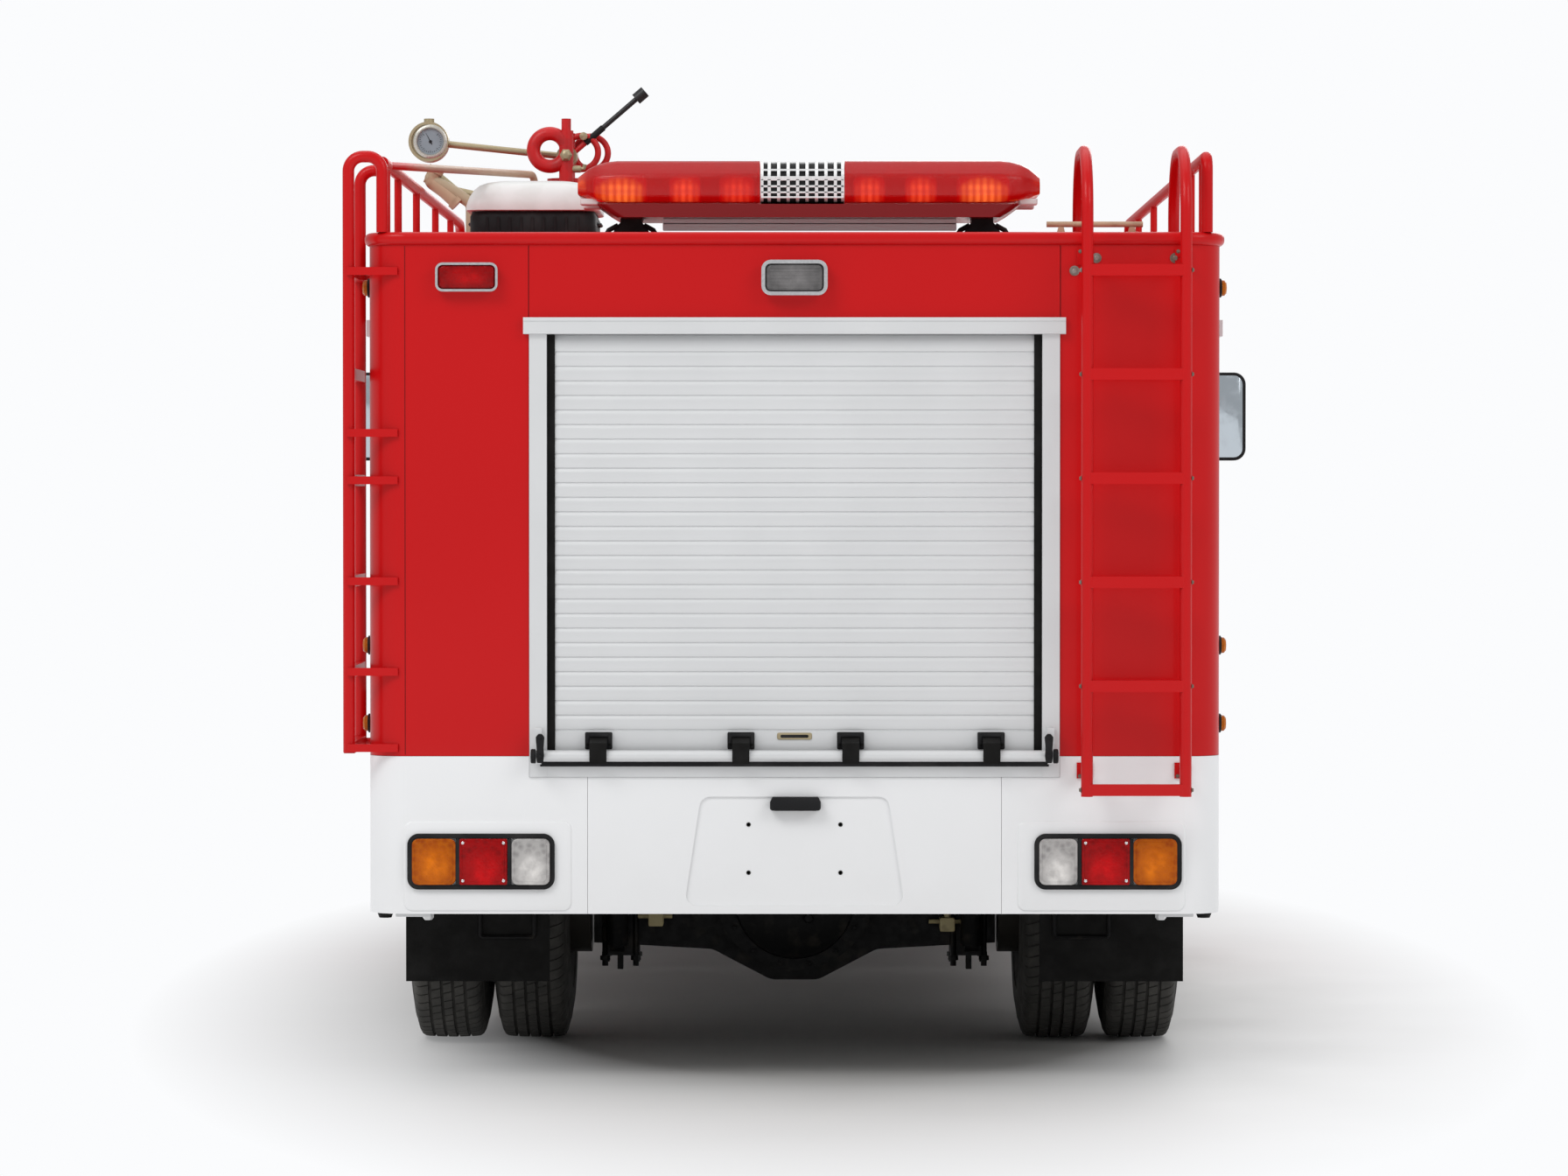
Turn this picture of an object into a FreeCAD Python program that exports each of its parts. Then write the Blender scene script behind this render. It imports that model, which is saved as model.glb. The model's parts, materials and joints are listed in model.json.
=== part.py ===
import FreeCAD
import Part
import math
import os

# Light crew-cab fire engine with roller shutters, a roof monitor and two ladders.
# X points right, Y forward and Z up. Places along the vehicle are named *_ahead
# and are measured forward from the rear face of the equipment body.

V = FreeCAD.Vector
ALONG_X = V(1, 0, 0)
ALONG_Y = V(0, 1, 0)
ALONG_Z = V(0, 0, 1)

# Whole vehicle
rear_to_bumper = 5600.0
ladder_stand_out = 121.0
rear_axle_ahead = 1150.0
wheelbase = 3350.0
overrun = 60.0
panel_gap = 0.8
seat_gap = 0.3
front_axle_ahead = rear_axle_ahead + wheelbase
rear_face_y = ladder_stand_out - (rear_to_bumper + ladder_stand_out) / 2

# Wheels and tyres
tyre_radius = 370.0
tyre_width = 188.0
tread_width = 136.0
tyre_shoulder = 26.0
tyre_bulge_height = 88.0
bead_width = 138.0
rim_radius = 206.0
rim_flange = 13.0
rim_flange_width = 9.0
rim_wall = 11.0
rim_well = 16.0
rim_well_width = 60.0
disc_thickness = 11.0
disc_dish = 52.0
disc_flat_radius = 118.0
hand_hole_radius = 17.0
hand_hole_circle = 148.0
hand_hole_count = 8
wheel_stud_circle = 92.0
wheel_stud_radius = 10.0
wheel_stud_length = 22.0
wheel_stud_count = 6
hub_radius = 62.0
hub_cap_radius = 44.0
hub_cap_length = 46.0
drum_radius = 158.0
drum_width = 84.0
drum_gap = 6.0
outer_tyre_x = 848.0
dual_pitch = 205.0
front_tyre_x = 795.0

# Axles, knuckles and springs
kingpin_x = 652.0
kingpin_radius = 14.0
boss_radius = 32.0
boss_height = 72.0
lug_height = 40.0
lug_gap = 1.0
spindle_radius = 25.0
backing_radius = 150.0
backing_thickness = 8.0
steering_arm_length = 150.0
steering_arm_width = 34.0
steering_arm_height = 22.0
front_beam_width = 70.0
front_beam_height = 62.0
front_beam_web = 22.0
front_beam_flange = 14.0
front_beam_drop = 52.0
front_seat_half = 46.0
rear_tube_half = 62.0
rear_tube_end_half = 52.0
rear_beam_drop = 148.0
rear_beam_end_drop = 132.0
banjo_radius = 224.0
banjo_half_width = 118.0
banjo_shoulder_x = 204.0
rear_beam_end_x = 498.0
rear_spindle_radius = 38.0
pinion_radius = 92.0
pinion_nose_radius = 56.0
pinion_ahead = 345.0
axle_depth_share = 0.86
spring_x = 432.0
spring_width = 62.0
leaf_thickness = 11.0
leaf_count = 5
rear_leaf_half = 590.0
front_leaf_half = 560.0
shortest_leaf_share = 0.34
spring_curve_radius = 3400.0
spring_eye_radius = 24.0
spring_pin_radius = 11.0
plate_thickness = 14.0
plate_half_length = 78.0
plate_drop = 48.0
hanger_half_length = 44.0

# Chassis
rail_outer_x = 366.0
rail_flange = 62.0
rail_thickness = 7.0
rail_height = 152.0
rail_base_z = 508.0
rail_rear_ahead = 46.0
rail_front_ahead = 5462.0
cross_width = 58.0
cross_share = (0.02, 0.135, 0.285, 0.46, 0.63, 0.985)
cross_lower_share = 0.2
cab_mount_ahead = (3330.0, 5240.0)
cab_mount_half = 45.0
cab_mount_cushion = 34.0

# Drive line
engine_half_width = 270.0
engine_base_z = 452.0
engine_top_z = 985.0
engine_rear_ahead = 4330.0
engine_front_ahead = 5060.0
sump_inset = 60.0
gearbox_half_width = 140.0
gearbox_base_z = 400.0
gearbox_top_z = 640.0
gearbox_rear_ahead = 3860.0
shaft_radius = 38.0
joint_radius = 52.0
joint_length = 46.0
gearbox_output_z = 470.0
pinion_z = 412.0

# Equipment body
body_half_width = 975.0
body_length = 3050.0
body_wall = 40.0
body_corner = 85.0
body_front_corner = 44.0
body_base_z = 394.0
colour_split_z = 754.0
wall_top_z = 1920.0
roof_top_z = 1950.0
roof_overhang = 11.0
roof_edge_radius = 13.0
floor_base_z = 700.0
floor_top_z = 736.0
subframe_base_z = rail_base_z + rail_height
apron_half_width = 472.0
arch_radius = 432.0
arch_box_inner_x = 506.0
arch_box_top_z = 832.0
arch_box_wall = 22.0
arch_box_half_length = 452.0

# Roller shutters, their frames and the lift bar
shutter_outer_x = 605.0
shutter_header_x = 618.0
frame_bar = 40.0
frame_proud = 5.0
header_height = 38.0
header_proud = 15.0
shutter_top_z = 1717.0
shutter_sill_top_z = 733.0
sill_height = 26.0
curtain_recess = 12.0
curtain_thickness = 14.0
slat_pitch = 33.0
slat_groove = 5.0
slat_groove_depth = 3.5
bottom_slat_height = 22.0
lift_bar_z = 756.0
lift_bar_radius = 13.0
lift_bar_half = 590.0
lift_bar_stand = 19.3
pivot_radius = 19.0
pivot_length = 13.0
pivot_arm_height = 64.0
pivot_arm_width = 16.0
buckle_x_share = (-0.758, -0.207, 0.217, 0.761)
buckle_width = 62.0
buckle_height = 40.0
buckle_depth = 15.0
buckle_edge = 5.0
buckle_strap_width = 36.0
buckle_strap_depth = 8.0
side_shutter_rear_ahead = (178.0, 1592.0)
side_shutter_length = (1284.0, 1280.0)
side_shutter_base_z = (892.0, 733.0)

# Fuel tank
tank_inner_x = 440.0
tank_side_inset = 95.0
tank_base_z = 392.0
tank_top_z = 640.0
tank_length = 760.0
tank_front_setback = 330.0
tank_corner = 58.0
tank_strap_width = 46.0
tank_strap_share = (0.24, 0.76)
tank_outer_x = body_half_width - tank_side_inset
tank_front_ahead = body_length - tank_front_setback
tank_rear_ahead = tank_front_ahead - tank_length

# Lamps on the equipment body
tail_lamp_side_inset = 91.0
tail_lamp_width = 337.0
tail_lamp_base_z = 450.0
tail_lamp_top_z = 578.0
tail_lamp_corner = 26.0
tail_lamp_depth = 30.0
tail_lamp_proud = 12.0
tail_rim = 11.0
tail_lens_proud = 7.0
tail_split_share = (0.36, 0.72)
tail_split_gap = 2.0
tail_lamp_outer_x = body_half_width - tail_lamp_side_inset
tail_lamp_inner_x = tail_lamp_outer_x - tail_lamp_width
marker_side_inset = 157.0
marker_width = 143.0
marker_base_z = 1813.0
marker_top_z = 1880.0
marker_proud = 27.0
marker_corner = 17.0
marker_outer_x = body_half_width - marker_side_inset
marker_inner_x = marker_outer_x - marker_width
work_lamp_half = 76.0
work_lamp_base_z = 1804.0
work_lamp_top_z = 1886.0
work_lamp_proud = 34.0
work_lamp_corner = 22.0
side_lamp_ahead = 122.0
side_lamp_z_share = (0.061, 0.215, 0.92)
side_lamp_half = 22.0
side_lamp_proud = 20.0
plate_lamp_half = 58.0
plate_lamp_base_z = 631.0
plate_lamp_height = 31.0
plate_lamp_proud = 24.0
plate_lamp_corner = 8.0
plate_lamp_x = 2.0
plate_panel_lower_half = 252.0
plate_panel_upper_half = 214.0
plate_panel_base_z = 412.0
plate_panel_top_z = 662.0
plate_panel_depth = 5.0
plate_hole_radius = 3.5
plate_hole_x = 210.0
plate_hole_z = 110.0
plate_hole_low_z = 488.0

# Rear ladder
tube_radius = 13.5
rear_ladder_side_inset = 90.0
rear_ladder_width = 223.0
rear_ladder_outer_x = body_half_width - rear_ladder_side_inset
rear_ladder_x = (rear_ladder_outer_x - rear_ladder_width, rear_ladder_outer_x)
rear_ladder_base_z = 668.0
rear_ladder_top_z = 2150.0
rear_ladder_hook_ahead = 300.0
rear_ladder_bend = 150.0
rung_height = 26.0
rung_width = 24.0
rear_rung_low_z = 683.0
rear_rung_high_z = 1859.0
rear_rung_count = 6
ladder_foot_z = (722.0, 1893.0)
ladder_foot_radius = 8.0
ladder_foot_plate = 36.0
ladder_foot_thickness = 5.0

# Side ladder and guard rails
side_ladder_stand_off = 43.0
side_ladder_x = -body_half_width - side_ladder_stand_off
side_ladder_rear_ahead = 16.0
side_ladder_front_ahead = 352.0
side_ladder_base_z = 762.0
side_ladder_low_z = 773.0
side_ladder_high_z = 1861.0
side_rung_share = (0.0, 0.16, 0.35, 0.5616, 0.785, 1.0)
strap_share = (0.0, 0.16, 0.35, 0.5616, 0.661, 1.0)
strap_height = 18.0
strap_thickness = 6.0
strap_reach = 70.0
strap_reach_x = body_half_width - strap_reach
guard_inset = 34.0
guard_x = body_half_width - guard_inset
guard_top_z = 2110.0
guard_post_top_z = 2136.0
guard_bend = 33.0
guard_rear_ahead = 18.0
guard_front_ahead = 2960.0
guard_front_bend = 70.0
guard_post_ahead = (150.0, 520.0, 1150.0, 1870.0, 2500.0)
guard_post_radius = 9.0
handrail_end_x = -645.0
handrail_end_ahead = 1125.0
handrail_end_z = 2158.0
handrail_bend = 30.0

# Light bar
bar_centre_x = 33.0
bar_half = 534.0
bar_centre_ahead = 272.0
bar_half_depth = 150.0
bar_base_z = 2002.0
bar_tray_top_z = 2030.0
bar_top_z = 2121.0
bar_taper = 86.0
bar_top_taper = 62.0
bar_corner = 18.0
speaker_half = 98.0
speaker_x = 18.0
bar_foot_x = (-379.0, 436.0)
bar_foot_half = 36.0
bar_foot_half_depth = 62.0
bar_rail_half = 350.0
bar_rail_height = 16.0
bar_rail_half_depth = 20.0

# Roof box
roof_box_x = (-792.0, -470.0)
roof_box_ahead = (690.0, 1075.0)
roof_box_lid_z = 2046.0
roof_box_top_z = 2110.0
roof_box_corner = 46.0
roof_box_lid_lip = 8.0
roof_box_lid_edge = 17.0

# Roof monitor
monitor_x = -572.0
monitor_ahead = 1300.0
monitor_flange_radius = 74.0
monitor_flange_thickness = 16.0
monitor_riser_radius = 38.0
monitor_swivel_z = 2118.0
monitor_swivel_radius = 50.0
monitor_swivel_height = 26.0
monitor_axis_z = 2200.0
yoke_radius = 18.0
yoke_gap = 1.5
yoke_top_z = 2262.0
ring_radius = 41.0
ring_tube_radius = 17.0
ring_rise = 14.0
wheel_radius = 42.0
wheel_tube_radius = 8.0
wheel_shift = 34.0
wheel_step = 24.0
wheel_pitch = 26.0
hub_length = 64.0
trunnion_radius = 15.0
stub_radius = 12.0
stub_height = 30.0
lever_radius = 6.5
lever_out = 172.0
lever_up = 148.0
lever_knob_radius = 15.0
lever_knob_length = 30.0
barrel_length = 349.0
barrel_rise_deg = 6.0
barrel_radius = 8.5
barrel_block = 26.0
nozzle_radius = 50.0
nozzle_depth = 62.0
nozzle_rim = 7.0
nozzle_cap_radius = 13.0
nozzle_cap_height = 9.0
cradle_radius = 15.0
cradle_bend = 24.0
cradle_x_share = (1.42, 1.42, 1.49, 1.62)
cradle_z_share = (0.0, 0.66, 0.8, 1.0)
cradle_top_z = 2150.0

# Cab
cab_rear_ahead = 3110.0
cab_front_ahead = 5520.0
cab_half_width = 930.0
cab_base_z = 470.0
cab_roof_z = 2060.0
cab_roof_half_width = 874.0
cab_waist_z = 1180.0
cab_screen_top_ahead = 5150.0
cab_screen_base_z = 1235.0
cab_wall = 44.0
chassis_notch_gap = 26.0
cab_rear_corner = 90.0
cab_brow_radius = 190.0
cab_cowl_radius = 110.0
cab_sill_radius = 40.0
cab_shoulder_radius = 110.0
cab_waist_radius = 700.0
cab_plan_front_corner = 170.0
cab_plan_rear_corner = 50.0
cab_floor_base_z = 800.0
cab_floor_top_z = 830.0
hump_half_width = 352.0
hump_top_z = 1040.0
hump_wall = 20.0
hump_rear_ahead = 4250.0
hump_front_ahead = 5110.0

# Doors, windows and windscreen
door_base_z = 840.0
door_top_z = 1925.0
door_gap = 9.0
door_corner = 60.0
front_door_rear_ahead = 4290.0
front_door_front_ahead = 5260.0
front_door_top_ahead = 5010.0
front_door_knee_z = 1250.0
rear_door_rear_ahead = 3330.0
rear_door_front_ahead = 4190.0
window_base_z = 1290.0
window_frame = 78.0
window_corner = 55.0
glass_recess = 12.0
glass_thickness = 5.0
screen_base_z = 1300.0
screen_top_z = 1925.0
screen_base_half = 800.0
screen_top_half = 735.0
screen_corner = 90.0
handle_length = 130.0
handle_height = 26.0
handle_proud = 30.0
handle_grip = 12.0
handle_inset = 70.0
handle_z = 1150.0
hinge_radius = 9.0
hinge_height = 90.0
hinge_share = (0.1, 0.78)
hinge_lug = 12.0

# Cab fittings
seat_width = 456.0
front_seat_x = 592.0
front_seat_rear_ahead = 4300.0
rear_seat_rear_ahead = 3250.0
rear_bench_half = 820.0
cushion_depth = 480.0
cushion_height = 130.0
cushion_top_z = 1190.0
pedestal_inset = 40.0
backrest_height = 560.0
backrest_thickness = 110.0
backrest_top_share = 0.7
cushion_corner = 40.0
dash_half = 790.0
dash_rear_ahead = 5150.0
dash_front_ahead = 5420.0
dash_base_z = 1010.0
dash_top_z = 1262.0
dash_corner = 50.0
steering_x = -600.0
steering_ahead = 5010.0
steering_z = 1268.0
steering_radius = 215.0
steering_grip = 14.0
steering_tilt_deg = 32.0
steering_column_radius = 24.0
steering_column_length = 300.0
steering_hub_radius = 46.0
bumper_half = 925.0
bumper_base_z = 432.0
bumper_top_z = 690.0
bumper_corner = 70.0
bumper_edge = 18.0
grille_half = 470.0
grille_base_z = 790.0
grille_top_z = 1000.0
grille_proud = 22.0
grille_slats = 5
grille_slat_share = 0.56
grille_frame = 20.0
headlamp_inner_x = 500.0
headlamp_outer_x = 755.0
headlamp_base_z = 792.0
headlamp_top_z = 978.0
headlamp_proud = 26.0
headlamp_corner = 34.0
mirror_inner_x = 1262.0
mirror_outer_x = 1440.0
mirror_base_z = 1456.0
mirror_top_z = 1737.0
mirror_ahead = 5000.0
mirror_thickness = 56.0
mirror_corner = 38.0
mirror_arm_radius = 10.0
mirror_arm_z = (1560.0, 1800.0)
mirror_arm_bend = 60.0
mirror_root_ahead = 5150.0
mirror_root_z = (1180.0, 1010.0)

# Mud flaps
flap_inner_x = 586.0
flap_side_inset = 45.0
flap_ahead = 600.0
flap_thickness = 6.0
flap_base_z = 186.0


# Shared shape helpers


def ahead(distance):
    """Y of a place given by its distance ahead of the body's rear face."""
    return rear_face_y + distance


def box(x0, x1, y0, y1, z0, z1):
    """A block between two corners."""
    return Part.makeBox(x1 - x0, y1 - y0, z1 - z0, V(x0, y0, z0))


def rod(start, end, radius):
    """A round bar from one point to another."""
    line = end - start
    return Part.makeCylinder(radius, line.Length, start, line)


def mirrored(shape):
    """The same shape on the other side of the vehicle."""
    return shape.mirror(V(0, 0, 0), ALONG_X)


def pair(shape):
    """A shape and its mirror image, which don't touch."""
    return Part.makeCompound([shape, mirrored(shape)])


def joined(shapes):
    """Touching or overlapping solids as one."""
    whole = shapes[0].fuse(shapes[1:]) if len(shapes) > 1 else shapes[0]
    return whole.removeSplitter()


def less(shape, cutters):
    """A solid with several cutters taken out."""
    for cutter in cutters:
        shape = shape.cut(cutter)
    return shape


def rounded_path(points, radii, closed):
    """A wire of straight runs whose corners are tangent arcs."""
    count = len(points)
    entries = []
    edges = []
    leaves = []
    for index, corner in enumerate(points):
        at_end = not closed and index in (0, count - 1)
        radius = radii[index]
        if at_end or radius == 0:
            entries.append(corner)
            leaves.append((corner, None))
            continue
        back = (points[index - 1] - corner).normalize()
        onward = (points[(index + 1) % count] - corner).normalize()
        half = back.getAngle(onward) / 2
        entry = corner + back * (radius / math.tan(half))
        leave = corner + onward * (radius / math.tan(half))
        inward = (back + onward).normalize()
        middle = corner + inward * (radius / math.sin(half) - radius)
        entries.append(entry)
        leaves.append((leave, Part.Arc(entry, middle, leave).toShape()))
    for index in range(count):
        leave, arc = leaves[index]
        if arc:
            edges.append(arc)
        if index == count - 1 and not closed:
            break
        entry = entries[(index + 1) % count]
        if leave.distanceToPoint(entry) > Part.Precision.confusion():
            edges.append(Part.LineSegment(leave, entry).toShape())
    return Part.Wire(edges)


def rounded_face(points, radii):
    """A flat face with each corner rounded by its own radius."""
    return Part.Face(rounded_path(points, radii, True))


def side_prism(outline, radii, x0, x1):
    """An outline of (ahead, z) places carried across from x0 to x1."""
    points = [V(x0, ahead(place), z) for place, z in outline]
    return rounded_face(points, radii).extrude(V(x1 - x0, 0, 0))


def front_prism(outline, radii, y0, y1):
    """An outline of (x, z) places carried along from y0 to y1."""
    points = [V(x, y0, z) for x, z in outline]
    return rounded_face(points, radii).extrude(V(0, y1 - y0, 0))


def plan_prism(outline, radii, z0, z1):
    """An outline of (x, ahead) places carried up from z0 to z1."""
    points = [V(x, ahead(place), z0) for x, place in outline]
    return rounded_face(points, radii).extrude(V(0, 0, z1 - z0))


def rectangle(a0, a1, b0, b1):
    """Corner places of a rectangle."""
    return [(a0, b0), (a1, b0), (a1, b1), (a0, b1)]


def face_block(x0, x1, z0, z1, corner, y0, y1):
    """A block with rounded corners seen from the rear."""
    return front_prism(rectangle(x0, x1, z0, z1), [corner] * 4, y0, y1)


def tube(points, radius, bends):
    """A round tube along straight runs with tangent bends."""
    radii = [0] + list(bends) + [0]
    path = rounded_path(points, radii, False)
    circle = Part.Circle(points[0], points[1] - points[0], radius)
    return path.makePipeShell([Part.Wire(circle.toShape())], True, True)


def turned(profile, centre_x, place, z):
    """A profile of (offset along X, radius) turned about a wheel's axis."""
    points = [V(centre_x + offset, ahead(place), z + reach) for offset, reach in profile]
    face = Part.Face(Part.makePolygon(points + points[:1]))
    return face.revolve(V(0, ahead(place), z), ALONG_X, 360)


def export(shape, name):
    """Write one node after checking that it is sound."""
    if not shape.isValid() or not shape.Solids:
        raise ValueError(name + " is not a sound solid")
    shape.exportStep("parts/" + name + ".step")


# Wheels, axles and springs


def tyre(centre_x, place):
    """A tyre with flat tread, rounded shoulders and bulged walls."""
    axis_z = tyre_radius
    tread = tread_width / 2
    wall = tyre_width / 2
    bead = bead_width / 2
    bulge = rim_radius + tyre_bulge_height
    lip = rim_radius + rim_flange + seat_gap
    low = tyre_radius - tyre_shoulder
    right = [(bead, rim_radius), (bead, lip), (wall, bulge), (tread + tyre_shoulder / 2, low), (tread, tyre_radius)]
    left = [(-x, reach) for x, reach in reversed(right)]
    return turned(right + left, centre_x, place, axis_z)


def rim(centre_x, place, side):
    """A steel disc wheel whose mounting face looks towards side."""
    axis_z = tyre_radius
    edge = bead_width / 2
    outer = edge + rim_flange_width
    well = rim_well_width / 2
    inner = rim_radius - rim_wall
    lip = rim_radius + rim_flange
    floor = rim_radius - rim_well
    barrel = [
        (outer, inner), (outer, lip), (edge, lip), (edge, rim_radius),
        (well, floor), (-well, floor), (-edge, rim_radius), (-edge, lip),
        (-outer, lip), (-outer, inner), (-well, floor - rim_wall), (well, floor - rim_wall),
    ]
    face = dual_pitch / 2 - panel_gap / 2
    back = face - disc_thickness
    dish = [
        (0, hub_cap_radius), (0, disc_flat_radius), (-disc_dish, floor - rim_wall / 2),
        (-disc_dish - disc_thickness, floor - rim_wall / 2), (-disc_thickness, disc_flat_radius),
        (-disc_thickness, hub_cap_radius),
    ]
    disc = [(side * (face + offset), reach) for offset, reach in dish]
    wheel = turned(barrel, centre_x, place, axis_z)
    plate = turned(disc, centre_x, place, axis_z)
    holes = []
    for index in range(hand_hole_count):
        turn = math.radians(360 * index / hand_hole_count)
        spot = V(centre_x, ahead(place) + hand_hole_circle * math.cos(turn),
                 axis_z + hand_hole_circle * math.sin(turn))
        hole = Part.makeCylinder(hand_hole_radius, 2 * (back + overrun), spot - V(back + overrun, 0, 0), ALONG_X)
        holes.append(hole)
    return wheel.fuse(less(plate, holes))


def studs(face_x, place, side):
    """The ring of wheel nuts on a mounting face."""
    nuts = []
    for index in range(wheel_stud_count):
        turn = math.radians(360 * index / wheel_stud_count)
        spot = V(face_x, ahead(place) + wheel_stud_circle * math.cos(turn),
                 tyre_radius + wheel_stud_circle * math.sin(turn))
        nuts.append(Part.makeCylinder(wheel_stud_radius, wheel_stud_length, spot, ALONG_X * side))
    return nuts


def wheel_cylinder(x0, x1, place, radius):
    """A round piece on a wheel's axis between two places along X."""
    return rod(V(x0, ahead(place), tyre_radius), V(x1, ahead(place), tyre_radius), radius)


def rear_wheel():
    """Right rear inner rim with drum and hub, the outer rim clamped to it, and both tyres."""
    place = rear_axle_ahead
    inner_x = outer_tyre_x - dual_pitch
    meet_x = outer_tyre_x - dual_pitch / 2
    drum_x = rear_beam_end_x + drum_gap
    cap_x = meet_x + disc_thickness + hub_cap_length
    inner = rim(inner_x, place, 1)
    outer = rim(outer_tyre_x, place, -1)
    drum = wheel_cylinder(drum_x, drum_x + drum_width, place, drum_radius)
    hub = wheel_cylinder(drum_x, cap_x, place, hub_cap_radius)
    nave = wheel_cylinder(drum_x, meet_x - disc_thickness, place, hub_radius)
    inner_washer = wheel_cylinder(meet_x - disc_thickness, meet_x, place, hub_radius)
    outer_washer = wheel_cylinder(meet_x + seat_gap, meet_x + disc_thickness, place, hub_radius)
    carrier = joined([inner, drum, nave, inner_washer, hub])
    clamped = joined([outer, outer_washer] + studs(meet_x + disc_thickness, place, 1))
    clamped = clamped.cut(wheel_cylinder(meet_x - overrun, cap_x, place, hub_cap_radius + seat_gap))
    bore = wheel_cylinder(drum_x - overrun, cap_x - hub_cap_length / 2, place, rear_spindle_radius + seat_gap)
    tyres = Part.makeCompound([tyre(inner_x, place), tyre(outer_tyre_x, place)])
    return Part.makeCompound([carrier.cut(bore), clamped]), tyres


def front_wheel():
    """Right front rim, drum and hub as one piece, and its tyre."""
    place = front_axle_ahead
    face_x = front_tyre_x + dual_pitch / 2
    drum_x = kingpin_x + boss_radius + backing_thickness + drum_gap + lug_gap
    drum = wheel_cylinder(drum_x, drum_x + drum_width, place, drum_radius)
    nave = wheel_cylinder(drum_x, face_x, place, hub_radius)
    cap = wheel_cylinder(face_x - disc_thickness, face_x + hub_cap_length / 2, place, hub_cap_radius)
    body = joined([rim(front_tyre_x, place, 1), drum, nave, cap] + studs(face_x, place, 1))
    bore = wheel_cylinder(drum_x - overrun, face_x, place, spindle_radius + seat_gap)
    return body.cut(bore), tyre(front_tyre_x, place)


def knuckle():
    """Right steering knuckle: forked lugs, kingpin, spindle, backing plate and arm."""
    y = ahead(front_axle_ahead)
    z = tyre_radius
    top = z + boss_height / 2 + lug_gap
    low = z - boss_height / 2 - lug_gap
    upper = rod(V(kingpin_x, y, top), V(kingpin_x, y, top + lug_height), boss_radius)
    lower = rod(V(kingpin_x, y, low - lug_height), V(kingpin_x, y, low), boss_radius)
    pin = rod(V(kingpin_x, y, low - lug_height), V(kingpin_x, y, top + lug_height), kingpin_radius)
    plate_x = kingpin_x + boss_radius + lug_gap
    plate = wheel_cylinder(plate_x, plate_x + backing_thickness, front_axle_ahead, backing_radius)
    web = box(kingpin_x, plate_x, y - boss_radius, y + boss_radius, low - lug_height, low)
    brow = box(kingpin_x, plate_x, y - boss_radius, y + boss_radius, top, top + lug_height)
    spindle_end = front_tyre_x + dual_pitch / 2 - disc_thickness
    spindle = wheel_cylinder(plate_x, spindle_end, front_axle_ahead, spindle_radius)
    foot = low - lug_height
    arm = box(kingpin_x - steering_arm_width / 2, kingpin_x + steering_arm_width / 2,
              y - steering_arm_length, y, foot, foot + steering_arm_height)
    eye = rod(V(kingpin_x, y - steering_arm_length, foot),
              V(kingpin_x, y - steering_arm_length, foot + steering_arm_height), steering_arm_width / 2)
    return joined([upper, lower, pin, web, brow, plate, spindle, arm, eye])


def front_axle():
    """Forged I beam that drops between the springs and carries the kingpins."""
    y = ahead(front_axle_ahead)
    z = tyre_radius
    half = front_beam_height / 2
    seat = spring_x + spring_width / 2 + front_seat_half / 2
    drop = z - front_beam_drop
    boss_inner = kingpin_x - boss_radius / 2
    outline = [
        (-boss_inner, z + half), (-seat, drop + half), (seat, drop + half), (boss_inner, z + half),
        (boss_inner, z - half), (seat, drop - half), (-seat, drop - half), (-boss_inner, z - half),
    ]
    radii = [0, front_seat_half, front_seat_half, 0, 0, front_seat_half, front_seat_half, 0]
    beam = front_prism(outline, radii, y - front_beam_width / 2, y + front_beam_width / 2)
    slot_low = [(x, height + (front_beam_flange if height < (drop if abs(x) == seat else z)
                              else -front_beam_flange)) for x, height in outline]
    slot = front_prism(slot_low, radii, y, y + front_beam_width / 2 + overrun)
    forward = slot.copy()
    forward.translate(V(0, front_beam_web / 2, 0))
    rearward = slot.mirror(V(0, y, 0), ALONG_Y)
    rearward.translate(V(0, -front_beam_web / 2, 0))
    web_half = spring_x - spring_width / 2 - front_seat_half / 2
    keep = box(-web_half, web_half, y - front_beam_width, y + front_beam_width, 0, z * 2)
    beam = less(beam, [forward.common(keep), rearward.common(keep)])
    bosses = []
    holes = []
    for side in (-1, 1):
        centre = V(side * kingpin_x, y, z - boss_height / 2)
        bosses.append(rod(centre, centre + V(0, 0, boss_height), boss_radius))
        holes.append(rod(centre - V(0, 0, overrun), centre + V(0, 0, boss_height + overrun),
                         kingpin_radius + seat_gap))
        pad_top = drop + half + plate_thickness
        bosses.append(box(side * spring_x - spring_width / 2, side * spring_x + spring_width / 2,
                          y - plate_half_length, y + plate_half_length, drop + half, pad_top))
    return less(joined([beam] + bosses), holes)


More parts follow.
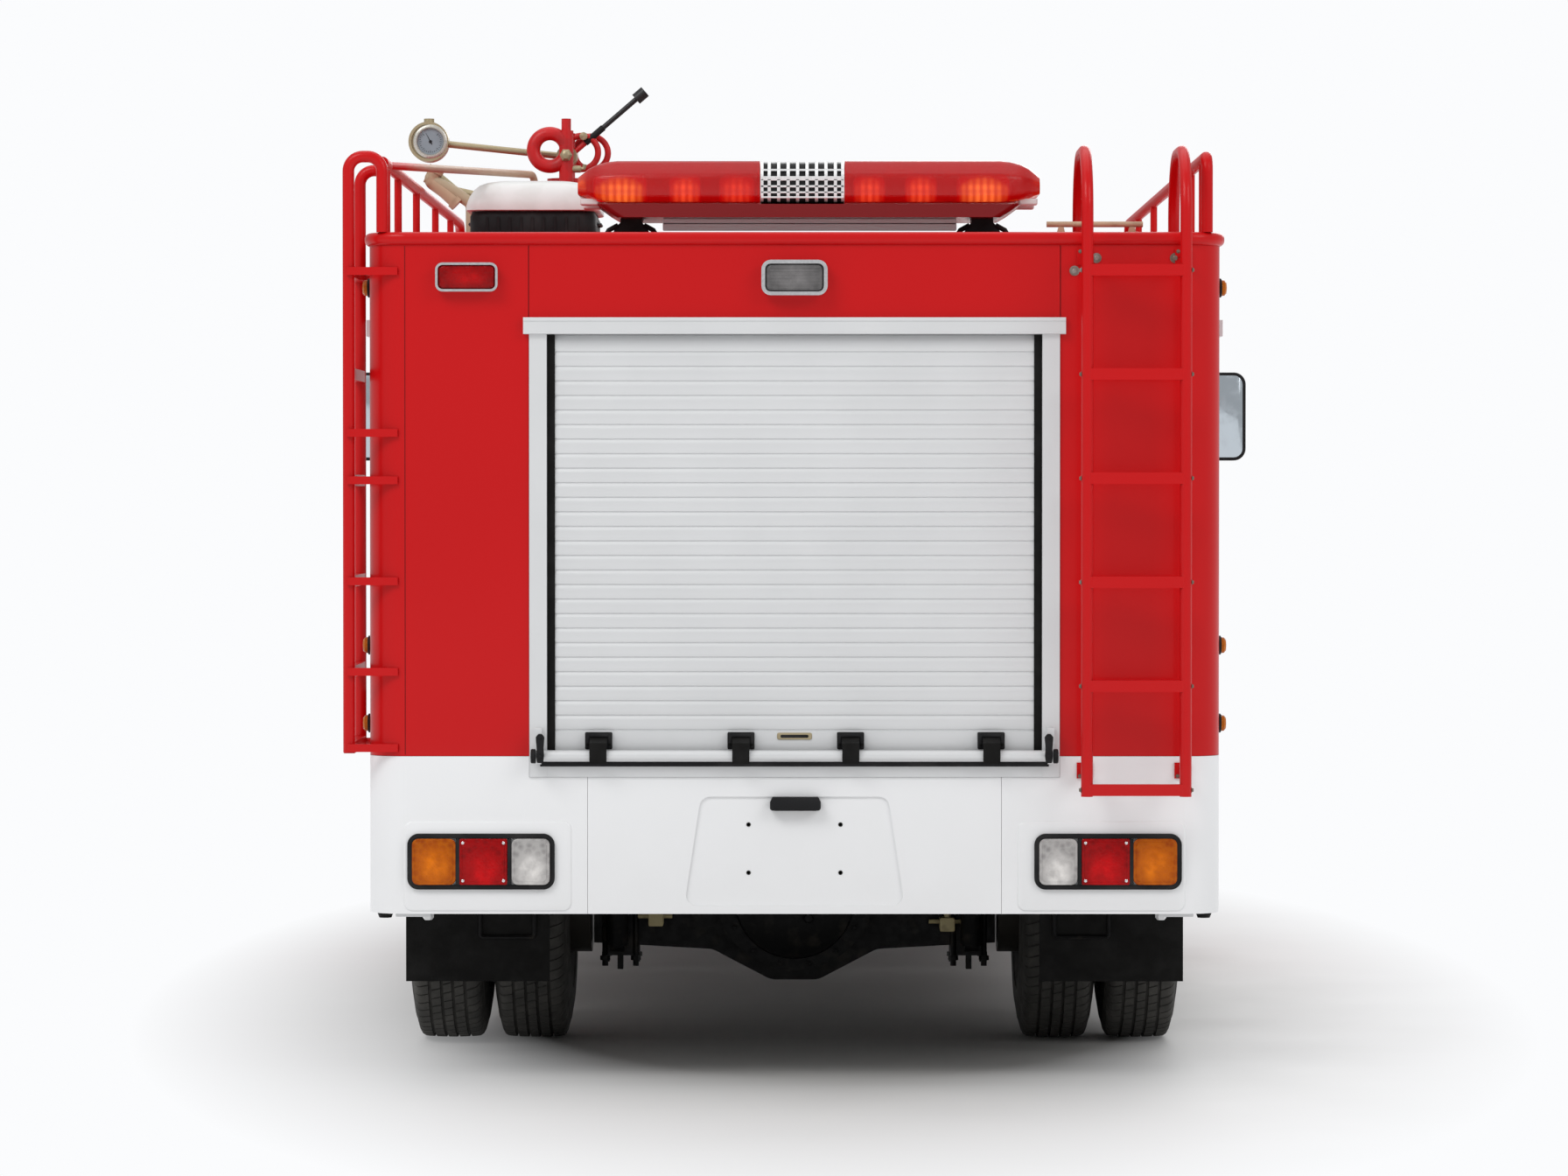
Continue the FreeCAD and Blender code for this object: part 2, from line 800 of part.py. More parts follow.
def rear_axle():
    """Banjo housing with a bulged centre, pinion nose, spindles and spring plates."""
    y = ahead(rear_axle_ahead)
    z = tyre_radius
    low = z - banjo_radius
    outline = [
        (-rear_beam_end_x, z - rear_beam_end_drop), (-banjo_shoulder_x, z - rear_beam_drop),
        (-banjo_half_width / 2, low), (banjo_half_width / 2, low),
        (banjo_shoulder_x, z - rear_beam_drop), (rear_beam_end_x, z - rear_beam_end_drop),
        (rear_beam_end_x, z + rear_tube_end_half), (banjo_shoulder_x, z + rear_tube_half),
        (banjo_half_width, z + banjo_radius * axle_depth_share / 2 + rear_tube_half / 2),
        (-banjo_half_width, z + banjo_radius * axle_depth_share / 2 + rear_tube_half / 2),
        (-banjo_shoulder_x, z + rear_tube_half), (-rear_beam_end_x, z + rear_tube_end_half),
    ]
    bend = rear_tube_end_half
    radii = [0, bend, bend, bend, bend, 0, 0, bend, bend, bend, bend, 0]
    depth = rear_tube_half * axle_depth_share
    housing = front_prism(outline, radii, y - depth, y + depth)
    cover = rod(V(0, y - pinion_radius, z), V(0, y + pinion_radius, z), banjo_radius - depth / 2)
    flat = box(-banjo_radius, banjo_radius, y - overrun * 2, y + overrun * 2, z - banjo_radius, z + banjo_half_width)
    nose = Part.makeCone(pinion_radius + depth / 2, pinion_nose_radius, pinion_ahead, V(0, y, pinion_z), ALONG_Y)
    pieces = [housing, cover.common(flat), nose]
    for side in (-1, 1):
        end = V(side * rear_beam_end_x, y, z)
        tip = V(side * (outer_tyre_x - dual_pitch / 2), y, z)
        pieces.append(rod(end, tip, rear_spindle_radius))
        centre = side * spring_x
        pieces.append(box(centre - spring_width / 2, centre + spring_width / 2,
                          y - plate_half_length, y + plate_half_length, z, spring_seat_z()))
        pieces.append(box(centre - spring_width / 2, centre + spring_width / 2,
                          y - plate_half_length, y + plate_half_length,
                          z - rear_beam_drop - plate_thickness, z))
        pieces.append(box(centre - plate_thickness / 2, centre + plate_thickness / 2,
                          y - plate_half_length, y - plate_half_length / 2,
                          z - rear_beam_drop - plate_drop, z))
    return joined(pieces)


def spring_seat_z():
    """Top of the rear axle's spring pads."""
    return tyre_radius + rear_tube_half + plate_thickness / 2


def leaf_spring(place, seat_z, half_length, centre_x):
    """A pack of curved leaves with rolled eyes, resting on an axle's pad."""
    x0 = centre_x - spring_width / 2
    stack = leaf_count * leaf_thickness
    curve_z = seat_z + stack + spring_curve_radius
    leaves = []
    for index in range(leaf_count):
        inner = spring_curve_radius + index * leaf_thickness
        reach = half_length * (1 - (1 - shortest_leaf_share) * index / (leaf_count - 1))
        turn = math.asin(reach / inner)
        outer = inner + leaf_thickness

        def spot(radius, angle):
            return V(x0, ahead(place) + radius * math.sin(angle), curve_z - radius * math.cos(angle))

        top = Part.Arc(spot(inner, -turn), spot(inner, 0), spot(inner, turn)).toShape()
        low = Part.Arc(spot(outer, turn), spot(outer, 0), spot(outer, -turn)).toShape()
        right = Part.LineSegment(spot(inner, turn), spot(outer, turn)).toShape()
        left = Part.LineSegment(spot(outer, -turn), spot(inner, -turn)).toShape()
        leaves.append(Part.Face(Part.Wire([top, right, low, left])).extrude(V(spring_width, 0, 0)))
    pack = joined(leaves)
    for side in (-1, 1):
        centre = spring_eye(place, seat_z, half_length, side)
        start = V(x0, centre.y, centre.z)
        eye = rod(start, start + V(spring_width, 0, 0), spring_eye_radius)
        bore = rod(start - V(overrun, 0, 0), start + V(spring_width + overrun, 0, 0),
                   spring_pin_radius + seat_gap)
        pack = pack.fuse(eye).cut(bore)
    return pack


def spring_eye(place, seat_z, half_length, side):
    """Centre of a spring's rolled eye."""
    stack = leaf_count * leaf_thickness
    turn = math.asin(half_length / spring_curve_radius)
    rise = spring_curve_radius * (1 - math.cos(turn))
    z = seat_z + stack + rise + spring_eye_radius - leaf_thickness
    return V(0, ahead(place) + side * half_length, z)


def spring_sets():
    """Place, seat height and half length of the front and rear springs."""
    front_seat = tyre_radius - front_beam_drop + front_beam_height / 2 + plate_thickness
    return [
        (front_axle_ahead, front_seat, front_leaf_half),
        (rear_axle_ahead, spring_seat_z(), rear_leaf_half),
    ]


def leaf_springs():
    """All four spring packs."""
    packs = []
    for place, seat_z, half_length in spring_sets():
        for side in (-1, 1):
            packs.append(leaf_spring(place, seat_z, half_length, side * spring_x))
    return Part.makeCompound(packs)


def hangers(side):
    """Spring hangers on one rail, each a plate with a pin through the eye."""
    pieces = []
    near = rail_outer_x
    far = spring_x - spring_width / 2 - seat_gap
    for place, seat_z, half_length in spring_sets():
        for end in (-1, 1):
            eye = spring_eye(place, seat_z, half_length, end)
            low = min(eye.z - spring_eye_radius, rail_base_z + rail_thickness)
            high = max(eye.z + spring_eye_radius, rail_base_z + spring_width)
            x0, x1 = sorted((side * near, side * far))
            pieces.append(box(x0, x1, eye.y - hanger_half_length, eye.y + hanger_half_length, low, high))
            tip = side * (spring_x + spring_width / 2)
            pieces.append(rod(V(side * far, eye.y, eye.z), V(tip, eye.y, eye.z), spring_pin_radius))
    return pieces


def cab_mounts(side):
    """Pedestals on one rail, each with a round cushion under the cab floor."""
    pieces = []
    x = side * (rail_outer_x - rail_flange / 2)
    top = rail_base_z + rail_height
    seat = cab_floor_base_z - cab_mount_cushion
    for place in cab_mount_ahead:
        y = ahead(place)
        pieces.append(box(x - rail_flange / 2, x + rail_flange / 2, y - cab_mount_half, y + cab_mount_half,
                          top, seat))
        pieces.append(rod(V(x, y, seat), V(x, y, cab_floor_base_z), rail_flange / 2))
    return pieces


# Chassis


def chassis_rails():
    """Two channel rails, open side inwards, with their spring hangers and cab mounts."""
    rails = []
    y0 = ahead(rail_rear_ahead)
    y1 = ahead(rail_front_ahead)
    top = rail_base_z + rail_height
    for side in (-1, 1):
        web = sorted((side * rail_outer_x, side * (rail_outer_x - rail_thickness)))
        flange = sorted((side * rail_outer_x, side * (rail_outer_x - rail_flange)))
        pieces = [
            box(web[0], web[1], y0, y1, rail_base_z, top),
            box(flange[0], flange[1], y0, y1, rail_base_z, rail_base_z + rail_thickness),
            box(flange[0], flange[1], y0, y1, top - rail_thickness, top),
        ]
        rails.append(joined(pieces + hangers(side) + cab_mounts(side)))
    return Part.makeCompound(rails)


def cross_members():
    """Cross members between the rails, arched where the shaft passes."""
    length = rail_front_ahead - rail_rear_ahead
    half = rail_outer_x - rail_thickness
    low = rail_base_z + rail_thickness
    high = rail_base_z + rail_height - rail_thickness
    lower = low + rail_height * cross_lower_share
    members = []
    for share in cross_share:
        y = ahead(rail_rear_ahead + length * share)
        outline = [
            (-half, low), (-half + rail_flange, low), (-half + 2 * rail_flange, lower),
            (half - 2 * rail_flange, lower), (half - rail_flange, low), (half, low),
            (half, high), (-half, high),
        ]
        member = front_prism(outline, [0] * 8, y, y + cross_width)
        members.append(member)
    return Part.makeCompound(members)


def engine_block():
    """Engine, sump and gearbox as one plain mass at its real place."""
    y0 = ahead(engine_rear_ahead)
    y1 = ahead(engine_front_ahead)
    sump_top = rail_base_z
    block = box(-engine_half_width, engine_half_width, y0, y1, sump_top, engine_top_z)
    sump = box(-engine_half_width + sump_inset, engine_half_width - sump_inset,
               y0 + sump_inset, y1 - sump_inset, engine_base_z, sump_top)
    gearbox = box(-gearbox_half_width, gearbox_half_width, ahead(gearbox_rear_ahead), y0,
                  gearbox_base_z, gearbox_top_z)
    return joined([block, sump, gearbox])


def propeller_shaft():
    """Shaft from the gearbox to the rear axle's nose, with a joint at each end."""
    start = V(0, ahead(gearbox_rear_ahead), gearbox_output_z)
    end = V(0, ahead(rear_axle_ahead + pinion_ahead), pinion_z)
    line = (end - start).normalize()
    front_joint = rod(start, start + V(0, -joint_length, 0), joint_radius)
    rear_joint = rod(end, end + V(0, joint_length, 0), joint_radius)
    middle = rod(start + line * (joint_length / 2), end - line * (joint_length / 2), shaft_radius)
    return joined([front_joint, middle, rear_joint])


def fuel_tank():
    """Rounded tank beside the right rail with its two straps and brackets."""
    outline = rectangle(tank_inner_x, tank_outer_x, tank_base_z, tank_top_z)
    y0 = ahead(tank_rear_ahead)
    y1 = ahead(tank_front_ahead)
    tank = front_prism(outline, [tank_corner] * 4, y0, y1)
    pieces = [tank]
    for share in tank_strap_share:
        y = y0 + (y1 - y0) * share
        pieces.append(box(rail_outer_x, tank_inner_x + tank_corner, y, y + tank_strap_width,
                          rail_base_z, tank_top_z))
        strap_edge = rail_thickness
        strap = front_prism(
            rectangle(tank_inner_x - strap_edge, tank_outer_x + strap_edge,
                      tank_base_z - strap_edge, tank_top_z + strap_edge),
            [tank_corner + strap_edge] * 4, y, y + tank_strap_width)
        pieces.append(strap)
    return joined(pieces)


def mud_flaps():
    """Sheets hung from the floor behind the rear wheels."""
    y0 = ahead(flap_ahead)
    flap = box(flap_inner_x, body_half_width - flap_side_inset, y0, y0 + flap_thickness, flap_base_z, floor_base_z)
    return pair(flap)


# Equipment body


def body_outline(inset, front):
    """Plan outline of the equipment body, moved in by inset."""
    half = body_half_width - inset
    outline = rectangle(-half, half, inset, front - inset)
    radii = [body_corner - inset, body_corner - inset, body_front_corner, body_front_corner]
    return outline, radii


def body_ring(z0, z1):
    """The body's wall all round between two heights."""
    outer, outer_radii = body_outline(0, body_length)
    inner, inner_radii = body_outline(body_wall, body_length)
    solid = plan_prism(outer, outer_radii, z0, z1)
    hollow = plan_prism(inner, inner_radii, z0 - overrun, z1 + overrun)
    return solid.cut(hollow)


def arch_cutter(place, radius, x0, x1):
    """A wheel arch's round opening across one side."""
    return wheel_cylinder(x0, x1, place, radius)


def side_opening(index, grow):
    """Outline of one side shutter's opening, larger by grow all round."""
    rear = side_shutter_rear_ahead[index] - grow
    front = rear + side_shutter_length[index] + 2 * grow
    return rear, front, side_shutter_base_z[index] - grow, shutter_top_z + header_height + grow


def side_panels():
    """Both red side walls with their shutter openings."""
    ring = body_ring(colour_split_z + panel_gap, wall_top_z)
    side = box(0, body_half_width + overrun, ahead(body_corner + panel_gap), ahead(body_length),
               colour_split_z, wall_top_z)
    front = box(0, body_half_width - body_wall, ahead(body_corner), ahead(body_length + overrun),
                colour_split_z, wall_top_z)
    panel = ring.common(side).cut(front)
    cutters = [arch_cutter(rear_axle_ahead, arch_radius, body_half_width - body_wall - overrun,
                           body_half_width + overrun)]
    for index in range(len(side_shutter_base_z)):
        rear, front_edge, low, high = side_opening(index, panel_gap)
        low = max(low, colour_split_z) if index else low
        cutters.append(box(body_half_width - body_wall - overrun, body_half_width + overrun,
                           ahead(rear), ahead(front_edge), low - (overrun if index else 0), high))
    return pair(less(panel, cutters))


def rear_panels():
    """Red rear corner columns and the panel over the rear shutter."""
    ring = body_ring(colour_split_z + panel_gap, wall_top_z)
    rear = ahead(-overrun)
    edge = ahead(body_corner)
    corner = ring.common(box(shutter_outer_x + panel_gap, body_half_width + overrun, rear, edge,
                             colour_split_z, wall_top_z))
    header_low = shutter_top_z + header_height + panel_gap
    header = ring.common(box(-shutter_outer_x, shutter_outer_x, rear, edge, header_low, wall_top_z))
    return Part.makeCompound([corner, mirrored(corner), header])


def body_roof():
    """Roof cap with a rounded overhanging edge."""
    half = body_half_width + roof_overhang
    corner = body_corner + roof_overhang
    outline = rectangle(-half, half, -roof_overhang, body_length)
    slab = plan_prism(outline, [corner, corner, body_front_corner, body_front_corner], wall_top_z, roof_top_z)
    rims = [edge for edge in slab.Edges
            if edge.BoundBox.ZLength < seat_gap]
    return slab.makeFillet(roof_edge_radius, rims)


def body_floor():
    """Floor with subframe, front bulkhead and boxes over the rear wheels."""
    half = body_half_width - body_wall
    y0 = ahead(body_wall)
    y1 = ahead(body_length)
    slab = box(-half, half, y0, y1, floor_base_z, floor_top_z)
    bulkhead = box(-half, half, y1 - body_wall, y1, floor_top_z, wall_top_z)
    pieces = [slab, bulkhead]
    cutters = []
    for side in (-1, 1):
        rib = sorted((side * rail_outer_x, side * (rail_outer_x - rail_flange)))
        pieces.append(box(rib[0], rib[1], y0, y1, subframe_base_z, floor_base_z))
        box_x = sorted((side * arch_box_inner_x, side * half))
        hollow_x = sorted((side * (arch_box_inner_x + arch_box_wall), side * (half + overrun)))
        rear = ahead(rear_axle_ahead - arch_box_half_length)
        front = ahead(rear_axle_ahead + arch_box_half_length)
        pieces.append(box(box_x[0], box_x[1], rear, front, floor_base_z, arch_box_top_z))
        cutters.append(box(hollow_x[0], hollow_x[1], rear + arch_box_wall, front - arch_box_wall,
                           floor_base_z - overrun, arch_box_top_z - arch_box_wall))
    corners = body_ring(floor_base_z - overrun, wall_top_z + overrun)
    return less(joined(pieces), cutters + [corners])


def lower_corners():
    """White rear corners that carry the tail lamps and run to the wheel arch."""
    ring = body_ring(body_base_z, colour_split_z)
    keep = box(apron_half_width + panel_gap, body_half_width + overrun, ahead(-overrun),
               ahead(rear_axle_ahead), body_base_z, colour_split_z)
    notch = box(0, shutter_outer_x + panel_gap, ahead(-overrun), ahead(body_corner),
                shutter_sill_top_z - sill_height - panel_gap, colour_split_z + overrun)
    lamp = face_block(tail_lamp_inner_x, tail_lamp_outer_x, tail_lamp_base_z, tail_lamp_top_z,
                      tail_lamp_corner, ahead(-overrun), ahead(tail_lamp_depth))
    arch = arch_cutter(rear_axle_ahead, arch_radius, apron_half_width, body_half_width + overrun)
    return pair(less(ring.common(keep), [notch, lamp, arch]))


def side_skirts():
    """White skirts from the rear wheel arch to the front of the body."""
    ring = body_ring(body_base_z, colour_split_z)
    keep = box(0, body_half_width + overrun, ahead(rear_axle_ahead), ahead(body_length),
               body_base_z, colour_split_z)
    inner = box(0, body_half_width - body_wall, ahead(rear_axle_ahead), ahead(body_length + overrun),
                body_base_z - overrun, colour_split_z + overrun)
    arch = arch_cutter(rear_axle_ahead, arch_radius, 0, body_half_width + overrun)
    rear, front, low, high = side_opening(len(side_shutter_base_z) - 1, panel_gap)
    opening = box(0, body_half_width + overrun, ahead(rear), ahead(front), low, high)
    return pair(less(ring.common(keep), [inner, arch, opening]))


def rear_apron():
    """White centre panel below the shutter, with the shallow plate recess."""
    ring = body_ring(body_base_z, shutter_sill_top_z - sill_height - panel_gap)
    keep = box(-apron_half_width, apron_half_width, ahead(-overrun), ahead(body_corner),
               body_base_z - overrun, shutter_sill_top_z)
    outline = [(-plate_panel_lower_half, plate_panel_base_z), (plate_panel_lower_half, plate_panel_base_z),
               (plate_panel_upper_half, plate_panel_top_z), (-plate_panel_upper_half, plate_panel_top_z)]
    recess = front_prism(outline, [tail_lamp_corner] * 4, ahead(-overrun), ahead(plate_panel_depth))
    holes = []
    for x in (-plate_hole_x / 2, plate_hole_x / 2):
        for z in (plate_hole_low_z, plate_hole_low_z + plate_hole_z):
            holes.append(rod(V(x, ahead(-overrun), z), V(x, ahead(body_wall + overrun), z), plate_hole_radius))
    return less(ring.common(keep), [recess] + holes)


# Roller shutters


def curtain(width, low, high):
    """A roller curtain seen edge on: flat slats parted by grooves, facing -Y."""
    back = curtain_thickness
    points = [(back, low), (0, low)]
    top = low + bottom_slat_height
    while top + slat_pitch < high:
        points += [(0, top), (slat_groove_depth, top + slat_groove / 2), (0, top + slat_groove)]
        top += slat_pitch
    points += [(0, high), (back, high)]
    outline = [V(-width / 2, depth, z) for depth, z in points]
    return Part.Face(Part.makePolygon(outline + outline[:1])).extrude(V(width, 0, 0))


def turn_to_side(shape):
    """A piece that faces the rear, turned to face the vehicle's right."""
    shape = shape.copy()
    shape.rotate(V(0, 0, 0), ALONG_Z, 90)
    return shape


def rear_shutter():
    """Curtain of the rear roller shutter."""
    width = 2 * (shutter_outer_x - frame_bar - seat_gap)
    panel = curtain(width, shutter_sill_top_z + seat_gap, shutter_top_z - seat_gap)
    panel.translate(V(0, ahead(curtain_recess), 0))
    return panel


def side_shutters():
    """Curtains of the four side shutters."""
    panels = []
    for index, low in enumerate(side_shutter_base_z):
        length = side_shutter_length[index]
        middle = side_shutter_rear_ahead[index] + length / 2
        width = length - 2 * (frame_bar + seat_gap)
        panel = turn_to_side(curtain(width, low + sill_height + seat_gap, shutter_top_z - seat_gap))
        panel.translate(V(body_half_width - curtain_recess, ahead(middle), 0))
        panels += [panel, mirrored(panel)]
    return Part.makeCompound(panels)


def frame_bars(width, sill_low, sill_high, header_extra):
    """Four frame bars round an opening that faces -Y, centred on X."""
    half = width / 2
    front = -frame_proud
    back = body_wall
    seam = seat_gap / 2
    post_low = sill_low
    bars = [
        box(-half, -half + frame_bar, front, back, post_low, shutter_top_z - seam),
        box(half - frame_bar, half, front, back, post_low, shutter_top_z - seam),
        box(-half + frame_bar + seam, half - frame_bar - seam, front, back, sill_low, sill_high),
        box(-half, half, front, back, shutter_top_z + seam, shutter_top_z + header_height),
    ]
    hood = box(-half - header_extra, half + header_extra, -header_proud, -seam,
               shutter_top_z + seam, shutter_top_z + header_height)
    bars[3] = joined([bars[3], hood])
    return bars


def shutter_frames():
    """Light frames round the rear opening and the four side openings."""
    rear_extra = shutter_header_x - shutter_outer_x
    rear = Part.makeCompound(frame_bars(2 * shutter_outer_x, shutter_sill_top_z - sill_height,
                                        shutter_sill_top_z, rear_extra))
    rear.translate(V(0, ahead(0), 0))
    frames = [rear]
    for index, low in enumerate(side_shutter_base_z):
        length = side_shutter_length[index]
        middle = side_shutter_rear_ahead[index] + length / 2
        frame = turn_to_side(Part.makeCompound(frame_bars(length, low, low + sill_height, 0)))
        frame.translate(V(body_half_width, ahead(middle), 0))
        frames += [frame, mirrored(frame)]
    return Part.makeCompound([solid for frame in frames for solid in frame.Solids])


def lift_bar():
    """Round bar across the foot of the rear shutter, on pivots beside it."""
    y = ahead(-frame_proud - lift_bar_stand)
    bar = rod(V(-lift_bar_half, y, lift_bar_z), V(lift_bar_half, y, lift_bar_z), lift_bar_radius)
    pieces = [bar]
    for side in (-1, 1):
        end = side * lift_bar_half
        x0, x1 = sorted((end, end - side * pivot_length))
        pieces.append(rod(V(x0, y, lift_bar_z), V(x1, y, lift_bar_z), pivot_radius))
        arm_x = end - side * pivot_length / 2
        pieces.append(box(arm_x - pivot_arm_width / 2, arm_x + pivot_arm_width / 2,
                          y - pivot_radius / 2, ahead(-frame_proud),
                          lift_bar_z, lift_bar_z + pivot_arm_height))
    return joined(pieces)


def shutter_buckles():
    """Catches on the bottom slat whose straps hook over the lift bar."""
    buckles = []
    face = ahead(curtain_recess)
    bar_front = ahead(-frame_proud - lift_bar_stand) - lift_bar_radius
    top = lift_bar_z + lift_bar_radius + buckle_height
    for share in buckle_x_share:
        x = lift_bar_half * share
        base = face_block(x - buckle_width / 2, x + buckle_width / 2, top - buckle_height, top,
                          buckle_edge, face - buckle_depth, face)
        strap_face = bar_front - seat_gap - buckle_strap_depth
        strap = box(x - buckle_strap_width / 2, x + buckle_strap_width / 2, strap_face,
                    strap_face + buckle_strap_depth, lift_bar_z - lift_bar_radius - buckle_edge,
                    top - buckle_edge)
        neck = box(x - buckle_strap_width / 2, x + buckle_strap_width / 2, strap_face, face - buckle_depth,
                   lift_bar_z + lift_bar_radius + seat_gap, top - buckle_edge)
        buckles.append(joined([base, strap, neck]))
    return Part.makeCompound(buckles)


# Lamps


def tail_lamps():
    """Black surrounds of both tail lamp clusters, open for the lenses."""
    front = ahead(-tail_lamp_proud)
    body = face_block(tail_lamp_inner_x + seat_gap, tail_lamp_outer_x - seat_gap,
                      tail_lamp_base_z + seat_gap, tail_lamp_top_z - seat_gap,
                      tail_lamp_corner, front, ahead(tail_lamp_depth))
    hollow = face_block(tail_lamp_inner_x + tail_rim, tail_lamp_outer_x - tail_rim,
                        tail_lamp_base_z + tail_rim, tail_lamp_top_z - tail_rim,
                        tail_lamp_corner - tail_rim, front - overrun, ahead(tail_lamp_depth - tail_rim))
    return pair(body.cut(hollow))


def tail_lenses():
    """Amber, red and clear lenses in each surround, amber outermost."""
    back = ahead(tail_lamp_depth - tail_rim)
    front = ahead(-tail_lamp_proud - tail_lens_proud)
    inner = tail_lamp_inner_x + tail_rim + seat_gap
    outer = tail_lamp_outer_x - tail_rim - seat_gap
    low = tail_lamp_base_z + tail_rim + seat_gap
    high = tail_lamp_top_z - tail_rim - seat_gap
    whole = face_block(inner, outer, low, high, tail_lamp_corner - tail_rim, front, back)
    gaps = []
    for share in tail_split_share:
        x = outer - (outer - inner) * share
        gaps.append(box(x - tail_split_gap / 2, x + tail_split_gap / 2, front - overrun, back + overrun,
                        low - overrun, high + overrun))
    lenses = less(whole, gaps).Solids
    return Part.makeCompound(lenses + [mirrored(lens) for lens in lenses])


def upper_lamps():
    """Red marker and centre work lamp on the rear face, and the plate lamp."""
    face = ahead(0)
    marker = face_block(-marker_outer_x, -marker_inner_x, marker_base_z, marker_top_z,
                        marker_corner, face - marker_proud, face)
    work = face_block(-work_lamp_half, work_lamp_half, work_lamp_base_z, work_lamp_top_z,
                      work_lamp_corner, face - work_lamp_proud, face)
    plate = face_block(plate_lamp_x - plate_lamp_half, plate_lamp_x + plate_lamp_half,
                       plate_lamp_base_z, plate_lamp_base_z + plate_lamp_height, plate_lamp_corner,
                       face - plate_lamp_proud, ahead(plate_panel_depth))
    return Part.makeCompound([marker, work, plate])


def side_lamps():
    """Small round side markers near the rear corners."""
    lamps = []
    height = wall_top_z - colour_split_z
    for share in side_lamp_z_share:
        z = colour_split_z + height * share
        base = V(body_half_width, ahead(side_lamp_ahead), z)
        lamps.append(Part.makeCone(side_lamp_half, side_lamp_half * axle_depth_share, side_lamp_proud,
                                   base, ALONG_X))
    return Part.makeCompound(lamps + [mirrored(lamp) for lamp in lamps])


# Ladders and guard rails


def rear_ladder():
    """Right rear ladder with hooked rails, square rungs and wall brackets."""
    y = ahead(-ladder_stand_out + tube_radius)
    hook = ahead(rear_ladder_hook_ahead)
    crown = rear_ladder_top_z - tube_radius
    pieces = []
    for x in rear_ladder_x:
        path = [V(x, y, rear_ladder_base_z), V(x, y, crown), V(x, hook, crown), V(x, hook, roof_top_z)]
        pieces.append(tube(path, tube_radius, [rear_ladder_bend, rear_ladder_bend]))
        for z in ladder_foot_z:
            pieces.append(rod(V(x, y, z), V(x, ahead(0), z), ladder_foot_radius))
            pieces.append(box(x - ladder_foot_plate / 2, x + ladder_foot_plate / 2,
                              ahead(-ladder_foot_thickness), ahead(0),
                              z - ladder_foot_plate / 2, z + ladder_foot_plate / 2))
    step = (rear_rung_high_z - rear_rung_low_z) / (rear_rung_count - 1)
    for index in range(rear_rung_count):
        z = rear_rung_low_z + step * index
        pieces.append(box(rear_ladder_x[0], rear_ladder_x[1], y - rung_width / 2, y + rung_width / 2,
                          z - rung_height / 2, z + rung_height / 2))
    return joined(pieces)


def side_ladder():
    """Left side ladder: two rails, rungs along the body and straps round the corner."""
    rear = ahead(side_ladder_rear_ahead)
    front = ahead(side_ladder_front_ahead)
    x = side_ladder_x
    height = side_ladder_high_z - side_ladder_low_z
    crown = guard_post_top_z - tube_radius
    pieces = []
    hook = [V(x, rear, side_ladder_base_z), V(x, rear, crown), V(-guard_x, rear, crown), V(-guard_x, rear, roof_top_z)]
    pieces.append(tube(hook, tube_radius, [guard_bend, guard_bend]))
    tie = [V(x, front, side_ladder_base_z), V(x, front, guard_top_z),
           V(-guard_x - tube_radius - seat_gap, front, guard_top_z)]
    pieces.append(tube(tie, tube_radius, [guard_bend]))
    for share in side_rung_share:
        z = side_ladder_low_z + height * share
        pieces.append(box(x - rung_width / 2, x + rung_width / 2, rear, front,
                          z - rung_height / 2, z + rung_height / 2))
    face = ahead(0) - strap_thickness
    for share in strap_share:
        z = side_ladder_low_z + height * share
        pieces.append(box(x, -strap_reach_x, face, ahead(0), z - strap_height / 2, z + strap_height / 2))
        pieces.append(box(x - strap_thickness / 2, x + strap_thickness / 2, face, rear,
                          z - strap_height / 2, z + strap_height / 2))
    for share in (side_rung_share[0], side_rung_share[-1]):
        z = side_ladder_low_z + height * share
        pieces.append(rod(V(x, front, z), V(-body_half_width, front, z), ladder_foot_radius))
    return joined(pieces)


def guard_rail(side, rear_place, post_top):
    """One side's roof guard: a top rail bent down at its ends, and posts."""
    x = side * guard_x
    rear = ahead(rear_place)
    front = ahead(guard_front_ahead)
    top = guard_top_z
    pieces = []
    if side > 0:
        path = [V(x, rear, roof_top_z), V(x, rear, post_top), V(x, front, top), V(x, front, roof_top_z)]
        pieces.append(tube(path, tube_radius, [guard_bend, guard_front_bend]))
    else:
        path = [V(x, rear, top), V(x, front, top), V(x, front, roof_top_z)]
        pieces.append(tube(path, tube_radius, [guard_front_bend]))
    for place in guard_post_ahead:
        pieces.append(rod(V(x, ahead(place), roof_top_z), V(x, ahead(place), top), guard_post_radius))
    return joined(pieces)


def roof_rails():
    """Guard rails along both roof edges and the slanting handrail."""
    left = guard_rail(-1, side_ladder_rear_ahead + tube_radius + seat_gap, guard_top_z)
    right = guard_rail(1, guard_rear_ahead, guard_post_top_z - tube_radius)
    start = V(-guard_x, ahead(guard_post_ahead[0]), guard_top_z)
    end = V(handrail_end_x, ahead(handrail_end_ahead), handrail_end_z - tube_radius)
    foot = V(handrail_end_x, ahead(handrail_end_ahead), roof_top_z)
    handrail = tube([start, end, foot], guard_post_radius, [handrail_bend])
    return Part.makeCompound([joined([left, handrail]), right])


# Roof equipment


def bar_outline(low, high, low_taper, high_taper):
    """Front view of a slice of the light bar with slanted ends."""
    left = bar_centre_x - bar_half
    right = bar_centre_x + bar_half
    return [(left + low_taper, low), (right - low_taper, low), (right - high_taper, high),
            (left + high_taper, high)]


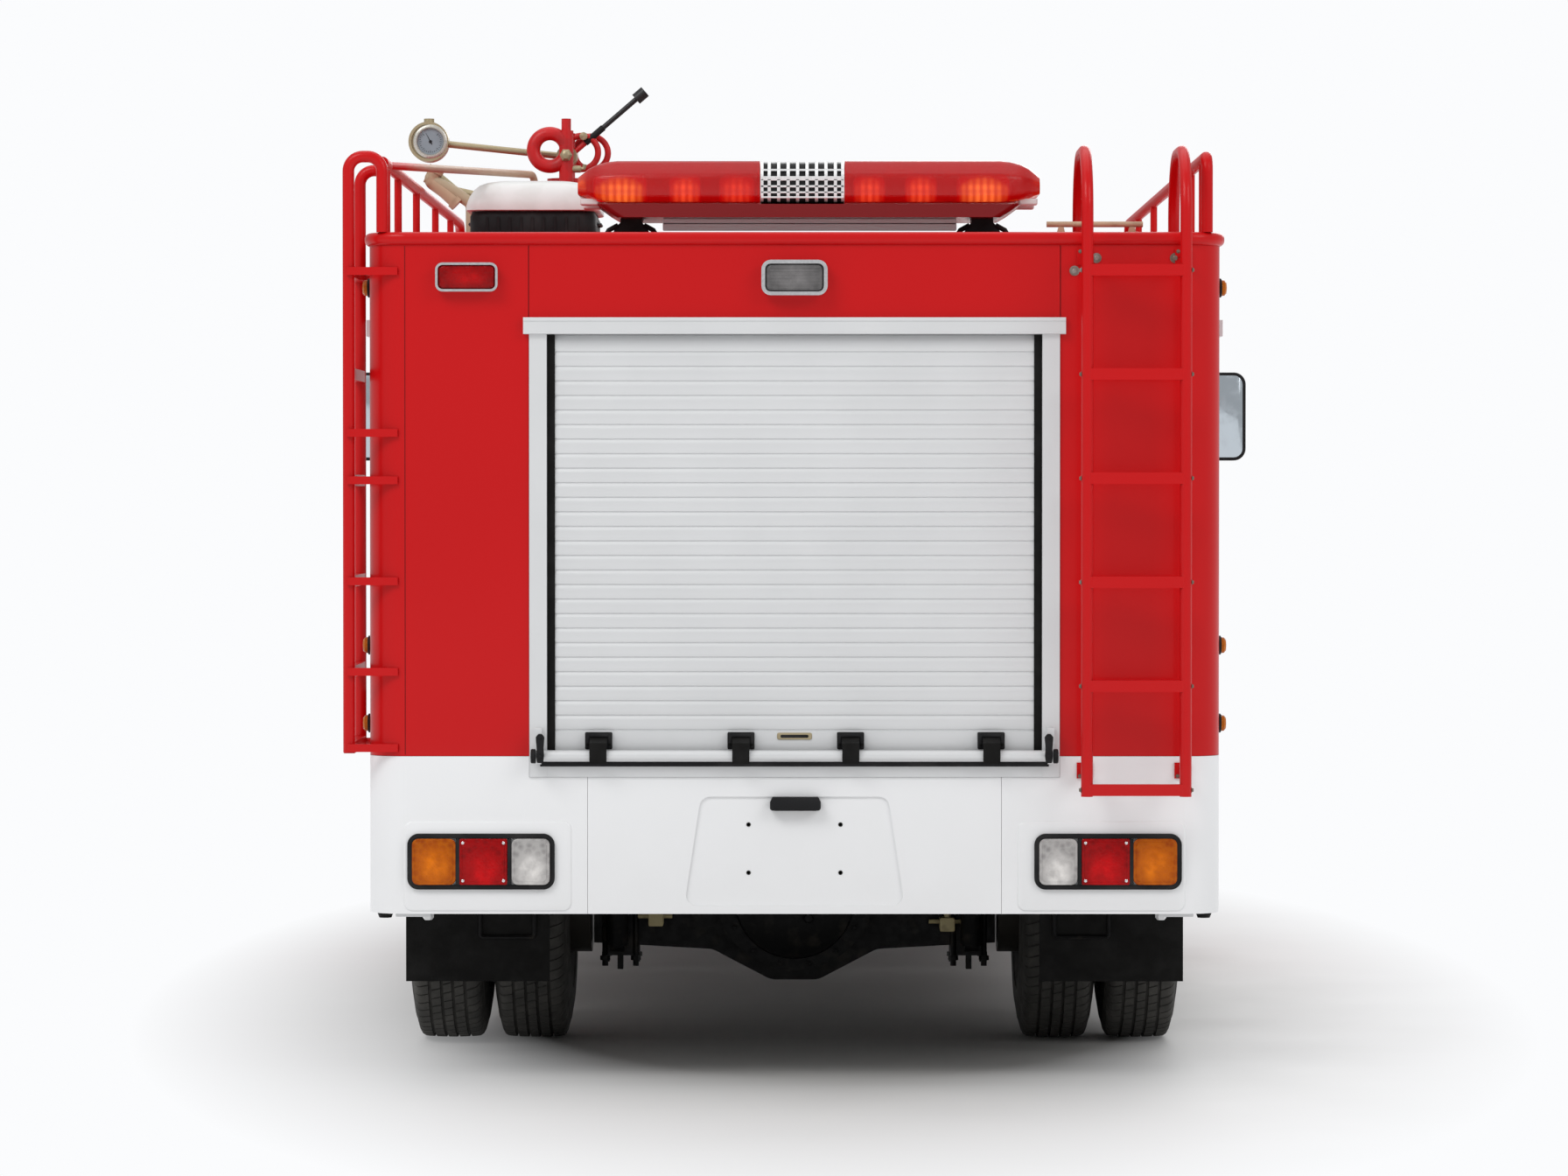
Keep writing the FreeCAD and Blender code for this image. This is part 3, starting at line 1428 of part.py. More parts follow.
def light_bar_base():
    """Tray, mounting rail and feet of the light bar."""
    y0 = ahead(bar_centre_ahead - bar_half_depth)
    y1 = ahead(bar_centre_ahead + bar_half_depth)
    middle = ahead(bar_centre_ahead)
    tray = front_prism(bar_outline(bar_base_z, bar_tray_top_z, bar_taper, bar_corner), [0] * 4, y0, y1)
    pieces = [tray]
    for x in bar_foot_x:
        pieces.append(box(x - bar_foot_half, x + bar_foot_half, middle - bar_foot_half_depth,
                          middle + bar_foot_half_depth, roof_top_z, bar_base_z))
    rail = box(bar_centre_x - bar_rail_half - bar_foot_half * 2, bar_centre_x + bar_rail_half + bar_foot_half * 2,
               middle - bar_rail_half_depth, middle + bar_rail_half_depth, roof_top_z,
               roof_top_z + bar_rail_height)
    return joined(pieces + [rail])


def light_bar_lens():
    """Two red domes with slanted ends and the grille housing between them."""
    y0 = ahead(bar_centre_ahead - bar_half_depth)
    y1 = ahead(bar_centre_ahead + bar_half_depth)
    low = bar_tray_top_z
    middle = low + (bar_top_z - low) / 2
    left = bar_centre_x - bar_half
    right = bar_centre_x + bar_half
    outline = [(left + bar_corner, low), (right - bar_corner, low), (right, middle),
               (right - bar_top_taper, bar_top_z), (left + bar_top_taper, bar_top_z), (left, middle)]
    lens = front_prism(outline, [0, 0, bar_corner, bar_corner, bar_corner, bar_corner], y0, y1)
    profile = [(bar_centre_ahead - bar_half_depth, low), (bar_centre_ahead + bar_half_depth, low),
               (bar_centre_ahead + bar_half_depth, bar_top_z), (bar_centre_ahead - bar_half_depth, bar_top_z)]
    round_ends = side_prism(profile, [0, 0, bar_corner * 2, bar_corner * 2], left, right)
    lens = lens.common(round_ends)
    gap = panel_gap / 2
    x0 = speaker_x - speaker_half
    x1 = speaker_x + speaker_half
    cuts = [box(x - gap, x + gap, y0 - overrun, y1 + overrun, low - overrun, bar_top_z + overrun)
            for x in (x0, x1)]
    return Part.makeCompound(less(lens, cuts).Solids)


def roof_box():
    """Storage box on the roof: dark tub and overhanging rounded lid."""
    x0, x1 = roof_box_x
    rear, front = roof_box_ahead
    lip = roof_box_lid_lip
    tub = plan_prism(rectangle(x0 + lip, x1 - lip, rear + lip, front - lip), [roof_box_corner - lip] * 4,
                     roof_top_z, roof_box_lid_z - seat_gap)
    lid = plan_prism(rectangle(x0, x1, rear, front), [roof_box_corner] * 4, roof_box_lid_z, roof_box_top_z)
    rims = [edge for edge in lid.Edges if edge.BoundBox.ZMin > roof_box_top_z - seat_gap]
    return Part.makeCompound([tub, lid.makeFillet(roof_box_lid_edge, rims)])


def monitor_base():
    """Fixed flange and riser of the monitor, and the pipe its nozzle parks over."""
    y = ahead(monitor_ahead)
    flange = rod(V(monitor_x, y, roof_top_z), V(monitor_x, y, roof_top_z + monitor_flange_thickness),
                 monitor_flange_radius)
    riser = rod(V(monitor_x, y, roof_top_z), V(monitor_x, y, monitor_swivel_z), monitor_riser_radius)
    points = []
    for x_share, z_share in zip(cradle_x_share, cradle_z_share):
        points.append(V(monitor_x * x_share, y, roof_top_z + (cradle_top_z - roof_top_z) * z_share))
    pipe = tube(points, cradle_radius, [cradle_bend] * (len(points) - 2))
    return Part.makeCompound([joined([flange, riser]), pipe])


def monitor_head():
    """Swivel with two yoke columns, a thick ring, a pair of thin rings and the steering lever."""
    y = ahead(monitor_ahead)
    reach = hub_length / 2 + yoke_gap + yoke_radius
    rear = y - reach
    front = y + reach
    low = V(monitor_x, y, monitor_swivel_z + seat_gap)
    pieces = [
        rod(low, low + V(0, 0, monitor_swivel_height), monitor_swivel_radius),
        rod(V(monitor_x, rear, low.z), V(monitor_x, rear, yoke_top_z), yoke_radius),
        rod(V(monitor_x, rear, low.z), V(monitor_x, rear, yoke_top_z + stub_height), stub_radius),
        rod(V(monitor_x, front, low.z), V(monitor_x, front, yoke_top_z), yoke_radius),
        rod(V(monitor_x, rear, monitor_axis_z), V(monitor_x, front, monitor_axis_z), trunnion_radius),
    ]
    ring_z = monitor_axis_z + ring_rise
    ring = V(monitor_x - ring_radius, rear, ring_z)
    pieces.append(Part.makeTorus(ring_radius, ring_tube_radius, ring, ALONG_Y))
    near = V(monitor_x + wheel_shift, front, ring_z)
    far = near + V(wheel_step, wheel_pitch, 0)
    rise = math.sqrt(wheel_radius ** 2 - wheel_step ** 2 / 4)
    for middle in (near, far):
        pieces.append(Part.makeTorus(wheel_radius, wheel_tube_radius, middle, ALONG_Y))
    for drop in (-rise, rise):
        start = near + V(wheel_step / 2, 0, drop)
        pieces.append(rod(start, start + V(0, wheel_pitch, 0), lever_radius))
    knob = V(monitor_x + lever_out, front, monitor_axis_z + lever_up)
    along = V(lever_out, 0, lever_up).normalize()
    pieces.append(rod(V(monitor_x, front, monitor_axis_z), knob, lever_radius))
    pieces.append(rod(knob, knob + along * lever_knob_length, lever_knob_radius))
    return joined(pieces)


def monitor_barrel():
    """Barrel on its cross pivot, with a round nozzle head at its end."""
    pivot = V(monitor_x, ahead(monitor_ahead), monitor_axis_z)
    rise = math.radians(barrel_rise_deg)
    along = V(-math.cos(rise), 0, math.sin(rise))
    tip = pivot + along * barrel_length
    block = rod(pivot - V(0, hub_length / 2, 0), pivot + V(0, hub_length / 2, 0), barrel_block)
    shank = rod(pivot, tip, barrel_radius)
    head = rod(tip - V(0, nozzle_depth / 2, 0), tip + V(0, nozzle_depth / 2, 0), nozzle_radius)
    cup = rod(tip - V(0, nozzle_depth, 0), tip - V(0, nozzle_depth / 2 - nozzle_rim, 0),
              nozzle_radius - nozzle_rim)
    cap = rod(tip, tip + V(0, 0, nozzle_radius + nozzle_cap_height), nozzle_cap_radius)
    bore = rod(pivot - V(0, hub_length, 0), pivot + V(0, hub_length, 0), trunnion_radius + seat_gap)
    return joined([block, shank, head.cut(cup), cap]).cut(bore)


# Cab


def cab_side_outline(inset):
    """Side outline of the cab, from the rear foot round over the roof."""
    points = [
        (cab_rear_ahead, cab_base_z), (cab_rear_ahead, cab_roof_z),
        (cab_screen_top_ahead, cab_roof_z), (cab_front_ahead, cab_screen_base_z),
        (cab_front_ahead, cab_base_z),
    ]
    radii = [cab_sill_radius, cab_rear_corner, cab_brow_radius, cab_cowl_radius, cab_sill_radius]
    face = rounded_face([V(0, ahead(place), z) for place, z in points], radii)
    return face if inset == 0 else Part.Face(face.makeOffset2D(-inset).OuterWire)


def cab_front_outline(inset):
    """Front outline of the cab with its leaning upper sides."""
    half = cab_half_width
    points = [
        (-half, cab_base_z), (half, cab_base_z), (half, cab_waist_z),
        (cab_roof_half_width, cab_roof_z), (-cab_roof_half_width, cab_roof_z), (-half, cab_waist_z),
    ]
    radii = [cab_sill_radius, cab_sill_radius, cab_waist_radius,
             cab_shoulder_radius, cab_shoulder_radius, cab_waist_radius]
    face = rounded_face([V(x, ahead(cab_rear_ahead), z) for x, z in points], radii)
    return face if inset == 0 else Part.Face(face.makeOffset2D(-inset).OuterWire)


def cab_plan_outline(inset):
    """Plan outline of the cab."""
    half = cab_half_width
    points = rectangle(-half, half, cab_rear_ahead, cab_front_ahead)
    radii = [cab_plan_rear_corner, cab_plan_rear_corner, cab_plan_front_corner, cab_plan_front_corner]
    face = rounded_face([V(x, ahead(place), cab_base_z) for x, place in points], radii)
    return face if inset == 0 else Part.Face(face.makeOffset2D(-inset).OuterWire)


def cab_volume(inset):
    """The cab's outer form, moved in all round by inset."""
    side = cab_side_outline(inset)
    side.translate(V(-cab_half_width - overrun, 0, 0))
    across = side.extrude(V(2 * (cab_half_width + overrun), 0, 0))
    front = cab_front_outline(inset)
    front.translate(V(0, -overrun, 0))
    along = front.extrude(V(0, cab_front_ahead - cab_rear_ahead + 2 * overrun, 0))
    plan = cab_plan_outline(inset)
    plan.translate(V(0, 0, -overrun))
    up = plan.extrude(V(0, 0, cab_roof_z - cab_base_z + 2 * overrun))
    right = box(0, cab_half_width + overrun, ahead(cab_rear_ahead - overrun),
                ahead(cab_front_ahead + overrun), cab_base_z - overrun, cab_roof_z + overrun)
    half = across.common(along).common(up).common(right)
    return joined([half, mirrored(half)])


def front_door_outline(inset):
    """Front door in side view, its front edge leaning with the screen pillar."""
    return [
        (front_door_rear_ahead + inset, door_base_z + inset),
        (front_door_front_ahead - inset, door_base_z + inset),
        (front_door_front_ahead - inset, front_door_knee_z),
        (front_door_top_ahead - inset, door_top_z - inset),
        (front_door_rear_ahead + inset, door_top_z - inset),
    ]


def rear_door_outline(inset):
    """Rear door in side view."""
    return rectangle(rear_door_rear_ahead + inset, rear_door_front_ahead - inset,
                     door_base_z + inset, door_top_z - inset)


def front_window_outline():
    """Front door window, kept inside the door by the window frame."""
    lean = (front_door_front_ahead - front_door_top_ahead) / (door_top_z - front_door_knee_z)
    low_front = front_door_front_ahead - (window_base_z - front_door_knee_z) * lean - window_frame
    high = door_top_z - window_frame
    high_front = front_door_front_ahead - (high - front_door_knee_z) * lean - window_frame
    rear = front_door_rear_ahead + window_frame
    return [(rear, window_base_z), (low_front, window_base_z), (high_front, high), (rear, high)]


def rear_window_outline():
    """Rear door window."""
    return rectangle(rear_door_rear_ahead + window_frame, rear_door_front_ahead - window_frame,
                     window_base_z, door_top_z - window_frame)


def outboard_prism(outline, corner):
    """An outline carried across the right side of the cab only."""
    radii = [corner] * len(outline)
    return side_prism(outline, radii, cab_roof_half_width / 2, cab_half_width + overrun)


def screen_prism(inset):
    """The windscreen's opening carried back from the front of the cab."""
    outline = [(-screen_base_half + inset, screen_base_z + inset),
               (screen_base_half - inset, screen_base_z + inset),
               (screen_top_half - inset, screen_top_z - inset),
               (-screen_top_half + inset, screen_top_z - inset)]
    return front_prism(outline, [screen_corner] * 4, ahead(front_door_top_ahead), ahead(cab_front_ahead + overrun))


def cab_skin(outer_inset, inner_inset):
    """A layer of the cab's wall between two insets."""
    return cab_volume(outer_inset).cut(cab_volume(inner_inset))


def hinge_barrels(front_edge, knee_z, radius, grow):
    """Barrels on a door's hinge line, at shares of the straight edge's height."""
    barrels = []
    y = ahead(front_edge - door_gap)
    for share in hinge_share:
        z = door_base_z + door_gap + (knee_z - door_base_z) * share
        barrels.append(rod(V(cab_half_width, y, z - grow), V(cab_half_width, y, z + hinge_height + grow), radius))
    return barrels


def hinges():
    """Hinge barrels of the right doors with the lugs that tie them to the pillars."""
    pieces = []
    for edge in (front_door_front_ahead, rear_door_front_ahead):
        for barrel in hinge_barrels(edge, front_door_knee_z, hinge_radius, 0):
            bounds = barrel.BoundBox
            lug = box(cab_half_width - hinge_lug, cab_half_width, ahead(edge - door_gap),
                      ahead(edge + hinge_radius), bounds.ZMin, bounds.ZMax)
            pieces.append(joined([barrel, lug]))
    return pieces


def cab_shell(wall):
    """Cab wall with door openings, hinges, windscreen opening and front wheel arches."""
    inside = cab_half_width - cab_wall
    under = box(-inside, inside, ahead(cab_rear_ahead + cab_wall), ahead(cab_front_ahead - cab_wall),
                cab_base_z - overrun, cab_floor_base_z)
    doors = [outboard_prism(front_door_outline(0), door_corner),
             outboard_prism(rear_door_outline(0), door_corner)]
    arch = arch_cutter(front_axle_ahead, arch_radius, -cab_half_width - overrun, cab_half_width + overrun)
    notch_half = rail_outer_x + chassis_notch_gap
    notch = box(-notch_half, notch_half, ahead(cab_rear_ahead - overrun), ahead(cab_rear_ahead + cab_wall + overrun),
                cab_base_z - overrun, rail_base_z + rail_height + chassis_notch_gap)
    cutters = [under.common(cab_volume(0)), arch, notch, screen_prism(0)]
    for door_prism in doors:
        cutters += [door_prism, mirrored(door_prism)]
    pieces = hinges()
    return joined([less(wall, cutters)] + pieces + [mirrored(piece) for piece in pieces])


def cab_floor():
    """Cab floor with the raised hump over the engine."""
    inner = cab_volume(cab_wall)
    slab_zone = box(-cab_half_width, cab_half_width, ahead(cab_rear_ahead), ahead(cab_front_ahead),
                    cab_floor_base_z, cab_floor_top_z)
    slab = inner.common(slab_zone)
    rear = ahead(hump_rear_ahead)
    front = ahead(hump_front_ahead)
    hump = box(-hump_half_width, hump_half_width, rear, front, cab_floor_base_z, hump_top_z)
    hollow = box(-hump_half_width + hump_wall, hump_half_width - hump_wall, rear + hump_wall,
                 front - hump_wall, cab_floor_base_z - overrun, hump_top_z - hump_wall)
    return joined([slab, hump]).cut(hollow)


def windscreen():
    """Curved pane set into the windscreen opening."""
    return cab_skin(glass_recess, glass_recess + glass_thickness).common(screen_prism(seat_gap))


def door(wall, outline, window):
    """Right door: a piece of the cab's wall with its window cut and a pull handle."""
    leaf = wall.common(outboard_prism(outline(door_gap), door_corner - door_gap))
    leaf = leaf.cut(outboard_prism(window(), window_corner))
    edge = outline(0)[1][0]
    leaf = less(leaf, hinge_barrels(edge, front_door_knee_z, hinge_radius + seat_gap, seat_gap))
    rear = outline(door_gap)[0][0] + handle_inset
    grip = box(cab_half_width - cab_wall / 2, cab_half_width + handle_proud, ahead(rear),
               ahead(rear + handle_length), handle_z, handle_z + handle_height)
    reach = box(0, cab_half_width + handle_proud - handle_grip, ahead(rear + handle_grip),
                ahead(rear + handle_length - handle_grip), handle_z - overrun, handle_z + handle_height + overrun)
    handle = grip.cut(reach.cut(box(0, cab_half_width - cab_wall / 2, ahead(cab_rear_ahead),
                                    ahead(cab_front_ahead), 0, cab_roof_z)))
    return joined([leaf, handle])


def door_glass(window):
    """Pane of one right door."""
    return cab_skin(glass_recess, glass_recess + glass_thickness).common(
        outboard_prism(window(), window_corner))


def cushion(x0, x1, rear, front, low, high):
    """A soft block with rounded corners in plan."""
    return plan_prism(rectangle(x0, x1, rear, front), [cushion_corner] * 4, low, high)


def seat(centre_x, half, rear):
    """A seat: pedestal, cushion and leaning backrest."""
    x0 = centre_x - half
    x1 = centre_x + half
    low = cushion_top_z - cushion_height
    pad = cushion(x0, x1, rear, rear + cushion_depth, low, cushion_top_z)
    base = box(x0 + pedestal_inset, x1 - pedestal_inset, ahead(rear + pedestal_inset),
               ahead(rear + cushion_depth - pedestal_inset), cab_floor_top_z, low)
    lean = backrest_thickness * backrest_top_share
    outline = [(rear, low), (rear + backrest_thickness, low),
               (rear + lean, cushion_top_z + backrest_height), (rear, cushion_top_z + backrest_height)]
    back = side_prism(outline, [0, 0, cushion_corner / 2, cushion_corner / 2], x0, x1)
    return joined([pad, base, back])


def seats():
    """Two front seats and the rear bench."""
    front = seat(front_seat_x, seat_width / 2, front_seat_rear_ahead)
    bench = seat(0, rear_bench_half, rear_seat_rear_ahead)
    return Part.makeCompound([front, mirrored(front), bench])


def dashboard():
    """Dashboard across the cab, with the steering column and wheel."""
    outline = [(dash_rear_ahead, dash_base_z), (dash_front_ahead, cab_floor_top_z),
               (dash_front_ahead, dash_top_z), (dash_rear_ahead, dash_top_z)]
    panel = side_prism(outline, [dash_corner, 0, dash_corner, dash_corner], -dash_half, dash_half)
    tilt = math.radians(steering_tilt_deg)
    axis = V(0, -math.sin(tilt), math.cos(tilt))
    centre = V(steering_x, ahead(steering_ahead), steering_z)
    ring = Part.makeTorus(steering_radius, steering_grip, centre, axis)
    column = rod(centre - axis * steering_column_length, centre, steering_column_radius)
    hub = rod(centre - axis * steering_grip, centre + axis * steering_grip, steering_hub_radius)
    spokes = [rod(centre + V(-steering_radius, 0, 0), centre + V(steering_radius, 0, 0), steering_grip / 2)]
    return joined([panel, ring, column, hub] + spokes)


def front_bumper():
    """Bumper across the front with rounded ends."""
    outline = rectangle(-bumper_half, bumper_half, cab_front_ahead, rear_to_bumper)
    bar = plan_prism(outline, [0, 0, bumper_corner, bumper_corner], bumper_base_z, bumper_top_z)
    face = [edge for edge in bar.Edges if edge.BoundBox.ZLength < seat_gap
            and edge.BoundBox.YMax > ahead(cab_front_ahead + bumper_edge)]
    return bar.makeFillet(bumper_edge, face)


def front_grille():
    """Grille frame with horizontal slats on a backing panel."""
    y0 = ahead(cab_front_ahead)
    y1 = y0 + grille_proud
    frame = face_block(-grille_half, grille_half, grille_base_z, grille_top_z, grille_frame, y0, y1)
    low = grille_base_z + grille_frame
    high = grille_top_z - grille_frame
    pitch = (high - low) / grille_slats
    cutters = []
    for index in range(grille_slats):
        z = low + pitch * index
        cutters.append(box(-grille_half + grille_frame, grille_half - grille_frame, y0 + grille_proud / 2,
                           y1 + overrun, z, z + pitch * grille_slat_share))
    return less(frame, cutters)


def headlamps():
    """Rectangular headlamps beside the grille."""
    lamp = face_block(headlamp_inner_x, headlamp_outer_x, headlamp_base_z, headlamp_top_z,
                      headlamp_corner, ahead(cab_front_ahead), ahead(cab_front_ahead + headlamp_proud))
    return pair(lamp)


def mirror():
    """Right mirror head on two bent arms from the front edge of the door."""
    head = face_block(mirror_inner_x, mirror_outer_x, mirror_base_z, mirror_top_z, mirror_corner,
                      ahead(mirror_ahead), ahead(mirror_ahead + mirror_thickness))
    pieces = [head]
    post_y = ahead(mirror_ahead + mirror_thickness / 2)
    root_y = ahead(mirror_root_ahead)
    post_x = mirror_inner_x + mirror_corner
    root_x = cab_half_width - cab_wall / 2
    path = [V(root_x, root_y, mirror_root_z[0]), V(post_x - mirror_arm_bend, post_y, mirror_arm_z[1]),
            V(post_x, post_y, mirror_arm_z[1] - mirror_arm_bend), V(post_x, post_y, mirror_arm_z[0])]
    pieces.append(tube(path, mirror_arm_radius, [mirror_arm_bend, mirror_arm_bend / 2]))
    brace = [V(root_x, root_y, mirror_root_z[1]), V(post_x, post_y, mirror_base_z + mirror_corner)]
    pieces.append(rod(brace[0], brace[1], mirror_arm_radius))
    pad_x = cab_half_width
    for z in mirror_root_z:
        pieces.append(box(root_x, pad_x + mirror_arm_radius, root_y - mirror_corner, root_y + mirror_corner,
                          z - mirror_corner, z + mirror_corner))
    keep_out = box(0, pad_x, root_y - overrun * 2, root_y + overrun * 2, 0, cab_roof_z)
    return joined(pieces).cut(keep_out)


# Write every node


def build():
    """Make all nodes of the vehicle."""
    export(chassis_rails(), "chassis_rails")
    export(cross_members(), "cross_members")
    export(front_axle(), "front_axle")
    export(rear_axle(), "rear_axle")
    export(leaf_springs(), "leaf_springs")
    export(engine_block(), "engine_block")
    export(propeller_shaft(), "propeller_shaft")
    export(fuel_tank(), "fuel_tank")
    export(mud_flaps(), "mud_flaps")
    export(side_panels(), "side_panels")
    export(rear_panels(), "rear_panels")
    export(body_roof(), "body_roof")
    export(body_floor(), "body_floor")
    lower = [lower_corners(), side_skirts(), rear_apron()]
    export(Part.makeCompound([solid for piece in lower for solid in piece.Solids]), "lower_panels")
    export(rear_shutter(), "rear_shutter")
    export(side_shutters(), "side_shutters")
    export(shutter_frames(), "shutter_frames")
    export(lift_bar(), "lift_bar")
    export(shutter_buckles(), "shutter_buckles")
    export(tail_lamps(), "tail_lamps")
    export(tail_lenses(), "tail_lenses")
    lamps = upper_lamps().Solids + side_lamps().Solids
    export(Part.makeCompound(lamps), "marker_lamps")
    export(rear_ladder(), "rear_ladder")
    export(side_ladder(), "side_ladder")
    export(roof_rails(), "roof_rails")
    export(light_bar_base(), "light_bar_base")
    export(light_bar_lens(), "light_bar_lens")
    export(roof_box(), "roof_box")
    export(monitor_base(), "monitor_base")
    export(monitor_head(), "monitor_head")
    export(monitor_barrel(), "monitor_barrel")
    wall = cab_skin(0, cab_wall)
    export(cab_shell(wall), "cab_shell")
    export(cab_floor(), "cab_floor")
    export(windscreen(), "windscreen")
    export(dashboard(), "dashboard")
    export(seats(), "seats")
    export(front_bumper(), "front_bumper")
    export(front_grille(), "front_grille")
    export(headlamps(), "headlamps")
    handed = {
        "door_front": door(wall, front_door_outline, front_window_outline),
        "door_rear": door(wall, rear_door_outline, rear_window_outline),
        "glass_front": door_glass(front_window_outline),
        "glass_rear": door_glass(rear_window_outline),
        "knuckle": knuckle(),
        "mirror": mirror(),
    }
    handed["rim_rear"], handed["tyres_rear"] = rear_wheel()
    handed["rim_front"], handed["tyre_front"] = front_wheel()
    for name, shape in handed.items():
        export(shape, name + "_right")
        export(mirrored(shape), name + "_left")


os.makedirs("parts", exist_ok=True)
build()
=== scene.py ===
"""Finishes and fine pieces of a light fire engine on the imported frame, with its studio. Metres, +Y ahead."""

import json
import math

import bmesh
import bpy
from mathutils import Matrix, Vector


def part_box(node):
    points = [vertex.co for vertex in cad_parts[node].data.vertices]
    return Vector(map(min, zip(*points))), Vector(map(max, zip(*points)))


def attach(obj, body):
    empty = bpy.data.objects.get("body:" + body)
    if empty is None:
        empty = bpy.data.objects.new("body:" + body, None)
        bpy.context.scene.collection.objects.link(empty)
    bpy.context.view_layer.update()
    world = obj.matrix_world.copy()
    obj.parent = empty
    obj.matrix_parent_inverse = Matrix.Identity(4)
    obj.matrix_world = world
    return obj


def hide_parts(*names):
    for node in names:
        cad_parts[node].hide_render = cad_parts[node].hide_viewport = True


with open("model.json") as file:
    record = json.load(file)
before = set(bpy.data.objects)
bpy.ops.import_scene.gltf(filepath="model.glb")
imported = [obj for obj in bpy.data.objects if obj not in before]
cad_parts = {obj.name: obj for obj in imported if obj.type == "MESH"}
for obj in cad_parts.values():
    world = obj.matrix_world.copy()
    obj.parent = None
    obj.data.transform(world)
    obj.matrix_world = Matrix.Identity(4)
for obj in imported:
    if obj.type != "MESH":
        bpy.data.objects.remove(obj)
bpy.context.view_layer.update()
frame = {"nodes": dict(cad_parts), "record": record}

# Photograph
photo_width = 1792
photo_height = 1344
pixels_per_metre = 501.0  # at the rear face
vanishing_x = 908.0
horizon_y = 560.0
camera_distance = 12.5  # behind the rear face
camera_height = 1.362
sensor_width = 36.0
rear_face_y = -2.7395
studio_white = (0.965, 0.972, 0.985)

# Vehicle
sides = ((1, "right"), (-1, "left"))
body_half_width = 0.975
red_base_z = 0.754
red_top_z = 1.920
roof_z = 1.950
front_axle_ahead = 4.500
rear_axle_ahead = 1.150
tyre_radius = 0.370
front_tyre_x = 0.795
rear_tyre_x = (0.848, 0.643)
arch_radius = 0.436
opening_half_width = 0.590


def ahead(place):
    """The Y of a place measured ahead of the rear face."""
    return rear_face_y + place


# Materials

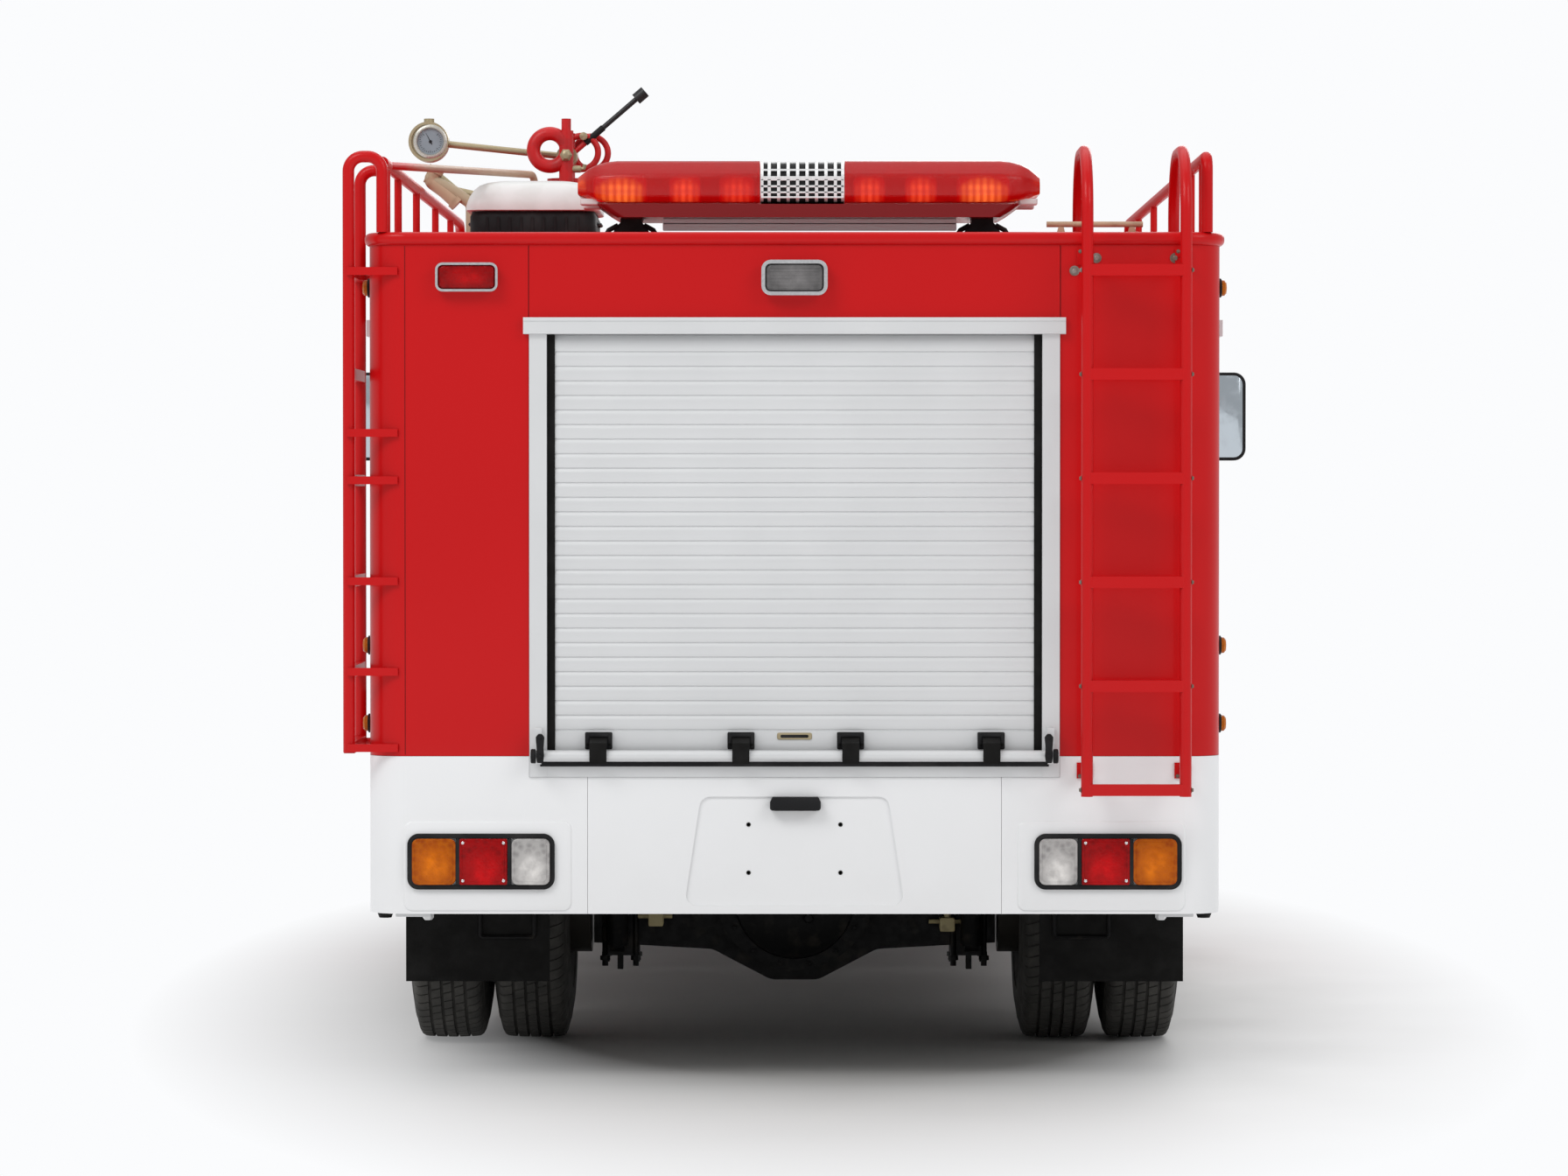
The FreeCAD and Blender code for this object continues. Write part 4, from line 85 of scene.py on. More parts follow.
class Finish:
    """A procedural material: a Principled shader and the nodes that vary it over the surface."""

    def __init__(self, name, **sockets):
        self.material = bpy.data.materials.new(name)
        self.material.use_nodes = True
        self.tree = self.material.node_tree
        self.shader = self.tree.nodes["Principled BSDF"]
        self.place = self.node("ShaderNodeTexCoord").outputs["Object"]
        for label, value in sockets.items():
            self.feed(self.shader.inputs[label.replace("_", " ")], value)

    def node(self, kind, **settings):
        made = self.tree.nodes.new(kind)
        for key, value in settings.items():
            setattr(made, key, value)
        return made

    def feed(self, socket, value):
        """Links an output to a socket, or sets the socket to a plain value."""
        if isinstance(value, bpy.types.NodeSocket):
            self.tree.links.new(value, socket)
        elif isinstance(value, tuple) and len(value) == 3 and socket.type == "RGBA":
            socket.default_value = (*value, 1.0)
        else:
            socket.default_value = value

    def stretched(self, stretch):
        mapping = self.node("ShaderNodeMapping")
        self.feed(mapping.inputs["Vector"], self.place)
        mapping.inputs["Scale"].default_value = stretch
        return mapping.outputs["Vector"]

    def noise(self, scale, detail=3.0, stretch=None):
        made = self.node("ShaderNodeTexNoise")
        self.feed(made.inputs["Vector"], self.stretched(stretch) if stretch else self.place)
        made.inputs["Scale"].default_value = scale
        made.inputs["Detail"].default_value = detail
        return made.outputs["Fac"]

    def cells(self, scale, stretch=None):
        made = self.node("ShaderNodeTexVoronoi")
        self.feed(made.inputs["Vector"], self.stretched(stretch) if stretch else self.place)
        made.inputs["Scale"].default_value = scale
        return made.outputs["Distance"]

    def waves(self, scale, direction, distortion=0.0):
        made = self.node("ShaderNodeTexWave", bands_direction=direction)
        self.feed(made.inputs["Vector"], self.place)
        made.inputs["Scale"].default_value = scale
        made.inputs["Distortion"].default_value = distortion
        return made.outputs["Fac"]

    def axis(self, index):
        made = self.node("ShaderNodeSeparateXYZ")
        self.feed(made.inputs[0], self.place)
        return made.outputs[index]

    def spread(self, value, low, high, to_low, to_high):
        """value moved from the range low to high to another one, and held there."""
        made = self.node("ShaderNodeMapRange")
        self.feed(made.inputs["Value"], value)
        for label, number in zip(("From Min", "From Max", "To Min", "To Max"), (low, high, to_low, to_high)):
            made.inputs[label].default_value = number
        return made.outputs["Result"]

    def maths(self, operation, first, second=0.0):
        made = self.node("ShaderNodeMath", operation=operation)
        self.feed(made.inputs[0], first)
        self.feed(made.inputs[1], second)
        return made.outputs[0]

    def blend(self, share, first, second):
        """Two colours mixed by share."""
        made = self.node("ShaderNodeMix", data_type="RGBA")
        self.feed(made.inputs[0], share)
        self.feed(made.inputs[6], first)
        self.feed(made.inputs[7], second)
        return made.outputs[2]

    def patches(self, scale, detail, low, high):
        """Noise sharpened into patches that run from 0 to 1."""
        return self.spread(self.noise(scale, detail), low, high, 0.0, 1.0)

    def away(self, across, centre, reach):
        """Squared distance from a centre, as a share of a reach across and up."""
        across = self.maths("DIVIDE", self.maths("SUBTRACT", across, centre[0]), reach[0])
        up = self.maths("DIVIDE", self.maths("SUBTRACT", self.axis(2), centre[1]), reach[1])
        return self.maths("ADD", self.maths("MULTIPLY", across, across), self.maths("MULTIPLY", up, up))

    def colour(self, value):
        self.feed(self.shader.inputs["Base Color"], value)

    def roughness(self, noise, low, high, start=0.3, end=0.7):
        """Roughness from low to high as a noise goes from start to end."""
        self.feed(self.shader.inputs["Roughness"], self.spread(noise, start, end, low, high))

    def glow(self, colour, strength):
        self.feed(self.shader.inputs["Emission Color"], colour)
        self.feed(self.shader.inputs["Emission Strength"], strength)

    def bump(self, height, distance, strength=1.0):
        """Relief of a height, on top of any relief made before."""
        made = self.node("ShaderNodeBump")
        made.inputs["Strength"].default_value = strength
        made.inputs["Distance"].default_value = distance
        self.feed(made.inputs["Height"], height)
        normal = self.shader.inputs["Normal"]
        if normal.is_linked:
            self.feed(made.inputs["Normal"], normal.links[0].from_socket)
        self.feed(normal, made.outputs["Normal"])


coach_red = ((0.57, 0.0030, 0.0045), (0.51, 0.0022, 0.0035))  # plain and deep
wheel_silver = ((0.50, 0.51, 0.52), (0.40, 0.405, 0.41))
even_grain = (40.0, 40.0, 40.0)
thread_scale = 420.0
flash_strength = 4.2
flash_edge = (0.105, 0.0008, 0.0008)


def paint(name, colour, deep, roughness=0.34, coat=0.12, specular=0.18):
    """Coach paint: slow changes of shade, fine orange peel, smears and a little road dust low down."""
    made = Finish(name, Coat_Weight=coat, Coat_Roughness=0.08, Specular_IOR_Level=specular)
    shade = made.blend(made.noise(1.3, 2.0), colour, deep)
    dust = made.maths("MULTIPLY", made.spread(made.axis(2), 0.35, 0.80, 0.10, 0.0), made.noise(7.0, 6.0))
    made.colour(made.blend(dust, shade, (0.30, 0.27, 0.23)))
    made.roughness(made.noise(2.2, 2.0), roughness - 0.015, roughness + 0.02)
    made.bump(made.noise(420.0, 1.0), 0.00008)
    return made.material


def moulded(name, colour, worn, roughness=0.55, grain=900.0, depth=0.0003, coat=0.0, specular=0.3):
    """Moulded plastic or rubber: fine leather grain and paler scuffed patches."""
    made = Finish(name, Coat_Weight=coat, Specular_IOR_Level=specular)
    made.colour(made.blend(made.patches(14.0, 6.0, 0.45, 0.75), colour, worn))
    made.roughness(made.noise(35.0, 4.0), roughness - 0.08, roughness + 0.1)
    made.bump(made.cells(grain), depth, 0.5)
    return made.material


def brushed(name, colour, dull, metallic=1.0, roughness=0.3, stretch=(2.0, 300.0, 300.0)):
    """Drawn or brushed metal: long fine streaks and a dull bloom."""
    made = Finish(name, Metallic=metallic)
    streak = made.noise(4.0, 4.0, stretch)
    made.colour(made.blend(made.noise(5.0, 5.0), colour, dull))
    made.roughness(streak, roughness - 0.07, roughness + 0.12)
    made.bump(streak, 0.00008, 0.6)
    return made.material


def cast(name, colour, worn, metallic=0.0, roughness=0.42, coarse=160.0, depth=0.0009, specular=0.3):
    """Sand-cast or road-worn metal under paint: pitted relief, dust and chipped patches."""
    made = Finish(name, Metallic=metallic, Specular_IOR_Level=specular)
    patch = made.patches(22.0, 8.0, 0.52, 0.7)
    made.colour(made.blend(patch, colour, worn))
    made.roughness(made.noise(60.0, 4.0), roughness - 0.08, roughness + 0.16)
    made.bump(made.noise(coarse, 5.0), depth, 0.55)
    made.bump(made.noise(coarse * 5.0, 2.0), depth / 4, 0.4)
    return made.material


def lens(name, colour, pitch, depth=0.0012, roughness=0.12, transmission=0.8, glow=0.0):
    """Moulded lamp glass with a grid of prisms on its inner face."""
    made = Finish(name, Transmission_Weight=transmission, IOR=1.49, Roughness=roughness, Specular_IOR_Level=0.12)
    made.colour(made.blend(made.noise(30.0, 3.0), colour, tuple(part * 0.8 for part in colour)))
    across = made.waves(1.0 / pitch, "X")
    upright = made.waves(1.0 / pitch, "Z")
    made.bump(made.maths("MULTIPLY", across, upright), depth, 0.8)
    if glow:
        made.glow(colour, glow)
    return made.material


def signal_lens(name, colour, deep, centre, reach):
    """Lamp glass over a bulb: bright about its centre, deep at the rim, with small blown dimples."""
    made = Finish(name, Transmission_Weight=0.25, IOR=1.49, Roughness=0.22, Specular_IOR_Level=0.06)
    away = made.away(made.maths("ABSOLUTE", made.axis(0)), centre, reach)
    bright = made.maths("MULTIPLY", made.spread(away, 0.0, 1.0, 1.0, 0.0),
                        made.spread(made.noise(45.0, 3.0), 0.3, 0.7, 0.5, 1.0))
    dimples = made.spread(made.cells(75.0), 0.1, 0.7, 0.0, 0.45)
    shade = made.blend(made.maths("MAXIMUM", bright, dimples), deep, colour)
    made.colour(shade)
    made.glow(shade, made.spread(bright, 0.0, 1.0, 0.05, 0.30))
    made.bump(made.cells(190.0), 0.0009, 0.7)
    return made.material


def flash(name, core, centre, reach):
    """A flash lamp seen through ribbed glass: soft upright streaks that fade into the dome's red."""
    made = Finish(name, Roughness=0.5, Specular_IOR_Level=0.05)
    near = made.spread(made.away(made.axis(0), centre, reach), 0.0, 1.0, 1.0, 0.0)
    streaks = made.spread(made.waves(19.0, "X", 0.6), 0.0, 1.0, 0.35, 1.0)
    rows = made.spread(made.waves(17.0, "Z", 0.4), 0.0, 1.0, 0.65, 1.0)
    power = made.maths("MULTIPLY", near, made.maths("MULTIPLY", streaks, rows))
    made.colour((0.30, 0.004, 0.004))
    made.glow(made.blend(power, flash_edge, core), flash_strength)
    return made.material


def glass(name, colour):
    """Window glass with faint dust streaks."""
    made = Finish(name, Transmission_Weight=0.95, IOR=1.45, Specular_IOR_Level=0.4)
    made.colour(made.blend(made.noise(1.2, 2.0), colour, tuple(part * 0.95 for part in colour)))
    made.roughness(made.noise(2.0, 2.0), 0.02, 0.032, 0.4, 0.8)
    return made.material


def rubber(name, colour, dusty, roughness=0.8, flecks=500.0, specular=0.2):
    """Tyre or mat rubber with a bloom of dust and fine flecks."""
    made = Finish(name, Specular_IOR_Level=specular)
    made.colour(made.blend(made.patches(18.0, 7.0, 0.42, 0.8), colour, dusty))
    made.roughness(made.noise(50.0, 3.0), roughness - 0.1, roughness + 0.08)
    made.bump(made.noise(flecks, 3.0), 0.0006, 0.5)
    return made.material


def woven(name, colour, thread):
    """Seat cloth: two crossing thread waves, mottled."""
    made = Finish(name, Sheen_Weight=0.35, Sheen_Roughness=0.5, Roughness=0.88)
    weave = made.maths("MULTIPLY", made.waves(thread_scale, "X", 0.4), made.waves(thread_scale, "Z", 0.4))
    made.colour(made.blend(made.maths("MULTIPLY", weave, made.noise(40.0, 3.0)), colour, thread))
    made.bump(weave, 0.0005, 0.7)
    return made.material


def tread_plate(name, colour, dull):
    """Deck panel with a raised lozenge pattern."""
    made = Finish(name, Metallic=0.6)
    made.colour(made.blend(made.noise(6.0, 6.0), colour, dull))
    made.roughness(made.noise(20.0, 4.0), 0.35, 0.55)
    made.bump(made.spread(made.cells(38.0, (1.0, 0.45, 1.0)), 0.1, 0.25, 1.0, 0.0), 0.0012, 0.8)
    return made.material


def two_tone(name, colour, worn, other, split, low, high):
    """Cast metal under paint whose colour changes along a direction, as where a bare grip or pipe begins."""
    made = Finish(name, Roughness=0.4, Specular_IOR_Level=0.4)
    parts = [made.maths("MULTIPLY", made.axis(index), share) for index, share in enumerate(split)]
    along = made.maths("ADD", made.maths("ADD", parts[0], parts[1]), parts[2])
    shade = made.blend(made.patches(30.0, 6.0, 0.5, 0.75), colour, worn)
    made.colour(made.blend(made.spread(along, low, high, 0.0, 1.0), shade, other))
    made.bump(made.noise(190.0, 4.0), 0.0006, 0.5)
    return made.material


def rear_rim():
    """Wheel silver on the outer rim; the inner rim and drum between the tyres are painted near-black, mottled in
    brown: painted shade between the tyres.
    """
    made = Finish("rear_wheel_silver", Roughness=0.42, Specular_IOR_Level=0.3)
    outward = made.spread(made.maths("ABSOLUTE", made.axis(0)), 0.655, 0.665, 0.0, 1.0)
    silver = made.blend(made.noise(5.0, 5.0), *wheel_silver)
    # Painted shade: inside the outer rim the wheel is painted near-black, mottled in brown.
    painted_shade = made.blend(made.noise(14.0, 5.0), (0.018, 0.017, 0.016), (0.04, 0.036, 0.03))
    made.colour(made.blend(outward, painted_shade, silver))
    made.bump(made.noise(300.0, 3.0), 0.0003, 0.4)
    return made.material


def rail_fade():
    """Coach red on the roof rails, painted tan towards the slanting handrail's far end."""
    made = Finish("rail_red_to_tan", Roughness=0.36, Specular_IOR_Level=0.2)
    shade = made.blend(made.noise(3.0, 2.0), *coach_red)
    tan = made.blend(made.noise(26.0, 4.0), (0.50, 0.33, 0.22), (0.40, 0.24, 0.16))
    # Tan over the red from x -0.855 to 0, fading out by x -0.905 and by x 0.1.
    bare = made.maths("MULTIPLY", made.spread(made.axis(0), -0.905, -0.855, 0.0, 1.0),
                      made.spread(made.axis(0), 0.0, 0.1, 1.0, 0.0))
    made.colour(made.blend(bare, shade, tan))
    made.bump(made.noise(300.0, 2.0), 0.0001, 0.4)
    return made.material


finishes = {
    "red_paint": paint("coach_red", *coach_red),
    "white_paint": paint("coach_white", (0.865, 0.868, 0.874), (0.84, 0.843, 0.85), 0.34, 0.2),
    "seam_red": paint("seam_shadow_red", (0.22, 0.002, 0.003), (0.16, 0.002, 0.003), 0.6, 0.0),
    "tray_red": paint("tray_dark_red", (0.27, 0.010, 0.012), (0.17, 0.008, 0.010), 0.22, 0.2, specular=0.1),
    "monitor_red": two_tone("monitor_cast_red", (0.56, 0.006, 0.008), (0.38, 0.008, 0.010), (0.014, 0.014, 0.015),
                            (0.758, 0.0, 0.652), 1.1065, 1.1085),
    "pipe_red": two_tone("monitor_foot_red", (0.56, 0.006, 0.008), (0.38, 0.008, 0.010), (0.46, 0.36, 0.24),
                         (-1.0, 0.0, 0.0), 0.700, 0.702),
    "rear_rim": rear_rim(),
    "card_grey": moulded("card_grey", (0.17, 0.17, 0.175), (0.24, 0.24, 0.24), 0.6, 500.0),
    "dial_face": lens("dial_grey", (0.30, 0.34, 0.38), 0.03, 0.00005, 0.2, 0.0),
    "valve_yellow": cast("valve_yellow", (0.50, 0.42, 0.22), (0.25, 0.2, 0.12)),
    "grille_silver": brushed("grille_silver", (0.86, 0.86, 0.86), (0.74, 0.74, 0.74), 0.4, 0.3, even_grain),
    "white_plastic": moulded("box_white", (0.76, 0.76, 0.75), (0.66, 0.66, 0.64), 0.38, 700.0, 0.00015, 0.2),
    "shutter_aluminium": brushed("slat_aluminium", (0.74, 0.745, 0.75), (0.66, 0.665, 0.67), 0.25, 0.36),
    "dark_steel": cast("chassis_black", (0.0065, 0.0065, 0.0065), (0.024, 0.021, 0.017), specular=0.12),
    "cast_engine": cast("engine_grey", (0.09, 0.09, 0.085), (0.03, 0.028, 0.025), 0.5),
    "wheel_steel": paint("wheel_silver", *wheel_silver, 0.34, 0.2),
    "tyre_rubber": rubber("tyre_black", (0.046, 0.0445, 0.041), (0.080, 0.076, 0.069)),
    "flap_rubber": rubber("flap_black", (0.0080, 0.0077, 0.0073), (0.016, 0.0155, 0.015), 0.6, 260.0, 0.08),
    "black_plastic": moulded("trim_black", (0.008, 0.008, 0.009), (0.024, 0.023, 0.023), specular=0.22),
    "lamp_lens": lens("lens_red", (0.46, 0.002, 0.004), 0.006, 0.0008, 0.14, 0.25),
    "clear_lens": lens("lens_clear", (0.66, 0.655, 0.64), 0.006, 0.0008, 0.14, 0.35),
    "window_glass": glass("cab_glass", (0.55, 0.63, 0.62)),
    "seat_cloth": woven("seat_grey", (0.045, 0.047, 0.052), (0.14, 0.145, 0.155)),
    "floor_panel": tread_plate("deck_plate", (0.42, 0.42, 0.41), (0.30, 0.30, 0.29)),
    # The amber glass glows: lamp light on the amber lamps, painted light on the skirt's reflectors.
    "amber_lens": lens("lens_amber", (0.74, 0.20, 0.006), 0.006, 0.0008, 0.14, 0.2),
    "bar_lens": lens("bar_dome_red", (0.66, 0.005, 0.006), 0.009, 0.0003, 0.12, 0.72, 0.07),
    "glow_panel": lens("bar_glow_red", (0.50, 0.004, 0.004), 0.010, 0.0003, 0.3, 0.0, 0.34),
    "chrome": brushed("bright_trim", (0.80, 0.80, 0.81), (0.70, 0.70, 0.71), 1.0, 0.14, even_grain),
    "reflector": brushed("lamp_bowl", (0.86, 0.86, 0.86), (0.75, 0.75, 0.75), 0.9, 0.2, even_grain),
    "tail_amber": signal_lens("tail_amber", (0.68, 0.185, 0.003), (0.37, 0.060, 0.001), (0.823, 0.505),
                              (0.050, 0.060)),
    "tail_red": signal_lens("tail_red", (0.56, 0.002, 0.004), (0.25, 0.001, 0.002), (0.708, 0.490), (0.052, 0.066)),
    "tail_clear": signal_lens("tail_clear", (0.72, 0.70, 0.68), (0.33, 0.315, 0.31), (0.600, 0.488), (0.045, 0.062)),
    "marker_red": signal_lens("marker_red", (0.46, 0.0015, 0.003), (0.22, 0.001, 0.002), (0.7465, 1.8465),
                              (0.060, 0.030)),
    "work_glass": signal_lens("work_glass", (0.22, 0.21, 0.21), (0.12, 0.115, 0.115), (0.0, 1.845), (0.070, 0.040)),
    "rail_fade": rail_fade(),
    "dial_rim": brushed("dial_rim", (0.60, 0.58, 0.53), (0.48, 0.46, 0.40), 0.6, 0.3, (50.0, 50.0, 50.0)),
    "worn_bolt": cast("worn_bolt", (0.20, 0.15, 0.12), (0.42, 0.40, 0.38), 0.4, 0.4, 300.0, 0.0005),
    "worn_tan": cast("worn_tan", (0.52, 0.36, 0.24), (0.38, 0.25, 0.16), 0.0, 0.45, 220.0, 0.0004),
    "mirror_glass": brushed("mirror_silver", (0.55, 0.60, 0.64), (0.50, 0.55, 0.60), 1.0, 0.08, (9.0, 9.0, 9.0)),
    "nozzle_brass": brushed("cast_brass", (0.50, 0.42, 0.27), (0.34, 0.28, 0.17), 0.65, 0.38, (60.0, 60.0, 60.0)),
}


def dress_nodes():
    """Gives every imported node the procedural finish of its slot."""
    slots = [entry["slot"] for entry in frame["record"]["materials"]]
    for node in frame["nodes"].values():
        for holder in node.material_slots:
            name = holder.material.name.split(".")[0] if holder.material else slots[0]
            holder.material = finishes[name if name in finishes else slots[0]]
    for node, name in (("monitor_head", "monitor_red"), ("monitor_base", "pipe_red"),
                       ("rim_rear_left", "rear_rim"), ("rim_rear_right", "rear_rim"), ("roof_rails", "rail_fade")):
        for holder in frame["nodes"][node].material_slots:
            holder.material = finishes[name]


# Mesh code

bend_steps = 5
dome_steps = 3


def lay(axis, u, v, w):
    """A point with w along the axis and u, v across it."""
    return {"x": (w, u, v), "y": (u, w, v), "z": (u, v, w)}[axis]


def circle(radius, steps):
    return [(radius * math.cos(math.tau * i / steps), radius * math.sin(math.tau * i / steps)) for i in range(steps)]


def rectangle(low_u, high_u, low_v, high_v):
    return [(low_u, low_v), (high_u, low_v), (high_u, high_v), (low_u, high_v)]


def rounded(outline, radius, steps=4):
    """A closed outline with its corners turned to arcs."""
    made = []
    count = len(outline)
    for i, corner in enumerate(outline):
        here = Vector(corner)
        back = Vector(outline[i - 1]) - here
        on = Vector(outline[(i + 1) % count]) - here
        half = back.angle(on) / 2
        reach = min(radius / math.tan(half), back.length / 2, on.length / 2)
        size = reach * math.tan(half)
        centre = here + (back.normalized() + on.normalized()).normalized() * size / math.sin(half)
        first = here + back.normalized() * reach - centre
        last = here + on.normalized() * reach - centre
        sweep = first.angle_signed(last)
        made += [tuple(centre + Matrix.Rotation(-sweep * k / steps, 2) @ first) for k in range(steps + 1)]
    return made


def placed(name, data):
    """A new object in the scene."""
    made = bpy.data.objects.new(name, data)
    bpy.context.scene.collection.objects.link(made)
    return made


def tile(low_u, high_u, low_v, high_v, radius, steps=4):
    """A rectangle with round corners."""
    return rounded(rectangle(low_u, high_u, low_v, high_v), radius, steps)


def rounded_route(points, radius):
    """An open route in space with its bends turned to arcs."""
    route = [Vector(points[0])]
    for before, here, after in zip(points, points[1:], points[2:]):
        here = Vector(here)
        back, on = Vector(before) - here, Vector(after) - here
        reach = min(radius / math.tan(back.angle(on) / 2), back.length / 2, on.length / 2)
        start, end = here + back.normalized() * reach, here + on.normalized() * reach
        for k in range(bend_steps + 1):
            share = k / bend_steps
            route.append((1 - share) ** 2 * start + 2 * share * (1 - share) * here + share ** 2 * end)
    return route + [Vector(points[-1])]


class Form:
    """The mesh of one piece in the row frame; mark is the index of the finish that new faces carry."""

    def __init__(self):
        self.points = []
        self.faces = []
        self.marks = []
        self.mark = 0

    def face(self, corners):
        self.faces.append(corners)
        self.marks.append(self.mark)

    def loft(self, rings, closed=False):
        """Skins rings of one count of points and fills both ends, or joins the last ring to the first if closed."""
        count, base = len(rings[0]), len(self.points)
        for ring in rings:
            self.points += [tuple(point) for point in ring]
        for i in range(len(rings) if closed else len(rings) - 1):
            low, high = base + i * count, base + (i + 1) % len(rings) * count
            for j in range(count):
                k = (j + 1) % count
                self.face((low + j, low + k, high + k, high + j))
        if not closed:
            self.face(tuple(range(base + count - 1, base - 1, -1)))
            self.face(tuple(range(base + (len(rings) - 1) * count, base + len(rings) * count)))
        return self

    def prism(self, outline, axis, low, high):
        return self.loft([[lay(axis, u, v, w) for u, v in outline] for w in (low, high)])

    def block(self, low, high):
        return self.prism(rectangle(low[0], high[0], low[1], high[1]), "z", low[2], high[2])

    def pad(self, outline, axis, low, high, inset):
        """A prism whose high face is domed: its edge curves in by inset over the last inset of height."""
        centre = sum((Vector(point) for point in outline), Vector((0, 0))) / len(outline)
        reach = max((Vector(point) - centre).length for point in outline)
        rings = [[lay(axis, u, v, low) for u, v in outline]]
        side = 1 if high > low else -1
        for k in range(dome_steps + 1):
            turn = math.pi / 2 * k / dome_steps
            shrink = 1 - inset * (1 - math.cos(turn)) / reach
            along = high - side * inset * (1 - math.sin(turn))
            rings.append([lay(axis, *(centre + (Vector(point) - centre) * shrink), along) for point in outline])
        return self.loft(rings)

    def turn(self, profile, centre, axis, steps=32):
        """A turned form: profile pairs are radius and place along the axis."""
        rings = []
        for radius, along in profile:
            ring = circle(max(radius, 0.00001), steps)
            rings.append([Vector(lay(axis, u, v, along)) + Vector(centre) for u, v in ring])
        return self.loft(rings)

    def disc(self, radius, start, end, centre, axis, steps):
        """A plain disc or boss."""
        return self.turn([(radius, start), (radius, end), (0.0, end)], centre, axis, steps)

    def pipe(self, route, radius, steps=10, closed=False):
        """A round bar along a route."""
        route = [Vector(point) for point in route]
        count = len(route)
        rings, across = [], None
        for i, here in enumerate(route):
            after = route[(i + 1) % count] if closed else route[min(i + 1, count - 1)]
            before = route[i - 1] if closed else route[max(i - 1, 0)]
            forward = (after - before).normalized()
            if across is None:
                across = forward.orthogonal().normalized()
            across = (across - forward * across.dot(forward)).normalized()
            up = forward.cross(across)
            rings.append([here + across * u + up * v for u, v in circle(radius, steps)])
        return self.loft(rings, closed=closed)

    def bolt(self, centre, axis, side, size=0.010):
        """A washer and a domed hexagon head that faces side along the axis."""
        washer = [(size, 0.0), (size, side * size * 0.15)]
        head = [(size * 0.72, side * size * 0.15), (size * 0.72, side * size * 0.6), (size * 0.5, side * size * 0.75)]
        self.turn(washer, centre, axis, 16)
        return self.turn(head, centre, axis, 6)

    def bolt_ring(self, centre, axis, side, radius, count, size, first=0.5):
        """Bolts evenly round a circle, the first a share of their spacing from its start."""
        for index in range(count):
            turn = math.tau * (index + first) / count
            offset = lay(axis, radius * math.cos(turn), radius * math.sin(turn), 0.0)
            self.bolt([start + part for start, part in zip(centre, offset)], axis, side, size)

    def mirror(self):
        """Adds the same form on the other side of the vehicle."""
        base = len(self.points)
        self.points += [(-x, y, z) for x, y, z in self.points]
        self.marks += self.marks
        self.faces += [tuple(base + index for index in reversed(corners)) for corners in self.faces]
        return self

    def piece(self, name, used, slot=None, body="root", nodes=(), bevel=0.0, smooth=38.0):
        """The object made of the form in the finishes it used, riding on a body; the slot argument is not used."""
        mesh = bpy.data.meshes.new(name)
        mesh.from_pydata(self.points, [], self.faces)
        for finish in used.split():
            mesh.materials.append(finishes[finish])
        mesh.polygons.foreach_set("material_index", self.marks)
        work = bmesh.new()
        work.from_mesh(mesh)
        bmesh.ops.recalc_face_normals(work, faces=work.faces)
        work.to_mesh(mesh)
        work.free()
        mesh.polygons.foreach_set("use_smooth", [True] * len(mesh.polygons))
        mesh.set_sharp_from_angle(angle=math.radians(smooth))
        made = placed(name, mesh)
        if bevel:
            edge = made.modifiers.new("edge", "BEVEL")
            edge.width = bevel
            edge.segments = 2
            edge.limit_method = "ANGLE"
            edge.angle_limit = math.radians(smooth)
            edge.harden_normals = True
        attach(made, body)
        if nodes:
            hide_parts(*nodes)
        return made


# Tyres

tread_pitches = 78
sipe_depth = 0.0045
half_tread = [  # out from the middle, radius, how far round its cuts are turned, cut by the sipes
    (0.0000, 0.3700, 0.00, True), (0.0100, 0.3699, 0.00, True), (0.0108, 0.3622, 0.10, False),
    (0.0168, 0.3622, 0.30, False), (0.0176, 0.3698, 0.35, True), (0.0285, 0.3695, 0.35, True),
    (0.0395, 0.3691, 0.35, True), (0.0403, 0.3620, 0.45, False), (0.0463, 0.3618, 0.60, False),
    (0.0471, 0.3686, 0.70, True), (0.0580, 0.3679, 0.70, True), (0.0680, 0.3666, 0.70, True),
    (0.0745, 0.3622, 0.70, True), (0.0790, 0.3540, 0.70, True), (0.0815, 0.3450, 0.70, False),
]
half_sidewall = [
    (0.0862, 0.3270), (0.0872, 0.3262), (0.0900, 0.3080), (0.0938, 0.2860), (0.0936, 0.2700), (0.0910, 0.2520),
    (0.0922, 0.2505), (0.0922, 0.2465), (0.0890, 0.2450), (0.0830, 0.2310), (0.0755, 0.2215), (0.0700, 0.2160),
    (0.0690, 0.2060),
]


def tyre_section():
    """The whole section from bead to bead, each point (out, radius, turn, cut)."""
    right = half_tread + [(out, radius, half_tread[-1][2], False) for out, radius in half_sidewall]
    left = [(-out, radius, -turn, cut) for out, radius, turn, cut in reversed(right[1:])]
    return left + right


def add_tyre(form, x, y):
    """A ribbed road tyre with slanted sipes round its tread."""
    pitch = math.tau / tread_pitches
    section = tyre_section()
    rings = []
    for step in range(tread_pitches):
        for share, cut in ((0.0, False), (0.84, False), (0.87, True), (0.97, True)):
            ring = []
            for out, radius, turn, cuttable in section:
                angle = pitch * (step + share + turn) + out * 0.9
                reach = radius - (sipe_depth if cut and cuttable else 0.0)
                ring.append((x + out, y + reach * math.sin(angle), tyre_radius + reach * math.cos(angle)))
            rings.append(ring)
    form.loft(rings, closed=True)


